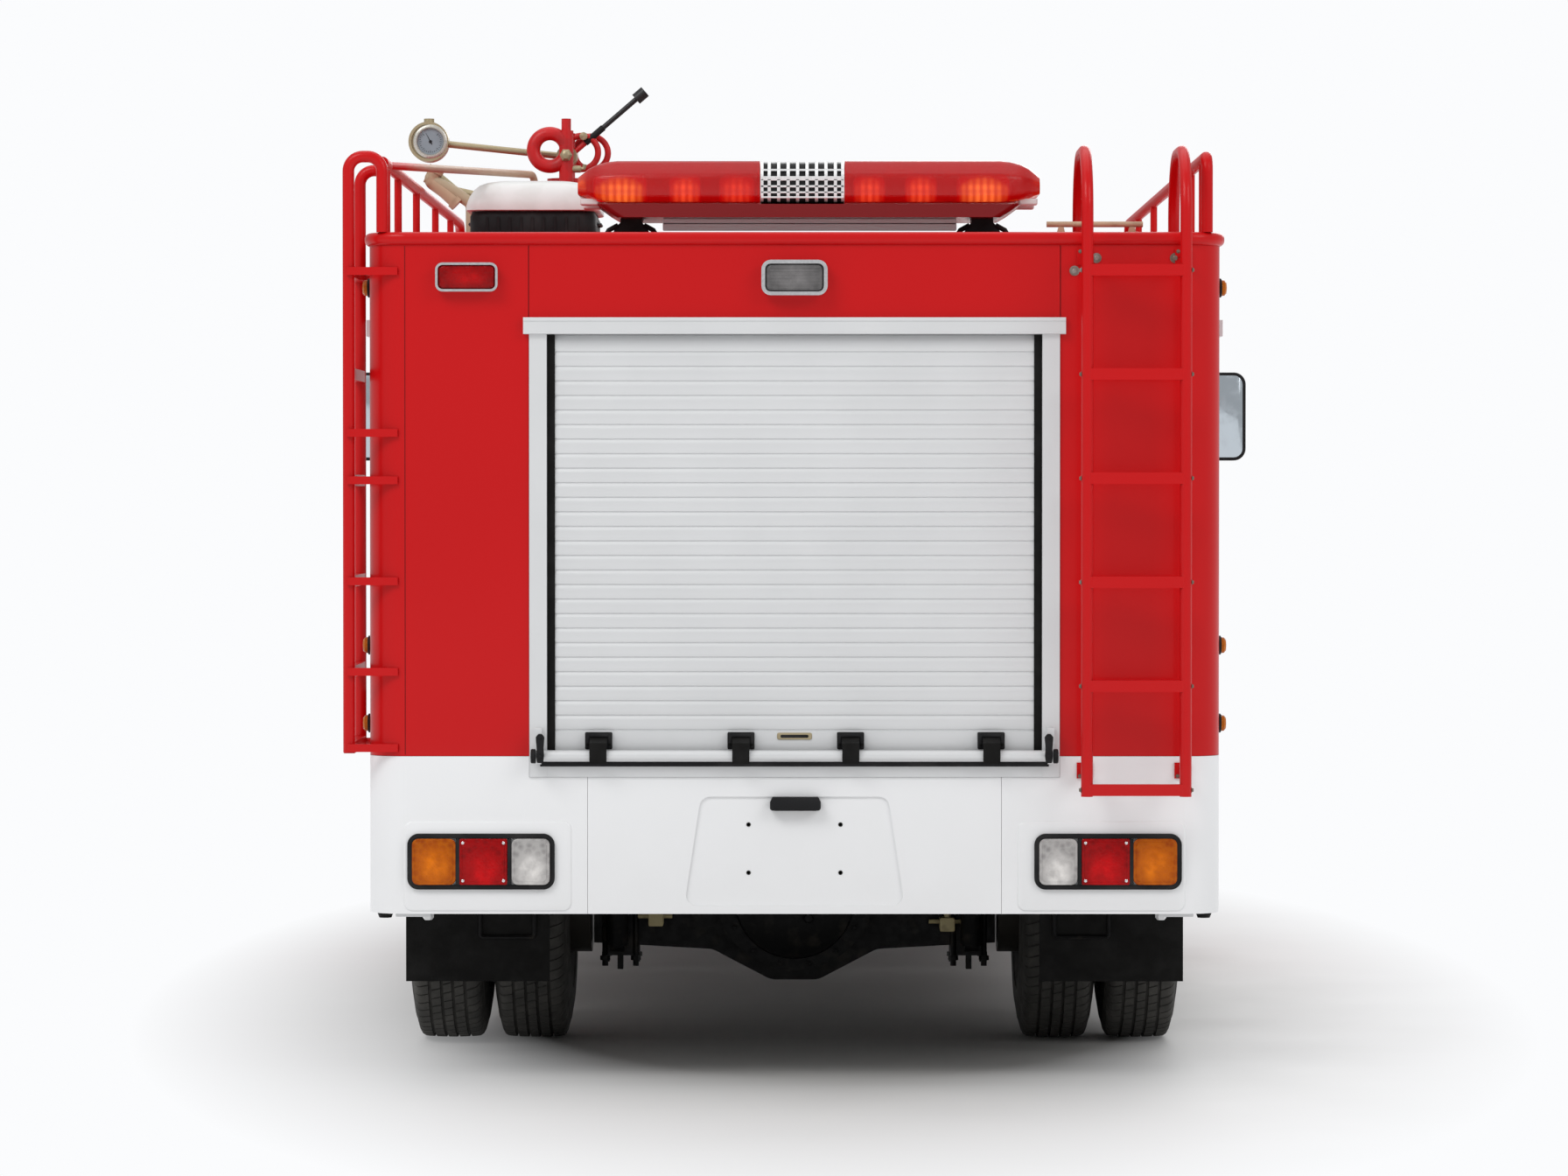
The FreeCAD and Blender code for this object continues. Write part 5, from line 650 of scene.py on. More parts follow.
def tyres():
    for side, word in sides:
        front = Form()
        add_tyre(front, side * front_tyre_x, ahead(front_axle_ahead))
        front.piece(f"road_tyre_front_{word}", "tyre_rubber", body=f"front_wheel_{word}",
                    nodes=[f"tyre_front_{word}"], smooth=28.0)
        rear = Form()
        for x in rear_tyre_x:
            add_tyre(rear, side * x, ahead(rear_axle_ahead))
        rear.piece(f"road_tyres_rear_{word}", "tyre_rubber", body=f"rear_wheel_{word}", nodes=[f"tyres_rear_{word}"],
                   smooth=28.0)


# Roller shutters

slat_pitch = 0.0332
slat_groove = 0.0036
slat_groove_depth = 0.0042
slat_crown = 0.0012
bottom_slat = 0.0794
slat_seal_width = 0.018


def curtain_outline(back, front, low, high):
    """Section of a curtain of crowned slats: depths from back to front, heights from low to high."""
    sign = 1 if front > back else -1
    outline = [(back, low), (front - sign * 0.001, low), (front, low + 0.002),
               (front, low + bottom_slat - 0.003)]
    z = low + bottom_slat
    while z < high - slat_pitch / 3:
        top = min(z + slat_pitch - slat_groove, high)
        outline += [(front - sign * slat_groove_depth, z), (front - sign * slat_groove_depth, z + slat_groove * 0.5),
                    (front - sign * slat_crown * 1.4, z + slat_groove * 0.8)]
        lip = z + slat_groove * 0.8
        for k in range(1, 6):
            share = k / 6
            rise = slat_crown * (1 - (2 * share - 1) ** 2)
            outline.append((front - sign * (slat_crown - rise), lip + (top - z - slat_groove * 0.8) * share))
        outline.append((front - sign * slat_crown * 1.4, top))
        z += slat_pitch
    return outline + [(back, high)]


def rear_curtain():
    """The rear roller curtain of crowned slats."""
    low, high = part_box("rear_shutter")
    curtain = Form().prism(curtain_outline(high.y, low.y, low.z, high.z), "x", low.x, high.x)
    curtain.piece("rear_curtain", "shutter_aluminium", nodes=["rear_shutter"])


def shutter_seals():
    """Black brushes beside the curtain, the rubber foot under the bar and the inset pull latch."""
    low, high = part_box("rear_shutter")
    form = Form()
    for side in (-1, 1):
        edge = side * high.x
        inner = edge - side * slat_seal_width
        x0, x1 = sorted((edge + side * 0.001, inner))
        form.prism(rounded([(x0, low.y - 0.004), (x1, low.y - 0.004), (x1, low.y + 0.001), (x0, low.y + 0.001)],
                           0.0015, 2), "z", low.z, high.z)
    foot_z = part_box("lift_bar")[0].z - 0.004
    form.prism(tile(low.y - 0.012, low.y + 0.002, foot_z - 0.012, foot_z, 0.004, 3), "x",
               low.x - 0.004, high.x + 0.004)
    form.piece("shutter_seals", "flap_rubber", smooth=50.0)
    latch = Form()
    half, z = 0.040, 0.7995
    plate = tile(-half, half, z - 0.008, z + 0.008, 0.0045)
    latch.pad(plate, "y", low.y + 0.002, low.y - 0.0025, 0.0015)
    latch.mark = 1
    slot = tile(-half + 0.008, half - 0.008, z - 0.0035, z + 0.0035, 0.003)
    latch.prism(slot, "y", low.y - 0.0021, low.y - 0.0028)
    latch.piece("shutter_latch", "nozzle_brass black_plastic")


# Lamps

tail_inner = 0.5583
lens_corner = 0.014
rim_mark = 3  # finishes of a framed lamp's rim and bowl
bowl_mark = 4


def tail_lenses():
    """Amber, red and clear lenses, stepped and screwed down, with bright reflectors behind them."""
    low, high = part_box("tail_lenses")
    depth = low.y
    form = Form()
    lenses = ((high.x, 0.7725), (0.7650, 0.6550), (0.6455, tail_inner))  # outer and inner edge of each
    for index, (right, left) in enumerate(lenses):
        form.mark = index
        corner = 0.004 if index == 1 else lens_corner
        plate = tile(left, right, low.z, high.z, corner, 4)
        form.pad(plate, "y", depth + 0.004, depth, 0.003)
        raised = tile(left + 0.007, right - 0.007, low.z + 0.007, high.z - 0.007, max(corner - 0.005, 0.003), 3)
        form.pad(raised, "y", depth, depth - 0.0016, 0.0016)
        form.mark = 3
        form.prism(tile(left + 0.0015, right - 0.0015, low.z + 0.0015, high.z - 0.0015, corner, 4),
                   "y", depth + 0.0085, depth + 0.0125)
        middle = ((left + right) / 2, depth + 0.0085, (low.z + high.z) / 2)
        form.turn([(0.034, 0.0), (0.030, -0.0006), (0.022, 0.0), (0.010, 0.0004), (0.0, 0.0006)], middle, "y", 24)
    form.mark = 4
    for (_, left), (right, _) in zip(lenses, lenses[1:]):
        x = (left + right) / 2
        form.prism(tile(x - 0.0042, x + 0.0042, low.z + 0.0005, high.z - 0.0005, 0.001, 2), "y",
                   depth + 0.012, depth + 0.0008)
    form.mirror()
    form.piece("tail_lens_set", "tail_amber tail_red tail_clear chrome black_plastic", "lamp_lens",
               nodes=["tail_lenses"])
    screws = Form()
    for x in (0.7565, 0.6635):
        for z in (low.z + 0.0095, high.z - 0.0095):
            screws.turn([(0.0034, 0.001), (0.0034, -0.0022), (0.002, -0.0030), (0.0, -0.0030)], (x, depth, z),
                        "y", 12)
    screws.mirror()
    screws.piece("tail_lens_screws", "chrome", "shutter_aluminium")


def framed_lamp(form, outline, radius, back, front, rim, glass_mark):
    """A lamp standing on the rear face: a rounded rim, a domed glass set in it and a bowl behind."""
    low_u, high_u, low_v, high_v = outline
    form.mark = rim_mark
    outer = tile(low_u, high_u, low_v, high_v, radius, 5)
    inner = tile(low_u + rim, high_u - rim, low_v + rim, high_v - rim, max(radius - rim, 0.003), 5)
    depth = front - back
    rings = [[lay("y", u, v, back) for u, v in outer], [lay("y", u, v, back + depth * 0.82) for u, v in outer],
             [lay("y", u * 0.94 + w * 0.06, v * 0.94 + q * 0.06, front) for (u, v), (w, q) in zip(outer, inner)],
             [lay("y", u * 0.25 + w * 0.75, v * 0.25 + q * 0.75, front) for (u, v), (w, q) in zip(outer, inner)],
             [lay("y", u, v, back + depth * 0.78) for u, v in inner],
             [lay("y", u, v, back + depth * 0.25) for u, v in inner]]
    form.loft(rings)
    form.mark = bowl_mark
    form.prism(inner, "y", back + depth * 0.25, back + depth * 0.3)
    form.mark = glass_mark
    form.pad(inner, "y", back + depth * 0.6, back + depth * 0.94, 0.006)


def upper_lamps():
    """Red marker and work lamp in bright rims, the plate lamp and the side markers."""
    face = ahead(0.0)
    form = Form()
    framed_lamp(form, (-0.818, -0.675, 1.813, 1.880), 0.017, face, face - 0.027, 0.008, 0)
    framed_lamp(form, (-0.076, 0.076, 1.804, 1.886), 0.022, face, face - 0.034, 0.012, 1)
    form.mark = 1
    for index in range(7):
        z = 1.8222 + index * 0.0076
        form.prism(tile(-0.058, 0.058, z - 0.0012, z + 0.0012, 0.001, 2), "y", face - 0.0335, face - 0.030)
    form.mark = 2
    plate = rounded([(-0.056, 0.631), (0.060, 0.631), (0.060, 0.650), (0.054, 0.662), (-0.050, 0.662),
                     (-0.056, 0.650)], 0.006, 3)
    form.pad(plate, "y", face + 0.005, face - 0.024, 0.005)
    form.mark = 1
    form.prism(tile(-0.046, 0.050, 0.6305, 0.634, 0.001, 2), "y", face - 0.021, face - 0.008)
    heights = [red_base_z + (red_top_z - red_base_z) * share for share in (0.061, 0.215, 0.92)]
    for side in (-1, 1):
        for z in heights:
            place = (side * body_half_width, ahead(0.122), z)
            form.mark = 2
            form.turn([(0.022, 0.0), (0.022, side * 0.006), (0.019, side * 0.008), (0.0, side * 0.008)], place,
                      "x", 24)
            form.mark = 5
            form.turn([(0.0185, side * 0.007), (0.018, side * 0.014), (0.013, side * 0.0185), (0.0, side * 0.0198)],
                      place, "x", 24)
    form.piece("body_lamp_set", "marker_red work_glass black_plastic chrome reflector amber_lens", "lamp_lens",
               nodes=["marker_lamps"])


# Light bar

bar_centre_x = 0.033
bar_half = 0.534
bar_middle_ahead = 0.272
bar_half_depth = 0.150
bar_tray_z = 2.022
bar_top_z = 2.121
bar_speaker = (-0.080, 0.116)
flash_z = 2.052
# middle, half width and colour at the core of each flash lamp
bar_flashes = ((-0.400, 0.060, (0.44, 1.0, 0.16)), (-0.252, 0.036, (0.34, 0.36, 0.10)),
               (-0.133, 0.040, (0.27, 0.20, 0.07)), (0.172, 0.036, (0.32, 0.30, 0.09)),
               (0.291, 0.036, (0.32, 0.34, 0.09)), (0.434, 0.060, (0.46, 1.0, 0.18)))


def bar_ring(x, shrink, inset=0.0):
    """One section across the bar's dome at x, drawn in by shrink at its ends."""
    half = (bar_half_depth - inset) * (1 - 0.35 * shrink)
    low = bar_tray_z + 0.004 + 0.020 * shrink
    high = bar_top_z - inset - 0.036 * shrink
    height = high - low
    shoulder = low + height * 0.62
    outline = rounded([(-half, low), (half, low), (half, shoulder), (half * 0.80, high), (-half * 0.80, high),
                       (-half, shoulder)], 0.020, 4)
    return [(x, ahead(bar_middle_ahead) + v, z) for v, z in outline]


def light_bar():
    """Red domes over glowing panels and a row of flash lamps, with white clips under the ends."""
    left, right = bar_centre_x - bar_half, bar_centre_x + bar_half
    form = Form()
    for start, end, side in ((left, bar_speaker[0], -1), (right, bar_speaker[1], 1)):
        dome = [(0.0, 1.0), (0.005, 0.90), (0.026, 0.46), (0.046, 0.22), (0.068, 0.07), (0.092, 0.0)]
        rings = [bar_ring(start - side * along, shrink) for along, shrink in dome]
        rings += [bar_ring(end - side * along, 0.0) for along in (-0.002, 0.0)]
        form.loft(rings)
    form.piece("bar_domes", "bar_lens", "lamp_lens", nodes=["light_bar_lens"])
    inside = Form()
    middle_y = ahead(bar_middle_ahead)
    for start, end in ((left + 0.05, bar_speaker[0] - 0.004), (bar_speaker[1] + 0.004, right - 0.05)):
        inside.block((start, middle_y - 0.100, bar_tray_z + 0.008), (end, middle_y + 0.100, bar_tray_z + 0.014))
        inside.block((start, middle_y - 0.004, bar_tray_z + 0.014), (end, middle_y + 0.004, bar_top_z - 0.020))
    inside.piece("bar_reflectors", "glow_panel", "lamp_lens")
    for index, (x, half, core) in enumerate(bar_flashes):
        glow = f"flash_glow_{index + 1}"
        finishes[glow] = flash(glow, core, (x, flash_z), (half, 0.031))
        bulbs = Form()
        for way in (-1, 1):
            y = middle_y + way * 0.116
            outline = tile(x - half, x + half, flash_z - 0.025, flash_z + 0.029, 0.010, 4)
            bulbs.pad(outline, "y", y - way * 0.004, y, 0.003)
        bulbs.piece(f"bar_flash_{index + 1}", glow, "clear_lens")
    tips = Form()
    for end_x, side in ((left, -1), (right, 1)):
        x0, x1 = sorted((end_x - side * 0.006, end_x - side * 0.050))
        for way in (-1, 1):
            y = middle_y + way * 0.092
            tips.pad(tile(x0, x1, y - 0.022, y + 0.022, 0.006, 3), "z", bar_tray_z + 0.012, bar_tray_z - 0.002, 0.004)
    tips.piece("bar_end_clips", "white_plastic")


def light_bar_siren():
    """The centre block: upright and level silver bars over a dark core."""
    low_x, high_x = bar_speaker
    middle_y = ahead(bar_middle_ahead)
    form = Form()
    form.mark = 1
    form.loft([bar_ring(x, 0.0, 0.006) for x in (low_x + 0.002, high_x - 0.002)])
    form.mark = 0
    count = 9
    pitch = (high_x - low_x) / count
    for index in range(count + 1):
        x = min(max(low_x + index * pitch, low_x + 0.005), high_x - 0.005)
        form.loft([bar_ring(x - 0.0036, 0.0, 0.0012), bar_ring(x + 0.0036, 0.0, 0.0012)])
    bars = ((2.0356, 0.146, 0.0022), (2.0470, 0.146, 0.0022), (2.0608, 0.146, 0.0026), (2.0790, 0.146, 0.0050),
            (2.0990, 0.1335, 0.0024))  # height, depth from the middle, half thickness
    for way in (-1, 1):
        for z, reach, half in bars:
            y = middle_y + way * reach
            form.prism(tile(y - 0.0028, y + 0.0028, z - half, z + half, 0.001, 2), "x",
                       low_x + 0.003, high_x - 0.003)
    top = tile(middle_y - 0.105, middle_y + 0.105, bar_top_z - 0.0065, bar_top_z - 0.0015, 0.002, 2)
    form.prism(top, "x", low_x + 0.002, high_x - 0.002)
    form.piece("bar_siren", "grille_silver black_plastic", "shutter_aluminium", smooth=30.0)


# Cab

cab_half_width = 0.930
cab_waist_z = 1.180
cab_top_half_width = 0.874
cab_top_z = 2.060
cab_side_lean = (cab_half_width - cab_top_half_width) / (cab_top_z - cab_waist_z)
screen_base = (5.520, 1.235)
screen_top = (5.150, cab_top_z)
gasket_radius = 0.0065
front_window = [(4.368, 1.290), (5.167, 1.290), (4.961, 1.847), (4.368, 1.847)]
rear_window = [(3.408, 1.290), (4.112, 1.290), (4.112, 1.847), (3.408, 1.847)]
screen_outline = [(-0.800, 1.300), (0.800, 1.300), (0.735, 1.925), (-0.735, 1.925)]
window_corner = 0.055
screen_corner = 0.090


def side_x(z):
    """Half width of the cab's outside at a height."""
    return cab_half_width - max(0.0, z - cab_waist_z) * cab_side_lean


def screen_y(z, proud=0.0):
    """Y of the windscreen's slope at a height."""
    slope = (screen_base[0] - screen_top[0]) / (screen_top[1] - screen_base[1])
    return ahead(screen_base[0] - (z - screen_base[1]) * slope) + proud


def gaskets():
    """Rubber round the door windows and the windscreen."""
    for name, outline in (("front", front_window), ("rear", rear_window)):
        for side, word in sides:
            form = Form()
            loop = [(side * (side_x(z) - gasket_radius), ahead(place), z) for place, z in
                    rounded(outline, window_corner, 6)]
            form.pipe(loop, gasket_radius, 8, closed=True)
            form.piece(f"window_gasket_{name}_{word}", "flap_rubber", body=f"{name}_door_{word}")
    loop = []
    for x, z in rounded(screen_outline, screen_corner, 8):
        bend = max(0.0, abs(x) - 0.760)
        loop.append((x, screen_y(z, -0.012) - bend * bend / (2 * 0.170), z))
    Form().pipe(loop, 0.011, 8, closed=True).piece("screen_gasket", "flap_rubber")


def wipers():
    """Two parked wipers on the scuttle."""
    form = Form()
    for pivot_x, tip_x in ((-0.44, 0.16), (0.14, 0.70)):
        base_z = 1.285
        pivot = Vector((pivot_x, screen_y(base_z, -0.002), base_z))
        tip = Vector((tip_x, screen_y(1.360, 0.010), 1.360))
        form.turn([(0.016, -0.012), (0.016, 0.010), (0.010, 0.016), (0.0, 0.016)], pivot, "y", 16)
        form.pipe([pivot + Vector((0, 0.012, 0)), pivot.lerp(tip, 0.2) + Vector((0, 0.026, 0)),
                   pivot.lerp(tip, 0.7) + Vector((0, 0.020, 0))], 0.0055, 8)
        start, end = pivot.lerp(tip, 0.28), pivot.lerp(tip, 1.16)
        form.pipe([start + Vector((0, 0.008, 0)), start.lerp(end, 0.5) + Vector((0, 0.009, 0)),
                   end + Vector((0, 0.008, 0))], 0.0065, 6)
    form.piece("wipers", "black_plastic")


def headlamps():
    """Bright bowls with bulbs behind fluted glass, an amber turn lamp at the outer end."""
    low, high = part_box("headlamps")
    back, front = low.y, high.y
    form = Form()
    framed_lamp(form, (0.500, 0.690, low.z, high.z), 0.034, back, front, 0.010, 0)
    framed_lamp(form, (0.692, 0.755, low.z, high.z), 0.022, back, front, 0.008, 1)
    form.mark = 4
    form.turn([(0.070, 0.012), (0.055, 0.005), (0.020, 0.004), (0.0, 0.004)], (0.595, back, 0.885), "y", 32)
    form.mark = 2
    form.turn([(0.012, 0.004), (0.014, 0.012), (0.0, 0.015)], (0.595, back, 0.885), "y", 16)
    form.mirror()
    form.piece("headlamp_set", "clear_lens amber_lens clear_lens chrome reflector", nodes=["headlamps"])


def mirror_glasses():
    for side, word in sides:
        low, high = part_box(f"mirror_{word}")
        outer = high.x if side > 0 else low.x
        inner = outer - side * 0.178
        x0, x1 = sorted((outer - side * 0.010, inner + side * 0.010))
        back = ahead(5.000)
        form = Form()
        form.pad(tile(x0, x1, 1.466, 1.727, 0.028, 5), "y", back + 0.004, back - 0.0012, 0.001)
        form.piece(f"mirror_glass_{word}", "mirror_glass", "window_glass", f"front_door_{word}")


# Seats

pad_slack = 0.016
pad_corner = 0.040
pad_cuts = 26
pad_pressure = 4.0
pad_frames = 20
pad_travel = 0.024
pad_bolsters = (-0.64, 0.64)


def stuffing(name, low, high):
    """A closed block with rounded edges, a little smaller than the pad it swells into."""
    middle = (Vector(low) + Vector(high)) / 2
    half = (Vector(high) - Vector(low)) / 2 - Vector((pad_slack, pad_slack, pad_slack))
    work = bmesh.new()
    bmesh.ops.create_cube(work, size=2.0)
    bmesh.ops.subdivide_edges(work, edges=work.edges, cuts=pad_cuts, use_grid_fill=True)
    for vertex in work.verts:
        full = Vector([vertex.co[i] * half[i] for i in range(3)])
        core = Vector([max(-half[i] + pad_corner, min(half[i] - pad_corner, full[i])) for i in range(3)])
        out = full - core
        vertex.co = middle + core + (out.normalized() * pad_corner if out.length > 1e-6 else out)
    mesh = bpy.data.meshes.new(name)
    work.to_mesh(mesh)
    work.free()
    return placed(name, mesh)


def settled(made):
    """Puts what the object's modifiers make of it in place of its mesh."""
    graph = bpy.context.evaluated_depsgraph_get()
    mesh = bpy.data.meshes.new_from_object(made.evaluated_get(graph))
    made.modifiers.clear()
    made.data = mesh


def swell(made, voxel):
    """Cloth blown up from inside, with no point moved further than the cap, then one subdivision."""
    skin = made.modifiers.new("skin", "REMESH")
    skin.mode = "VOXEL"
    skin.voxel_size = voxel
    settled(made)
    start = [vertex.co.copy() for vertex in made.data.vertices]
    cover = made.modifiers.new("cover", "CLOTH")
    cover.settings.use_pressure = True
    cover.settings.uniform_pressure_force = pad_pressure
    cover.settings.effector_weights.gravity = 0.0
    cover.settings.quality = 4
    cover.collision_settings.use_collision = False
    cover.point_cache.frame_start = 1
    cover.point_cache.frame_end = pad_frames
    for frame_number in range(1, pad_frames + 1):
        bpy.context.scene.frame_set(frame_number)
    settled(made)
    bpy.context.scene.frame_set(1)
    for vertex, first in zip(made.data.vertices, start):
        travel = vertex.co - first
        if travel.length > pad_travel:
            vertex.co = first + travel.normalized() * pad_travel
    finer = made.modifiers.new("finer", "SUBSURF")
    finer.levels = finer.render_levels = 1
    settled(made)


def sewn(name, low, high, way, channels, voxel):
    """A stuffed pad: swollen cloth, crowned towards way, with its channels stitched down afterwards."""
    made = stuffing(name, low, high)
    swell(made, voxel)
    mesh = made.data
    middle = (Vector(low) + Vector(high)) / 2
    half = (Vector(high) - Vector(low)) / 2
    top = {"z": 2, "y": 1}[way]
    rise = 1 if top == 2 else 2
    for vertex in mesh.vertices:
        spot = [(vertex.co[i] - middle[i]) / half[i] for i in range(3)]
        facing = max(0.0, min(1.0, spot[top]))
        across, along = max(-1.0, min(1.0, spot[0])), max(-1.0, min(1.0, spot[rise]))
        drop = 0.0
        for share in channels:
            drop += 0.013 * math.exp(-((along - share) * half[rise] / 0.010) ** 2) * (1 - across ** 8)
        for share in pad_bolsters:
            drop += 0.010 * math.exp(-((across - share) * half[0] / 0.011) ** 2) * (1 - along ** 8)
        vertex.co[top] -= drop * facing
        for i in range(3):
            vertex.co[i] = max(low[i], min(high[i], vertex.co[i]))
    mesh.materials.clear()
    mesh.materials.append(finishes["seat_cloth"])
    mesh.polygons.foreach_set("use_smooth", [True] * len(mesh.polygons))
    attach(made, "root")
    return made


def seats():
    """Two front seats and the bench: sewn pads on dark pedestals."""
    bases = Form()
    for name, x, half, rear in (("seat_right", 0.592, 0.228, 4.300), ("seat_left", -0.592, 0.228, 4.300),
                                ("bench", 0.0, 0.820, 3.250)):
        voxel = 0.010 if half < 0.5 else 0.014
        sewn(f"{name}_cushion", (x - half, ahead(rear + 0.070), 1.060),
                         (x + half, ahead(rear + 0.480), 1.190), "z", (-0.45, 0.0, 0.45), voxel)
        sewn(f"{name}_back", (x - half, ahead(rear), 1.075), (x + half, ahead(rear + 0.110), 1.750),
                         "y", (-0.5, -0.15, 0.2, 0.55), voxel)
        inset = 0.040
        bases.block((x - half + inset, ahead(rear + inset), 0.830), (x + half - inset, ahead(rear + 0.440), 1.058))
        for edge in (-1, 1):
            bases.pipe([(x + edge * (half - 0.03), ahead(rear + along), 0.842) for along in (0.06, 0.45)], 0.012, 8)
    bases.piece("seat_bases", "black_plastic", bevel=0.006)
    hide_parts("seats")


# Ladders, plates and small fastenings

def ladder_bolts():
    """Bolts of the wall brackets and rung ends of the rear ladder, and three washers of the panel above it."""
    rail_x = (0.662, 0.885)
    form = Form()
    rung_low, rung_high, count = 0.683, 1.859, 6
    for z in (0.722, 1.893):
        for x in rail_x:
            for step in (-0.011, 0.011):
                form.bolt((x + step, ahead(-0.005), z + 0.0125 * (1 if z > 1 else -1)), "y", -1, 0.0045)
    for index in range(count):
        z = rung_low + (rung_high - rung_low) * index / (count - 1)
        for x, side in zip(rail_x, (-1, 1)):
            form.bolt((x + side * 0.0133, ahead(-0.1075), z), "x", side, 0.0065)
    for x, z in ((0.688, 1.8905), (0.867, 1.8905), (0.638, 1.8615)):
        form.disc(0.0115, 0.0, -0.0022, (x, ahead(0.0), z), "y", 20)
        form.bolt((x, ahead(0.0) - 0.0020, z), "y", -1, 0.0085)
    form.piece("ladder_bolts", "worn_bolt", "cast_engine")


def plate_bolts():
    """Grey rims of the four plate holes."""
    form = Form()
    for x in (-0.105, 0.105):
        for z in (0.488, 0.598):
            form.turn([(0.0052, 0.0), (0.0052, -0.0010), (0.0040, -0.0014), (0.0036, -0.0004), (0.0036, 0.0)],
                      (x, ahead(0.005), z), "y", 20)
    form.piece("plate_hole_rims", "cast_engine")


# Roof equipment

def roof_box():
    """Storage box: ribbed dark tub with a grip bar at each side, white lid with soft shoulders."""
    low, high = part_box("roof_box")
    seam = 2.034
    form = Form()

    def ring(inset, z):
        outline = tile(low.x + inset, high.x - inset, low.y + inset, high.y - inset, 0.046, 8)
        return [(x, y, z) for x, y in outline]

    form.mark = 1
    form.loft([ring(0.012, low.z), ring(0.009, low.z + 0.006), ring(0.009, seam - 0.012), ring(0.013, seam - 0.004),
               ring(0.013, seam)])
    form.mark = 0
    shoulder = [(0.003, 0.000), (0.0, 0.002), (0.0, 0.012), (0.003, 0.024), (0.009, 0.038), (0.018, 0.052),
                (0.030, 0.063), (0.046, 0.070), (0.070, 0.0750), (0.100, 0.076)]
    form.loft([ring(inset, seam + rise) for inset, rise in shoulder])
    form.mark = 1
    for index in range(9):
        x = low.x + 0.052 + index * (high.x - low.x - 0.104) / 8
        form.prism(tile(x - 0.003, x + 0.003, low.z + 0.010, seam - 0.014, 0.002, 3), "y",
                   low.y + 0.0065, low.y + 0.0095)
    for side, x in ((-1, low.x + 0.0095), (1, high.x - 0.0095)):
        out, z = x + side * 0.007, seam - 0.026
        route = [(x, low.y + 0.13, z), (out, low.y + 0.15, z), (out, high.y - 0.15, z), (x, high.y - 0.13, z)]
        form.pipe(rounded_route(route, 0.006), 0.004, 8)
    form.piece("roof_box_shell", "white_plastic black_plastic", nodes=["roof_box"])


def bar_tray():
    """Dark red tray of the light bar, its bright under-rail and the black clamp feet."""
    low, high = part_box("light_bar_base")
    left, right = bar_centre_x - bar_half, bar_centre_x + bar_half
    form = Form()
    sections = []
    for inset, z in ((0.092, 1.990), (0.070, 2.003), (0.046, bar_tray_z - 0.0015)):
        outline = tile(left + inset, right - inset, low.y + 0.006, high.y - 0.006, 0.022, 5)
        sections.append([(x, y, z) for x, y in outline])
    form.loft(sections)
    middle = ahead(bar_middle_ahead)
    form.mark = 1
    form.prism(tile(-0.305, 0.375, 1.962, 1.980, 0.003, 3), "y", middle - 0.075, middle - 0.070)
    form.prism(tile(-0.305, 0.375, 1.977, 1.9895, 0.003, 3), "y", middle - 0.075, middle - 0.045)
    form.mark = 2
    for x in (-0.379, 0.436):
        foot = rounded([(x - 0.045, 1.9505), (x + 0.045, 1.9505), (x + 0.036, 1.972), (x + 0.025, 1.982),
                        (x + 0.025, 2.0025), (x - 0.025, 2.0025), (x - 0.025, 1.982), (x - 0.036, 1.972)], 0.004, 3)
        form.prism(foot, "y", middle - 0.052, middle + 0.052)
        for side in (-1, 1):
            form.pipe([(x + side * 0.030, middle - 0.050, 1.976), (x + side * 0.052, middle - 0.052, 1.964),
                       (x + side * 0.058, middle - 0.052, 1.9525)], 0.006, 8)
            form.bolt((x + side * 0.030, middle, 1.9585), "z", 1, 0.007)
    form.prism(rectangle(-0.46, 0.50, 1.9502, 1.960), "y", middle - 0.025, middle + 0.025)
    form.piece("bar_tray", "tray_red shutter_aluminium black_plastic", "black_plastic", nodes=["light_bar_base"],
               bevel=0.0008)


# Monitor

monitor_centre = (-0.572, ahead(1.300), 2.200)
monitor_reach = 0.349  # along the barrel, from its pivot to the nozzle's dial
monitor_rise = 6.0  # degrees


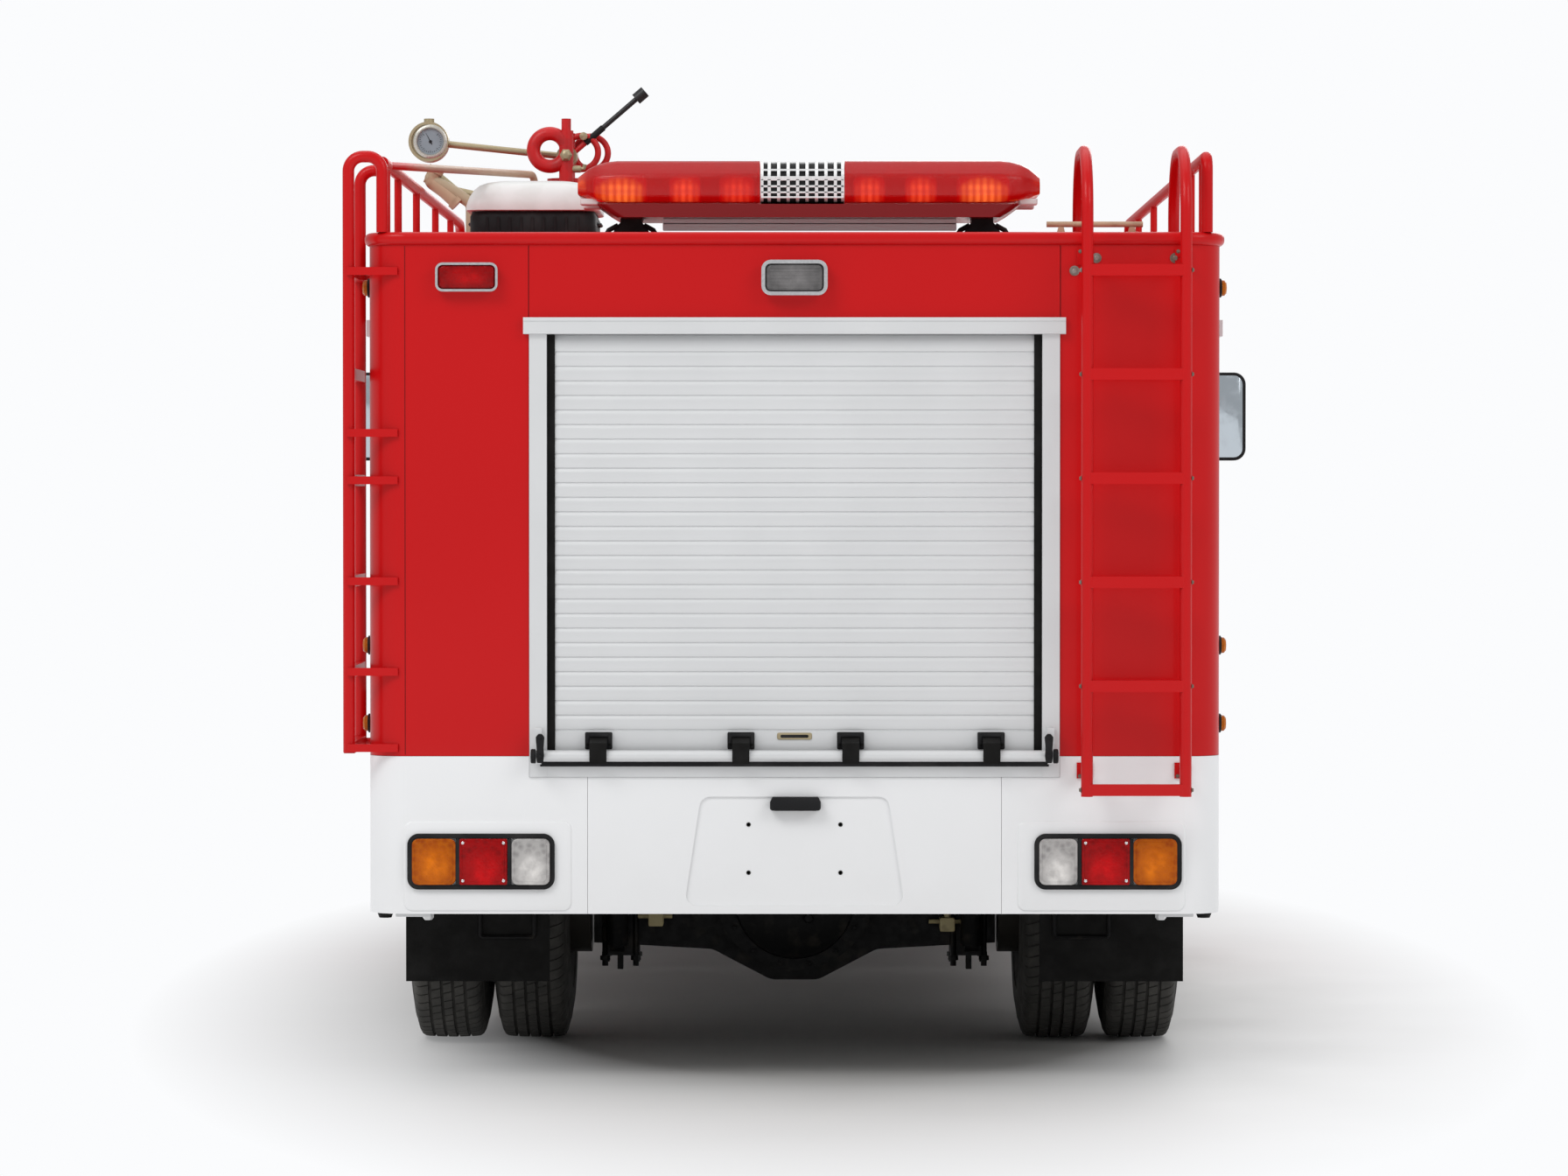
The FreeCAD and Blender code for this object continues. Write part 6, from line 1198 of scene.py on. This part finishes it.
def monitor_fittings():
    """Black grip of the lever, brass glands, bolts of the monitor's foot and the pipework beside it."""
    centre = Vector(monitor_centre)
    reach = 0.0515
    along = Vector((0.172, 0.0, 0.148)).normalized()
    grip = Form()
    start = centre + Vector((0, reach, 0))
    grip.pipe([start + along * part for part in (0.058, 0.070, 0.115, 0.118)], 0.0085, 12)
    grip.piece("monitor_lever_grip", "black_plastic", body="monitor_turret")
    brass = Form()
    for y, way in ((centre.y - reach - 0.018, -1), (centre.y + reach + 0.018, 1)):
        brass.turn([(0.016, -way * 0.003), (0.016, way * 0.004), (0.011, way * 0.008), (0.011, way * 0.012),
                    (0.006, way * 0.014), (0.0, way * 0.014)], (centre.x, y, centre.z), "y", 6)
    brass.turn([(0.0, -0.014), (0.010, -0.012), (0.010, 0.010), (0.006, 0.016), (0.0, 0.016)],
               (centre.x + 0.040, centre.y + reach - 0.013, 2.254), "y", 12)
    brass.turn([(0.0, -0.016), (0.009, -0.016), (0.009, 0.016), (0.0, 0.016)],
               (centre.x + 0.020, centre.y - reach, 2.166), "x", 12)
    brass.pipe([(centre.x + 0.034, centre.y - reach, 2.166), (centre.x + 0.044, centre.y - reach, 2.168),
                (centre.x + 0.046, centre.y - reach, 2.178)], 0.0055, 10)
    brass.piece("monitor_glands", "nozzle_brass", body="monitor_turret")
    foot = Form()
    foot.bolt_ring((centre.x, centre.y, 1.966), "z", 1, 0.062, 8, 0.009)
    foot.turn([(0.039, -0.004), (0.046, -0.002), (0.046, 0.014), (0.039, 0.016)], (centre.x, centre.y, 2.096),
              "z", 32)
    foot.piece("monitor_foot_bolts", "red_paint")
    pipes = Form()
    y = monitor_centre[1]
    elbow = [(-0.902, y, 2.166), (-0.918, y, 2.140), (-0.880, y, 2.112), (-0.852, y, 2.086)]
    pipes.pipe(rounded_route(elbow, 0.012), 0.0170, 14)
    pipes.mark = 1
    branch = [(-0.893, y + 0.012, 2.150), (-0.852, y + 0.014, 2.116), (-0.800, y + 0.010, 2.104),
              (-0.772, y + 0.006, 2.080)]
    pipes.pipe(rounded_route(branch, 0.016), 0.0095, 12)
    pipes.mark = 0
    for place, way in ((elbow[0], Vector((0.5, 0, 0.86))), (elbow[3], Vector((0.73, 0, -0.68)))):
        pipes.pipe([Vector(place) + way * step for step in (-0.007, 0.007)], 0.0205, 12)
    pipes.piece("monitor_pipework", "worn_tan nozzle_brass", "nozzle_brass")


def nozzle_dial():
    """Grey dial with marks, a needle and a worn rim on the rear side of the nozzle."""
    rise = math.radians(monitor_rise)
    x, y, z = monitor_centre
    tip = Vector((x - monitor_reach * math.cos(rise), y, z + monitor_reach * math.sin(rise)))
    face = tip.y - 0.0245
    tip.x += 0.005
    form = Form()
    form.disc(0.0345, 0.0, -0.0012, (tip.x, face, tip.z), "y", 48)

    def radial(degrees, start, end, half_start, half_end):
        """Outline of a straight mark on the dial, from one radius to another."""
        across, up = math.cos(math.radians(degrees)), math.sin(math.radians(degrees))
        corners = ((start, -half_start), (end, -half_end), (end, half_end), (start, half_start))
        return [(tip.x + across * part - up * side, tip.z + up * part + across * side) for part, side in corners]

    form.mark = 1
    for index in range(25):
        size = 0.006 if index % 4 == 0 else 0.0032
        outline = radial(-225 + index * 270 / 24, 0.028 - size, 0.028, 0.0005, 0.0005)
        form.prism(outline, "y", face - 0.0012, face - 0.0016)
    form.prism(radial(118, -0.008, 0.024, 0.0012, 0.0003), "y", face - 0.0016, face - 0.0022)
    form.turn([(0.004, -0.001), (0.004, -0.003), (0.0, -0.0034)], (tip.x, face, tip.z), "y", 16)
    form.mark = 2
    form.turn([(0.0425, 0.001), (0.0425, -0.0070), (0.0395, -0.0092), (0.0350, -0.0092), (0.0325, -0.0060),
               (0.0325, -0.001)], (tip.x, face, tip.z), "y", 48)
    form.piece("nozzle_dial", "dial_face black_plastic dial_rim", "clear_lens", "monitor_nozzle")


# Shutter catches

bar_y = ahead(-0.015 - 0.0193)
bar_z = 0.756
catch_shares = (-0.758, -0.207, 0.217, 0.761)


def buckles():
    """Black catches with a recessed frame; each strap curls round the lift bar."""
    low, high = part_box("shutter_buckles")
    face, top = high.y, high.z
    base_front = ahead(0.012) - 0.012
    form = Form()
    for share in catch_shares:
        x = opening_half_width * share
        plate = tile(x - 0.031, x + 0.031, bar_z + 0.014, top, 0.003, 3)
        form.mark = 0
        form.pad(plate, "y", face, base_front, 0.002)
        for side in (-1, 1):
            rail = tile(x + side * 0.0255 - 0.0035, x + side * 0.0255 + 0.0035, bar_z + 0.018, top - 0.003, 0.0015, 3)
            form.pad(rail, "y", base_front, base_front - 0.003, 0.001)
        head = tile(x - 0.022, x + 0.022, top - 0.010, top - 0.004, 0.0015, 3)
        form.pad(head, "y", base_front, base_front - 0.003, 0.001)
        form.mark = 1
        reach = low.y + 0.0002
        strap = [(base_front, top - 0.011), (base_front - 0.006, top - 0.013), (reach + 0.002, top - 0.023),
                 (reach, top - 0.028), (reach, bar_z - 0.004), (reach + 0.002, bar_z - 0.011),
                 (reach + 0.006, low.z + 0.0005), (bar_y + 0.002, low.z), (bar_y + 0.002, low.z + 0.0028),
                 (reach + 0.008, low.z + 0.0042), (reach + 0.0048, bar_z - 0.010), (reach + 0.0034, bar_z - 0.004),
                 (reach + 0.0034, top - 0.029), (base_front - 0.004, top - 0.017), (base_front, top - 0.016)]
        form.prism(strap, "x", x - 0.0195, x + 0.0195)
        for side in (-1, 1):
            form.bolt((x + side * 0.0255, base_front - 0.003, bar_z + 0.025), "y", -1, 0.0035)
    form.piece("shutter_catches", "black_plastic flap_rubber", nodes=["shutter_buckles"], bevel=0.0006)


def bar_pivots():
    """Black pivot hooks over both ends of the lift bar."""
    form = Form()
    half_hook = ((0.007, 0.741), (0.009, 0.757), (0.008, 0.775), (0.010, 0.800), (0.004, 0.8075))
    for side in (-1, 1):
        x = side * 0.5785
        hook = [(x - half_hook[0][0], half_hook[0][1])] + [(x + half, z) for half, z in half_hook]
        hook += [(x - half, z) for half, z in reversed(half_hook[1:])]
        form.prism(rounded(hook, 0.003, 3), "y", bar_y - 0.0165, bar_y - 0.0135)
        form.turn([(0.0145, 0.006), (0.0165, 0.004), (0.0165, -0.004), (0.0145, -0.006)],
                  (side * 0.5945, bar_y, bar_z), "x", 24)
        form.bolt((x, bar_y - 0.0165, 0.799), "y", -1, 0.005)
        form.bolt((x, bar_y - 0.0165, bar_z), "y", -1, 0.006)
    form.prism(rectangle(-0.580, 0.580, 0.7315, 0.7420), "y", ahead(0.010), ahead(-0.0165))
    form.piece("lift_bar_pivots", "black_plastic", bevel=0.0006)


# Rear face

def rear_seams():
    """Seams of the red rear panels, pads behind the tail lamps, the header's beads and the roof's tool tube."""
    face = ahead(0.0)
    seam = Form()
    for side in (-1, 1):
        for x, low, high in ((side * 0.6065, 1.757, 1.918), (side * 0.8885, 0.758, 1.918)):
            seam.prism(rectangle(x - 0.0010, x + 0.0010, low, high), "y", face + 0.001, face - 0.0003)
    seam.piece("rear_seams", "seam_red", "red_paint")
    pads = Form()
    outline = tile(0.508, 0.893, 0.400, 0.606, 0.018, 5)
    pads.pad(outline, "y", face + 0.001, face - 0.0028, 0.006)
    pads.mirror()
    pads.piece("lamp_pads", "white_paint")
    bead = Form()
    header_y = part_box("shutter_frames")[0].y
    bead.prism(tile(header_y - 0.0022, header_y + 0.001, 1.7465, 1.7552, 0.0015, 3), "x", -0.618, 0.618)
    bead.prism(tile(header_y - 0.0012, header_y + 0.001, 1.7180, 1.7215, 0.001, 2), "x", -0.618, 0.618)
    bead.piece("header_beads", "shutter_aluminium")
    tube = Form()
    tube.pipe([(x, ahead(0.10), 1.972) for x in (0.579, 0.640, 0.800)], 0.0068, 12)
    for x in (0.612, 0.775):
        clip = [(x - 0.010, roof_z), (x + 0.010, roof_z), (x + 0.006, 1.9660), (x - 0.006, 1.9660)]
        tube.prism(rounded(clip, 0.002, 2), "y", ahead(0.094), ahead(0.106))
    tube.piece("roof_tool_tube", "worn_tan", "nozzle_brass")


def underside():
    """Spring bolts, dampers, air valves and the small brackets that hang under the rear."""
    axle_y = ahead(rear_axle_ahead)
    steel = Form()
    for x in (-0.432, 0.432):
        for along in (-0.060, 0.060):
            y = axle_y + along
            route = [(x - 0.038, y, 0.181), (x - 0.038, y, 0.506), (x + 0.038, y, 0.506), (x + 0.038, y, 0.181)]
            steel.pipe(rounded_route(route, 0.014), 0.0075, 8)
            for side in (-0.038, 0.038):
                steel.disc(0.0125, -0.011, 0.0, (x + side, y, 0.206), "z", 6)
        side = 1 if x > 0 else -1
        low = Vector((x + side * 0.006, axle_y - 0.112, 0.240))
        high = Vector((x + side * 0.006, axle_y - 0.200, 0.590))
        steel.pipe([low, low.lerp(high, 0.52)], 0.027, 16)
        steel.pipe([low.lerp(high, 0.50), high], 0.032, 16)
        for end, half in ((low, 0.018), (high, 0.030)):
            steel.disc(0.020, -half, half, end, "x", 16)
    cover = Vector((0.0, axle_y - 0.0935, tyre_radius - 0.020))
    steel.bolt_ring(cover, "y", -1, 0.165, 14, 0.009, 0.0)
    steel.turn([(0.150, 0.0), (0.146, -0.012), (0.110, -0.030), (0.060, -0.040), (0.0, -0.042)], cover, "y", 40)
    steel.turn([(0.014, 0.0), (0.014, -0.050), (0.010, -0.054), (0.0, -0.054)],
               cover + Vector((0.035, 0, -0.045)), "y", 6)
    steel.piece("rear_axle_fittings", "dark_steel")
    brass = Form()
    for x, z in ((-0.343, 0.300), (0.378, 0.287)):
        valve = tile(x - 0.0185, x + 0.0185, z - 0.017, z + 0.017, 0.004, 3)
        brass.pad(valve, "y", axle_y - 0.050, axle_y - 0.120, 0.003)
        brass.disc(0.008, -0.012, 0.014, (x, axle_y - 0.100, z + 0.024), "z", 6)
        brass.pipe([(x - 0.045, axle_y - 0.085, z + 0.006), (x + 0.040, axle_y - 0.085, z + 0.006)], 0.0055, 8)
    brass.piece("axle_air_valves", "valve_yellow", "nozzle_brass")
    bits = Form()
    flap_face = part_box("mud_flaps")[0].y
    for side in (-1, 1):
        bits.mark = 0
        bits.turn([(0.016, 0.0), (0.018, -0.004), (0.014, -0.014), (0.0, -0.014)],
                  (side * 0.940, ahead(0.075), 0.394), "z", 20)
        x0, x1 = sorted((side * 0.835, side * 0.915))
        bits.mark = 1
        bits.prism(tile(x0, x1, 0.383, 0.394, 0.002, 3), "y", ahead(0.055), ahead(0.105))
        bits.turn([(0.013, 0.0), (0.013, -0.014), (0.008, -0.020), (0.0, -0.020)],
                  (side * 0.842, ahead(0.080), 0.394), "z", 6)
        bits.mark = 0
        route = [(side * x, flap_face - 0.008, z) for x, z in ((0.752, 0.352), (0.752, 0.292), (0.622, 0.292),
                                                               (0.622, 0.352))]
        bits.pipe(rounded_route(route, 0.010), 0.005, 8)
        for index in range(6):
            x = side * (0.61 + index * 0.060)
            bits.bolt((x, flap_face, 0.378), "y", -1, 0.007)
    bits.piece("rear_underside_bits", "dark_steel shutter_aluminium")


# Cab outside

def door_trim():
    """Lock barrels of the doors, and their inner cards with armrests and window winders."""
    for name, rear, front in (("front", 4.290, 5.260), ("rear", 3.330, 4.190)):
        for side, word in sides:
            body = f"{name}_door_{word}"
            outer = side * cab_half_width
            trim = Form()
            lock_y = ahead(rear + 0.009 + 0.070 + 0.155)
            trim.turn([(0.013, 0.0), (0.013, side * 0.004), (0.009, side * 0.006), (0.0, side * 0.006)],
                      (outer, lock_y, 1.163), "x", 20)
            trim.piece(f"door_lock_{name}_{word}", "chrome", "shutter_aluminium", body)
            inner = side * (cab_half_width - 0.044)
            card = Form()
            outline = tile(ahead(rear + 0.050), ahead(front - 0.060), 0.885, 1.235, 0.040)
            card.pad(outline, "x", inner + side * 0.004, inner - side * 0.006, 0.004)
            card.mark = 1
            rest = tile(ahead(rear + 0.110), ahead(rear + 0.420), 1.085, 1.125, 0.018)
            card.pad(rest, "x", inner, inner - side * 0.032, 0.014)
            winder = (rear + front) / 2
            card.turn([(0.030, 0.0), (0.030, -side * 0.008), (0.012, -side * 0.010), (0.010, -side * 0.018),
                       (0.0, -side * 0.018)], (inner, ahead(winder), 1.010), "x", 24)
            card.pipe([(inner - side * 0.014, ahead(winder), 1.010),
                       (inner - side * 0.016, ahead(winder - 0.060), 0.985)], 0.006, 8)
            card.piece(f"door_card_{name}_{word}", "card_grey black_plastic", "black_plastic", body)


def cab_mouldings():
    """Drip rails over the doors, lips of the front wheel arches and the side turn lamps of the cab."""
    rail = Form()
    for side in (-1, 1):
        route = [(side * (side_x(1.945) + 0.003), ahead(place), 1.945) for place in (3.30, 3.60, 4.20, 4.70, 4.985)]
        rail.pipe(route, 0.006, 8)
    rail.piece("drip_rails", "red_paint")
    lip = Form()
    for side in (-1, 1):
        arc = []
        for index in range(25):
            turn = math.radians(14 + index * 152 / 24)
            arc.append((side * (cab_half_width - 0.004), ahead(front_axle_ahead) + arch_radius * math.cos(turn),
                        tyre_radius + arch_radius * math.sin(turn)))
        lip.pipe(arc, 0.009, 8)
    lip.piece("arch_lips", "flap_rubber")
    lamps = Form()
    for side in (-1, 1):
        x0 = side * (cab_half_width - 0.002)
        outline = tile(ahead(5.300), ahead(5.385), 0.905, 0.945, 0.012)
        lamps.pad(outline, "x", x0 - side * 0.030, x0 - side * 0.001, 0.004)
    lamps.piece("cab_side_lamps", "amber_lens", "lamp_lens")


def front_details():
    """Mesh of the grille, and the fog lamps, tow covers and plate panel of the bumper."""
    low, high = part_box("front_grille")
    mesh = Form()
    back = high.y - 0.018
    for index in range(46):
        x = low.x + 0.026 + index * (high.x - low.x - 0.052) / 45
        mesh.prism(rectangle(x - 0.0012, x + 0.0012, low.z + 0.022, high.z - 0.022), "y", back, back + 0.004)
    mesh.piece("grille_mesh", "dark_steel", "black_plastic")
    fog = Form()
    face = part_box("front_bumper")[1].y
    for x in (-0.640, 0.640):
        fog.mark = 1
        ring = tile(x - 0.085, x + 0.085, 0.520, 0.600, 0.022, 5)
        fog.pad(ring, "y", face - 0.020, face - 0.0004, 0.003)
        fog.mark = 0
        fog.pad(tile(x - 0.072, x + 0.072, 0.533, 0.587, 0.016, 5), "y", face - 0.010, face - 0.0001, 0.004)
    for x in (-0.330, 0.330):
        fog.mark = 1
        fog.pad(tile(x - 0.040, x + 0.040, 0.530, 0.590, 0.010, 4), "y", face - 0.010, face - 0.0003, 0.002)
    fog.mark = 1
    fog.pad(tile(-0.230, 0.230, 0.505, 0.618, 0.008, 4), "y", face - 0.010, face - 0.0003, 0.002)
    fog.piece("bumper_lamps", "clear_lens black_plastic")


def cab_inside():
    """Dials, vents and switches of the dashboard, and the gear lever."""
    form = Form()
    rear = ahead(5.150)
    form.pad(tile(-0.760, -0.410, 1.205, 1.2585, 0.012, 4), "y", rear + 0.010, rear - 0.0025, 0.004)
    form.mark = 1
    for x in (-0.680, -0.560, -0.470):
        radius = 0.024 if x < -0.5 else 0.018
        form.turn([(radius, 0.0), (radius, -0.0045), (radius * 0.9, -0.0045), (radius * 0.88, -0.002), (0.0, -0.002)],
                  (x, rear - 0.0015, 1.232), "y", 28)
    for x in (-0.330, -0.170, 0.120, 0.280, 0.560, 0.700):
        form.mark = 2
        form.pad(tile(x - 0.055, x + 0.055, 1.190, 1.235, 0.008, 4), "y", rear + 0.010, rear - 0.002, 0.002)
        form.mark = 0
        for row in range(4):
            z = 1.198 + row * 0.010
            form.prism(rectangle(x - 0.048, x + 0.048, z, z + 0.003), "y", rear - 0.0015, rear - 0.004)
    form.mark = 0
    form.pad(tile(-0.090, 0.060, 1.050, 1.160, 0.008, 4), "y", rear + 0.010, rear - 0.003, 0.003)
    form.mark = 1
    for row in range(2):
        for column in range(5):
            x, z = -0.076 + column * 0.026, 1.066 + row * 0.048
            form.pad(tile(x, x + 0.018, z, z + 0.030, 0.003, 3), "y", rear, rear - 0.006, 0.002)
    form.piece("dash_fittings", "black_plastic dial_face card_grey")
    lever = Form()
    base = Vector((-0.260, ahead(4.860), 1.040))
    lever.turn([(0.060, 0.0), (0.052, 0.018), (0.034, 0.036), (0.018, 0.048), (0.0, 0.048)], base, "z", 24)
    lever.pipe([base + Vector(step) for step in ((0, 0, 0.030), (0.0, 0.010, 0.150), (-0.012, -0.010, 0.240))],
               0.008, 10)
    lever.turn([(0.0, -0.026), (0.018, -0.020), (0.024, 0.0), (0.018, 0.018), (0.0, 0.024)],
               base + Vector((-0.012, -0.010, 0.250)), "z", 20)
    lever.piece("gear_lever", "black_plastic")


# Wheel ends

def wheel_details():
    """Hub bolts and tyre valves of all four wheel ends."""
    for name, x, place in (("front", front_tyre_x, front_axle_ahead), ("rear", rear_tyre_x[0], rear_axle_ahead)):
        for side, word in sides:
            low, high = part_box(f"rim_{name}_{word}")
            outer = high.x if side > 0 else low.x
            form = Form()
            y, z = ahead(place), tyre_radius
            form.bolt_ring((outer - side * 0.0075, y, z), "x", side, 0.034, 6, 0.006, 0.25)
            form.mark = 1
            face = side * (x + 0.030)
            form.pipe([(face, y + 0.150, z + 0.062), (face + side * 0.020, y + 0.142, z + 0.058),
                       (face + side * 0.034, y + 0.136, z + 0.055)], 0.0045, 8)
            form.turn([(0.0055, 0.0), (0.0055, side * 0.009), (0.0, side * 0.010)],
                      (face + side * 0.034, y + 0.136, z + 0.055), "x", 10)
            form.piece(f"{name}_wheel_fittings_{word}", "chrome black_plastic", "shutter_aluminium",
                       f"{name}_wheel_{word}")


# Sides

def side_details():
    """Pulls of the side shutters and amber reflectors along the skirt."""
    for side, word in sides:
        form = Form()
        face = side * body_half_width
        for rear, length, base in ((0.178, 1.284, 0.892), (1.592, 1.280, 0.733)):
            form.mark = 0
            y = ahead(rear + length / 2)
            form.pad(tile(y - 0.060, y + 0.060, base + 0.062, base + 0.084, 0.006, 3), "x", face - side * 0.016,
                     face - side * 0.004, 0.003)
            form.mark = 1
            form.disc(0.012, 0.0, side * 0.003, (face - side * 0.008, y, base + 0.073), "x", 20)
        # The amber reflectors wear the glowing amber lamp glass: painted light, as they hold no lamp.
        form.mark = 2
        for place in (0.300, 1.720, 2.300, 2.880):
            outline = tile(ahead(place) - 0.036, ahead(place) + 0.036, 0.640, 0.668, 0.006, 3)
            form.pad(outline, "x", face - side * 0.004, face + side * 0.006, 0.003)
        form.piece(f"side_trim_{word}", "black_plastic chrome amber_lens")


# Roof deck

deck_base_z = roof_z + 0.0003
deck_top_z = 1.9530
deck_plates = ((-0.76, 0.76, 1.70, 2.90), (-0.40, 0.70, 0.72, 1.62))  # left, right, rear and front
deck_edge = 0.030
screw_inset = 0.014
lozenge_pitch = 0.034
lozenge_height = 0.0016
filler_place = (0.24, 1.17)
filler_flange = 0.195


def roof_deck():
    """Screwed walkways of tread plate, the lid of the tank's filler and the ribs of the cab roof."""
    plates = Form()
    for left, right, rear, front in deck_plates:
        plates.mark = 0
        plates.prism(tile(left, right, ahead(rear), ahead(front), 0.012, 3), "z", deck_base_z, deck_top_z)
        rows = int((front - rear - 2 * deck_edge) / lozenge_pitch)
        columns = int((right - left - 2 * deck_edge) / lozenge_pitch)
        for row in range(rows):
            for column in range(columns):
                x = left + deck_edge + (column + 0.5) * lozenge_pitch
                place = rear + deck_edge + (row + 0.5) * lozenge_pitch
                if math.hypot(x - filler_place[0], place - filler_place[1]) < filler_flange + 0.020:
                    continue
                lean = 1 if (row + column) % 2 else -1
                corners = ((0.0130, 0.0130 * lean), (-0.0036, 0.0036 * lean), (-0.0130, -0.0130 * lean),
                           (0.0036, -0.0036 * lean))
                plates.loft([[(x + u * share, ahead(place) + v * share, z) for u, v in corners]
                             for share, z in ((1.0, deck_top_z - 0.0003), (0.55, deck_top_z + lozenge_height))])
        plates.mark = 1
        x0, x1, low, high = left + screw_inset, right - screw_inset, rear + screw_inset, front - screw_inset
        for index in range(7):
            share = index / 6
            for x in (x0, x1):
                plates.bolt((x, ahead(low + (high - low) * share), deck_top_z), "z", 1, 0.006)
            for place in (low, high):
                plates.bolt((x0 + (x1 - x0) * share, ahead(place), deck_top_z), "z", 1, 0.006)
    plates.piece("roof_walkways", "floor_panel chrome")
    lid = Form()
    centre = Vector((filler_place[0], ahead(filler_place[1]), deck_top_z))
    lid.turn([(filler_flange, -0.002), (filler_flange, 0.006), (0.160, 0.007), (0.158, 0.014)], centre, "z", 48)
    lid.turn([(0.160, 0.014), (0.166, 0.017), (0.166, 0.027), (0.158, 0.031), (0.080, 0.034), (0.0, 0.035)],
             centre, "z", 48)
    for y in (centre.y + 0.172, centre.y - 0.172):
        lid.block((centre.x - 0.034, y - 0.014, centre.z + 0.004), (centre.x + 0.034, y + 0.014, centre.z + 0.030))
    lid.mark = 1
    lid.bolt_ring(centre + Vector((0, 0, 0.006)), "z", 1, 0.181, 16, 0.007)
    grip = [centre + Vector((x, 0.0, z)) for x, z in
            ((-0.060, 0.030), (-0.060, 0.039), (0.060, 0.039), (0.060, 0.030))]
    lid.pipe(rounded_route(grip, 0.008), 0.0048, 10)
    lid.pipe([centre + Vector((x, -0.172, 0.030)) for x in (-0.046, 0.046)], 0.0050, 10)
    lid.piece("tank_filler_lid", "red_paint chrome", bevel=0.0012)
    ribs = Form()
    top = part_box("cab_shell")[1].z
    for x in (-0.52, 0.0, 0.52):
        outline = tile(x - 0.034, x + 0.034, ahead(3.38), ahead(4.66), 0.030, 5)
        ribs.pad(outline, "z", top - 0.002, top + 0.0055, 0.005)
    ribs.piece("cab_roof_ribs", "red_paint")


# Studio

def camera():
    """The photograph's camera, turned so that its vanishing point falls on the right pixel."""
    focal = pixels_per_metre * camera_distance
    data = bpy.data.cameras.new("view")
    data.sensor_fit = "HORIZONTAL"
    data.sensor_width = sensor_width
    data.lens = focal / photo_width * sensor_width
    data.clip_end = 200.0
    made = placed("view", data)
    turn = math.atan((vanishing_x - photo_width / 2) / focal)
    dip = math.atan((photo_height / 2 - horizon_y) / focal)
    made.location = (0.0, rear_face_y - camera_distance, camera_height)
    made.rotation_euler = (math.pi / 2 - dip, 0.0, turn)
    bpy.context.scene.camera = made


def area_light(name, place, target, size, power):
    data = bpy.data.lights.new(name, "AREA")
    data.shape = "RECTANGLE"
    data.size, data.size_y = size
    data.energy = power
    made = placed(name, data)
    made.location = place
    made.rotation_euler = (Vector(target) - Vector(place)).to_track_quat("-Z", "Y").to_euler()


def studio():
    """Pale floor that melts into near-white surroundings, the melt a painted glow that ends the truck's shadow pool,
    and broad soft lamps.
    """
    floor = Finish("studio_floor")
    floor.colour(floor.blend(floor.noise(0.35, 3.0), (0.59, 0.578, 0.562), (0.56, 0.549, 0.534)))
    floor.roughness(floor.noise(2.0, 4.0), 0.5, 0.65)
    # Painted light: beyond an ellipse round the truck, long along it and centred 0.1 m to its right, the floor glows
    # near-white, which ends the truck's shadow pool sooner on the left.
    painted_floor_glow = floor.node("ShaderNodeEmission")
    painted_floor_glow.inputs["Color"].default_value = (*studio_white, 1.0)
    shadow_footprint = floor.node("ShaderNodeVectorMath", operation="MULTIPLY")
    shadow_footprint.inputs[1].default_value = (1.0, 0.36, 1.0)
    shifted = floor.node("ShaderNodeVectorMath", operation="SUBTRACT")
    shifted.inputs[1].default_value = (0.1, 0.0, 0.0)
    floor.feed(shifted.inputs[0], floor.place)
    floor.feed(shadow_footprint.inputs[0], shifted.outputs[0])
    radius = floor.node("ShaderNodeVectorMath", operation="LENGTH")
    floor.feed(radius.inputs[0], shadow_footprint.outputs[0])
    melt = floor.node("ShaderNodeMixShader")
    floor.feed(melt.inputs[0], floor.spread(radius.outputs["Value"], 0.92, 1.85, 0.0, 1.0))
    floor.feed(melt.inputs[1], floor.shader.outputs[0])
    floor.feed(melt.inputs[2], painted_floor_glow.outputs[0])
    floor.feed(floor.tree.nodes["Material Output"].inputs["Surface"], melt.outputs[0])
    mesh = bpy.data.meshes.new("floor")
    half = 60.0
    mesh.from_pydata([(-half, -half, 0), (half, -half, 0), (half, half, 0), (-half, half, 0)], [], [(0, 1, 2, 3)])
    mesh.materials.append(floor.material)
    placed("floor", mesh)
    world = bpy.data.worlds.new("studio")
    world.use_nodes = True
    tree = world.node_tree
    seen = tree.nodes["Background"]
    seen.inputs["Color"].default_value = (*studio_white, 1.0)
    lit = tree.nodes.new("ShaderNodeBackground")
    lit.inputs["Color"].default_value = (0.97, 0.985, 1.0, 1.0)
    lit.inputs["Strength"].default_value = 0.55
    rays = tree.nodes.new("ShaderNodeLightPath")
    choose = tree.nodes.new("ShaderNodeMixShader")
    tree.links.new(rays.outputs["Is Camera Ray"], choose.inputs[0])
    tree.links.new(lit.outputs[0], choose.inputs[1])
    tree.links.new(seen.outputs[0], choose.inputs[2])
    tree.links.new(choose.outputs[0], tree.nodes["World Output"].inputs["Surface"])
    bpy.context.scene.world = world
    area_light("key", (-5.5, -9.0, 8.8), (0, -1.5, 1.0), (6.0, 4.0), 420.0)
    area_light("fill", (6.5, -8.5, 6.5), (0, -1.5, 1.0), (5.0, 4.0), 190.0)
    area_light("top", (0.0, 0.0, 8.0), (0, 0, 0), (8.0, 8.0), 200.0)
    area_light("front", (3.0, 9.5, 5.5), (0, 1.5, 1.0), (6.0, 4.0), 260.0)
    bpy.context.scene.view_settings.view_transform = "Standard"


dress_nodes()
tyres()
rear_curtain()
shutter_seals()
tail_lenses()
upper_lamps()
light_bar()
light_bar_siren()
gaskets()
wipers()
headlamps()
mirror_glasses()
seats()
ladder_bolts()
plate_bolts()
roof_box()
bar_tray()
monitor_fittings()
nozzle_dial()
buckles()
bar_pivots()
rear_seams()
underside()
door_trim()
cab_mouldings()
front_details()
cab_inside()
wheel_details()
side_details()
roof_deck()
camera()
studio()
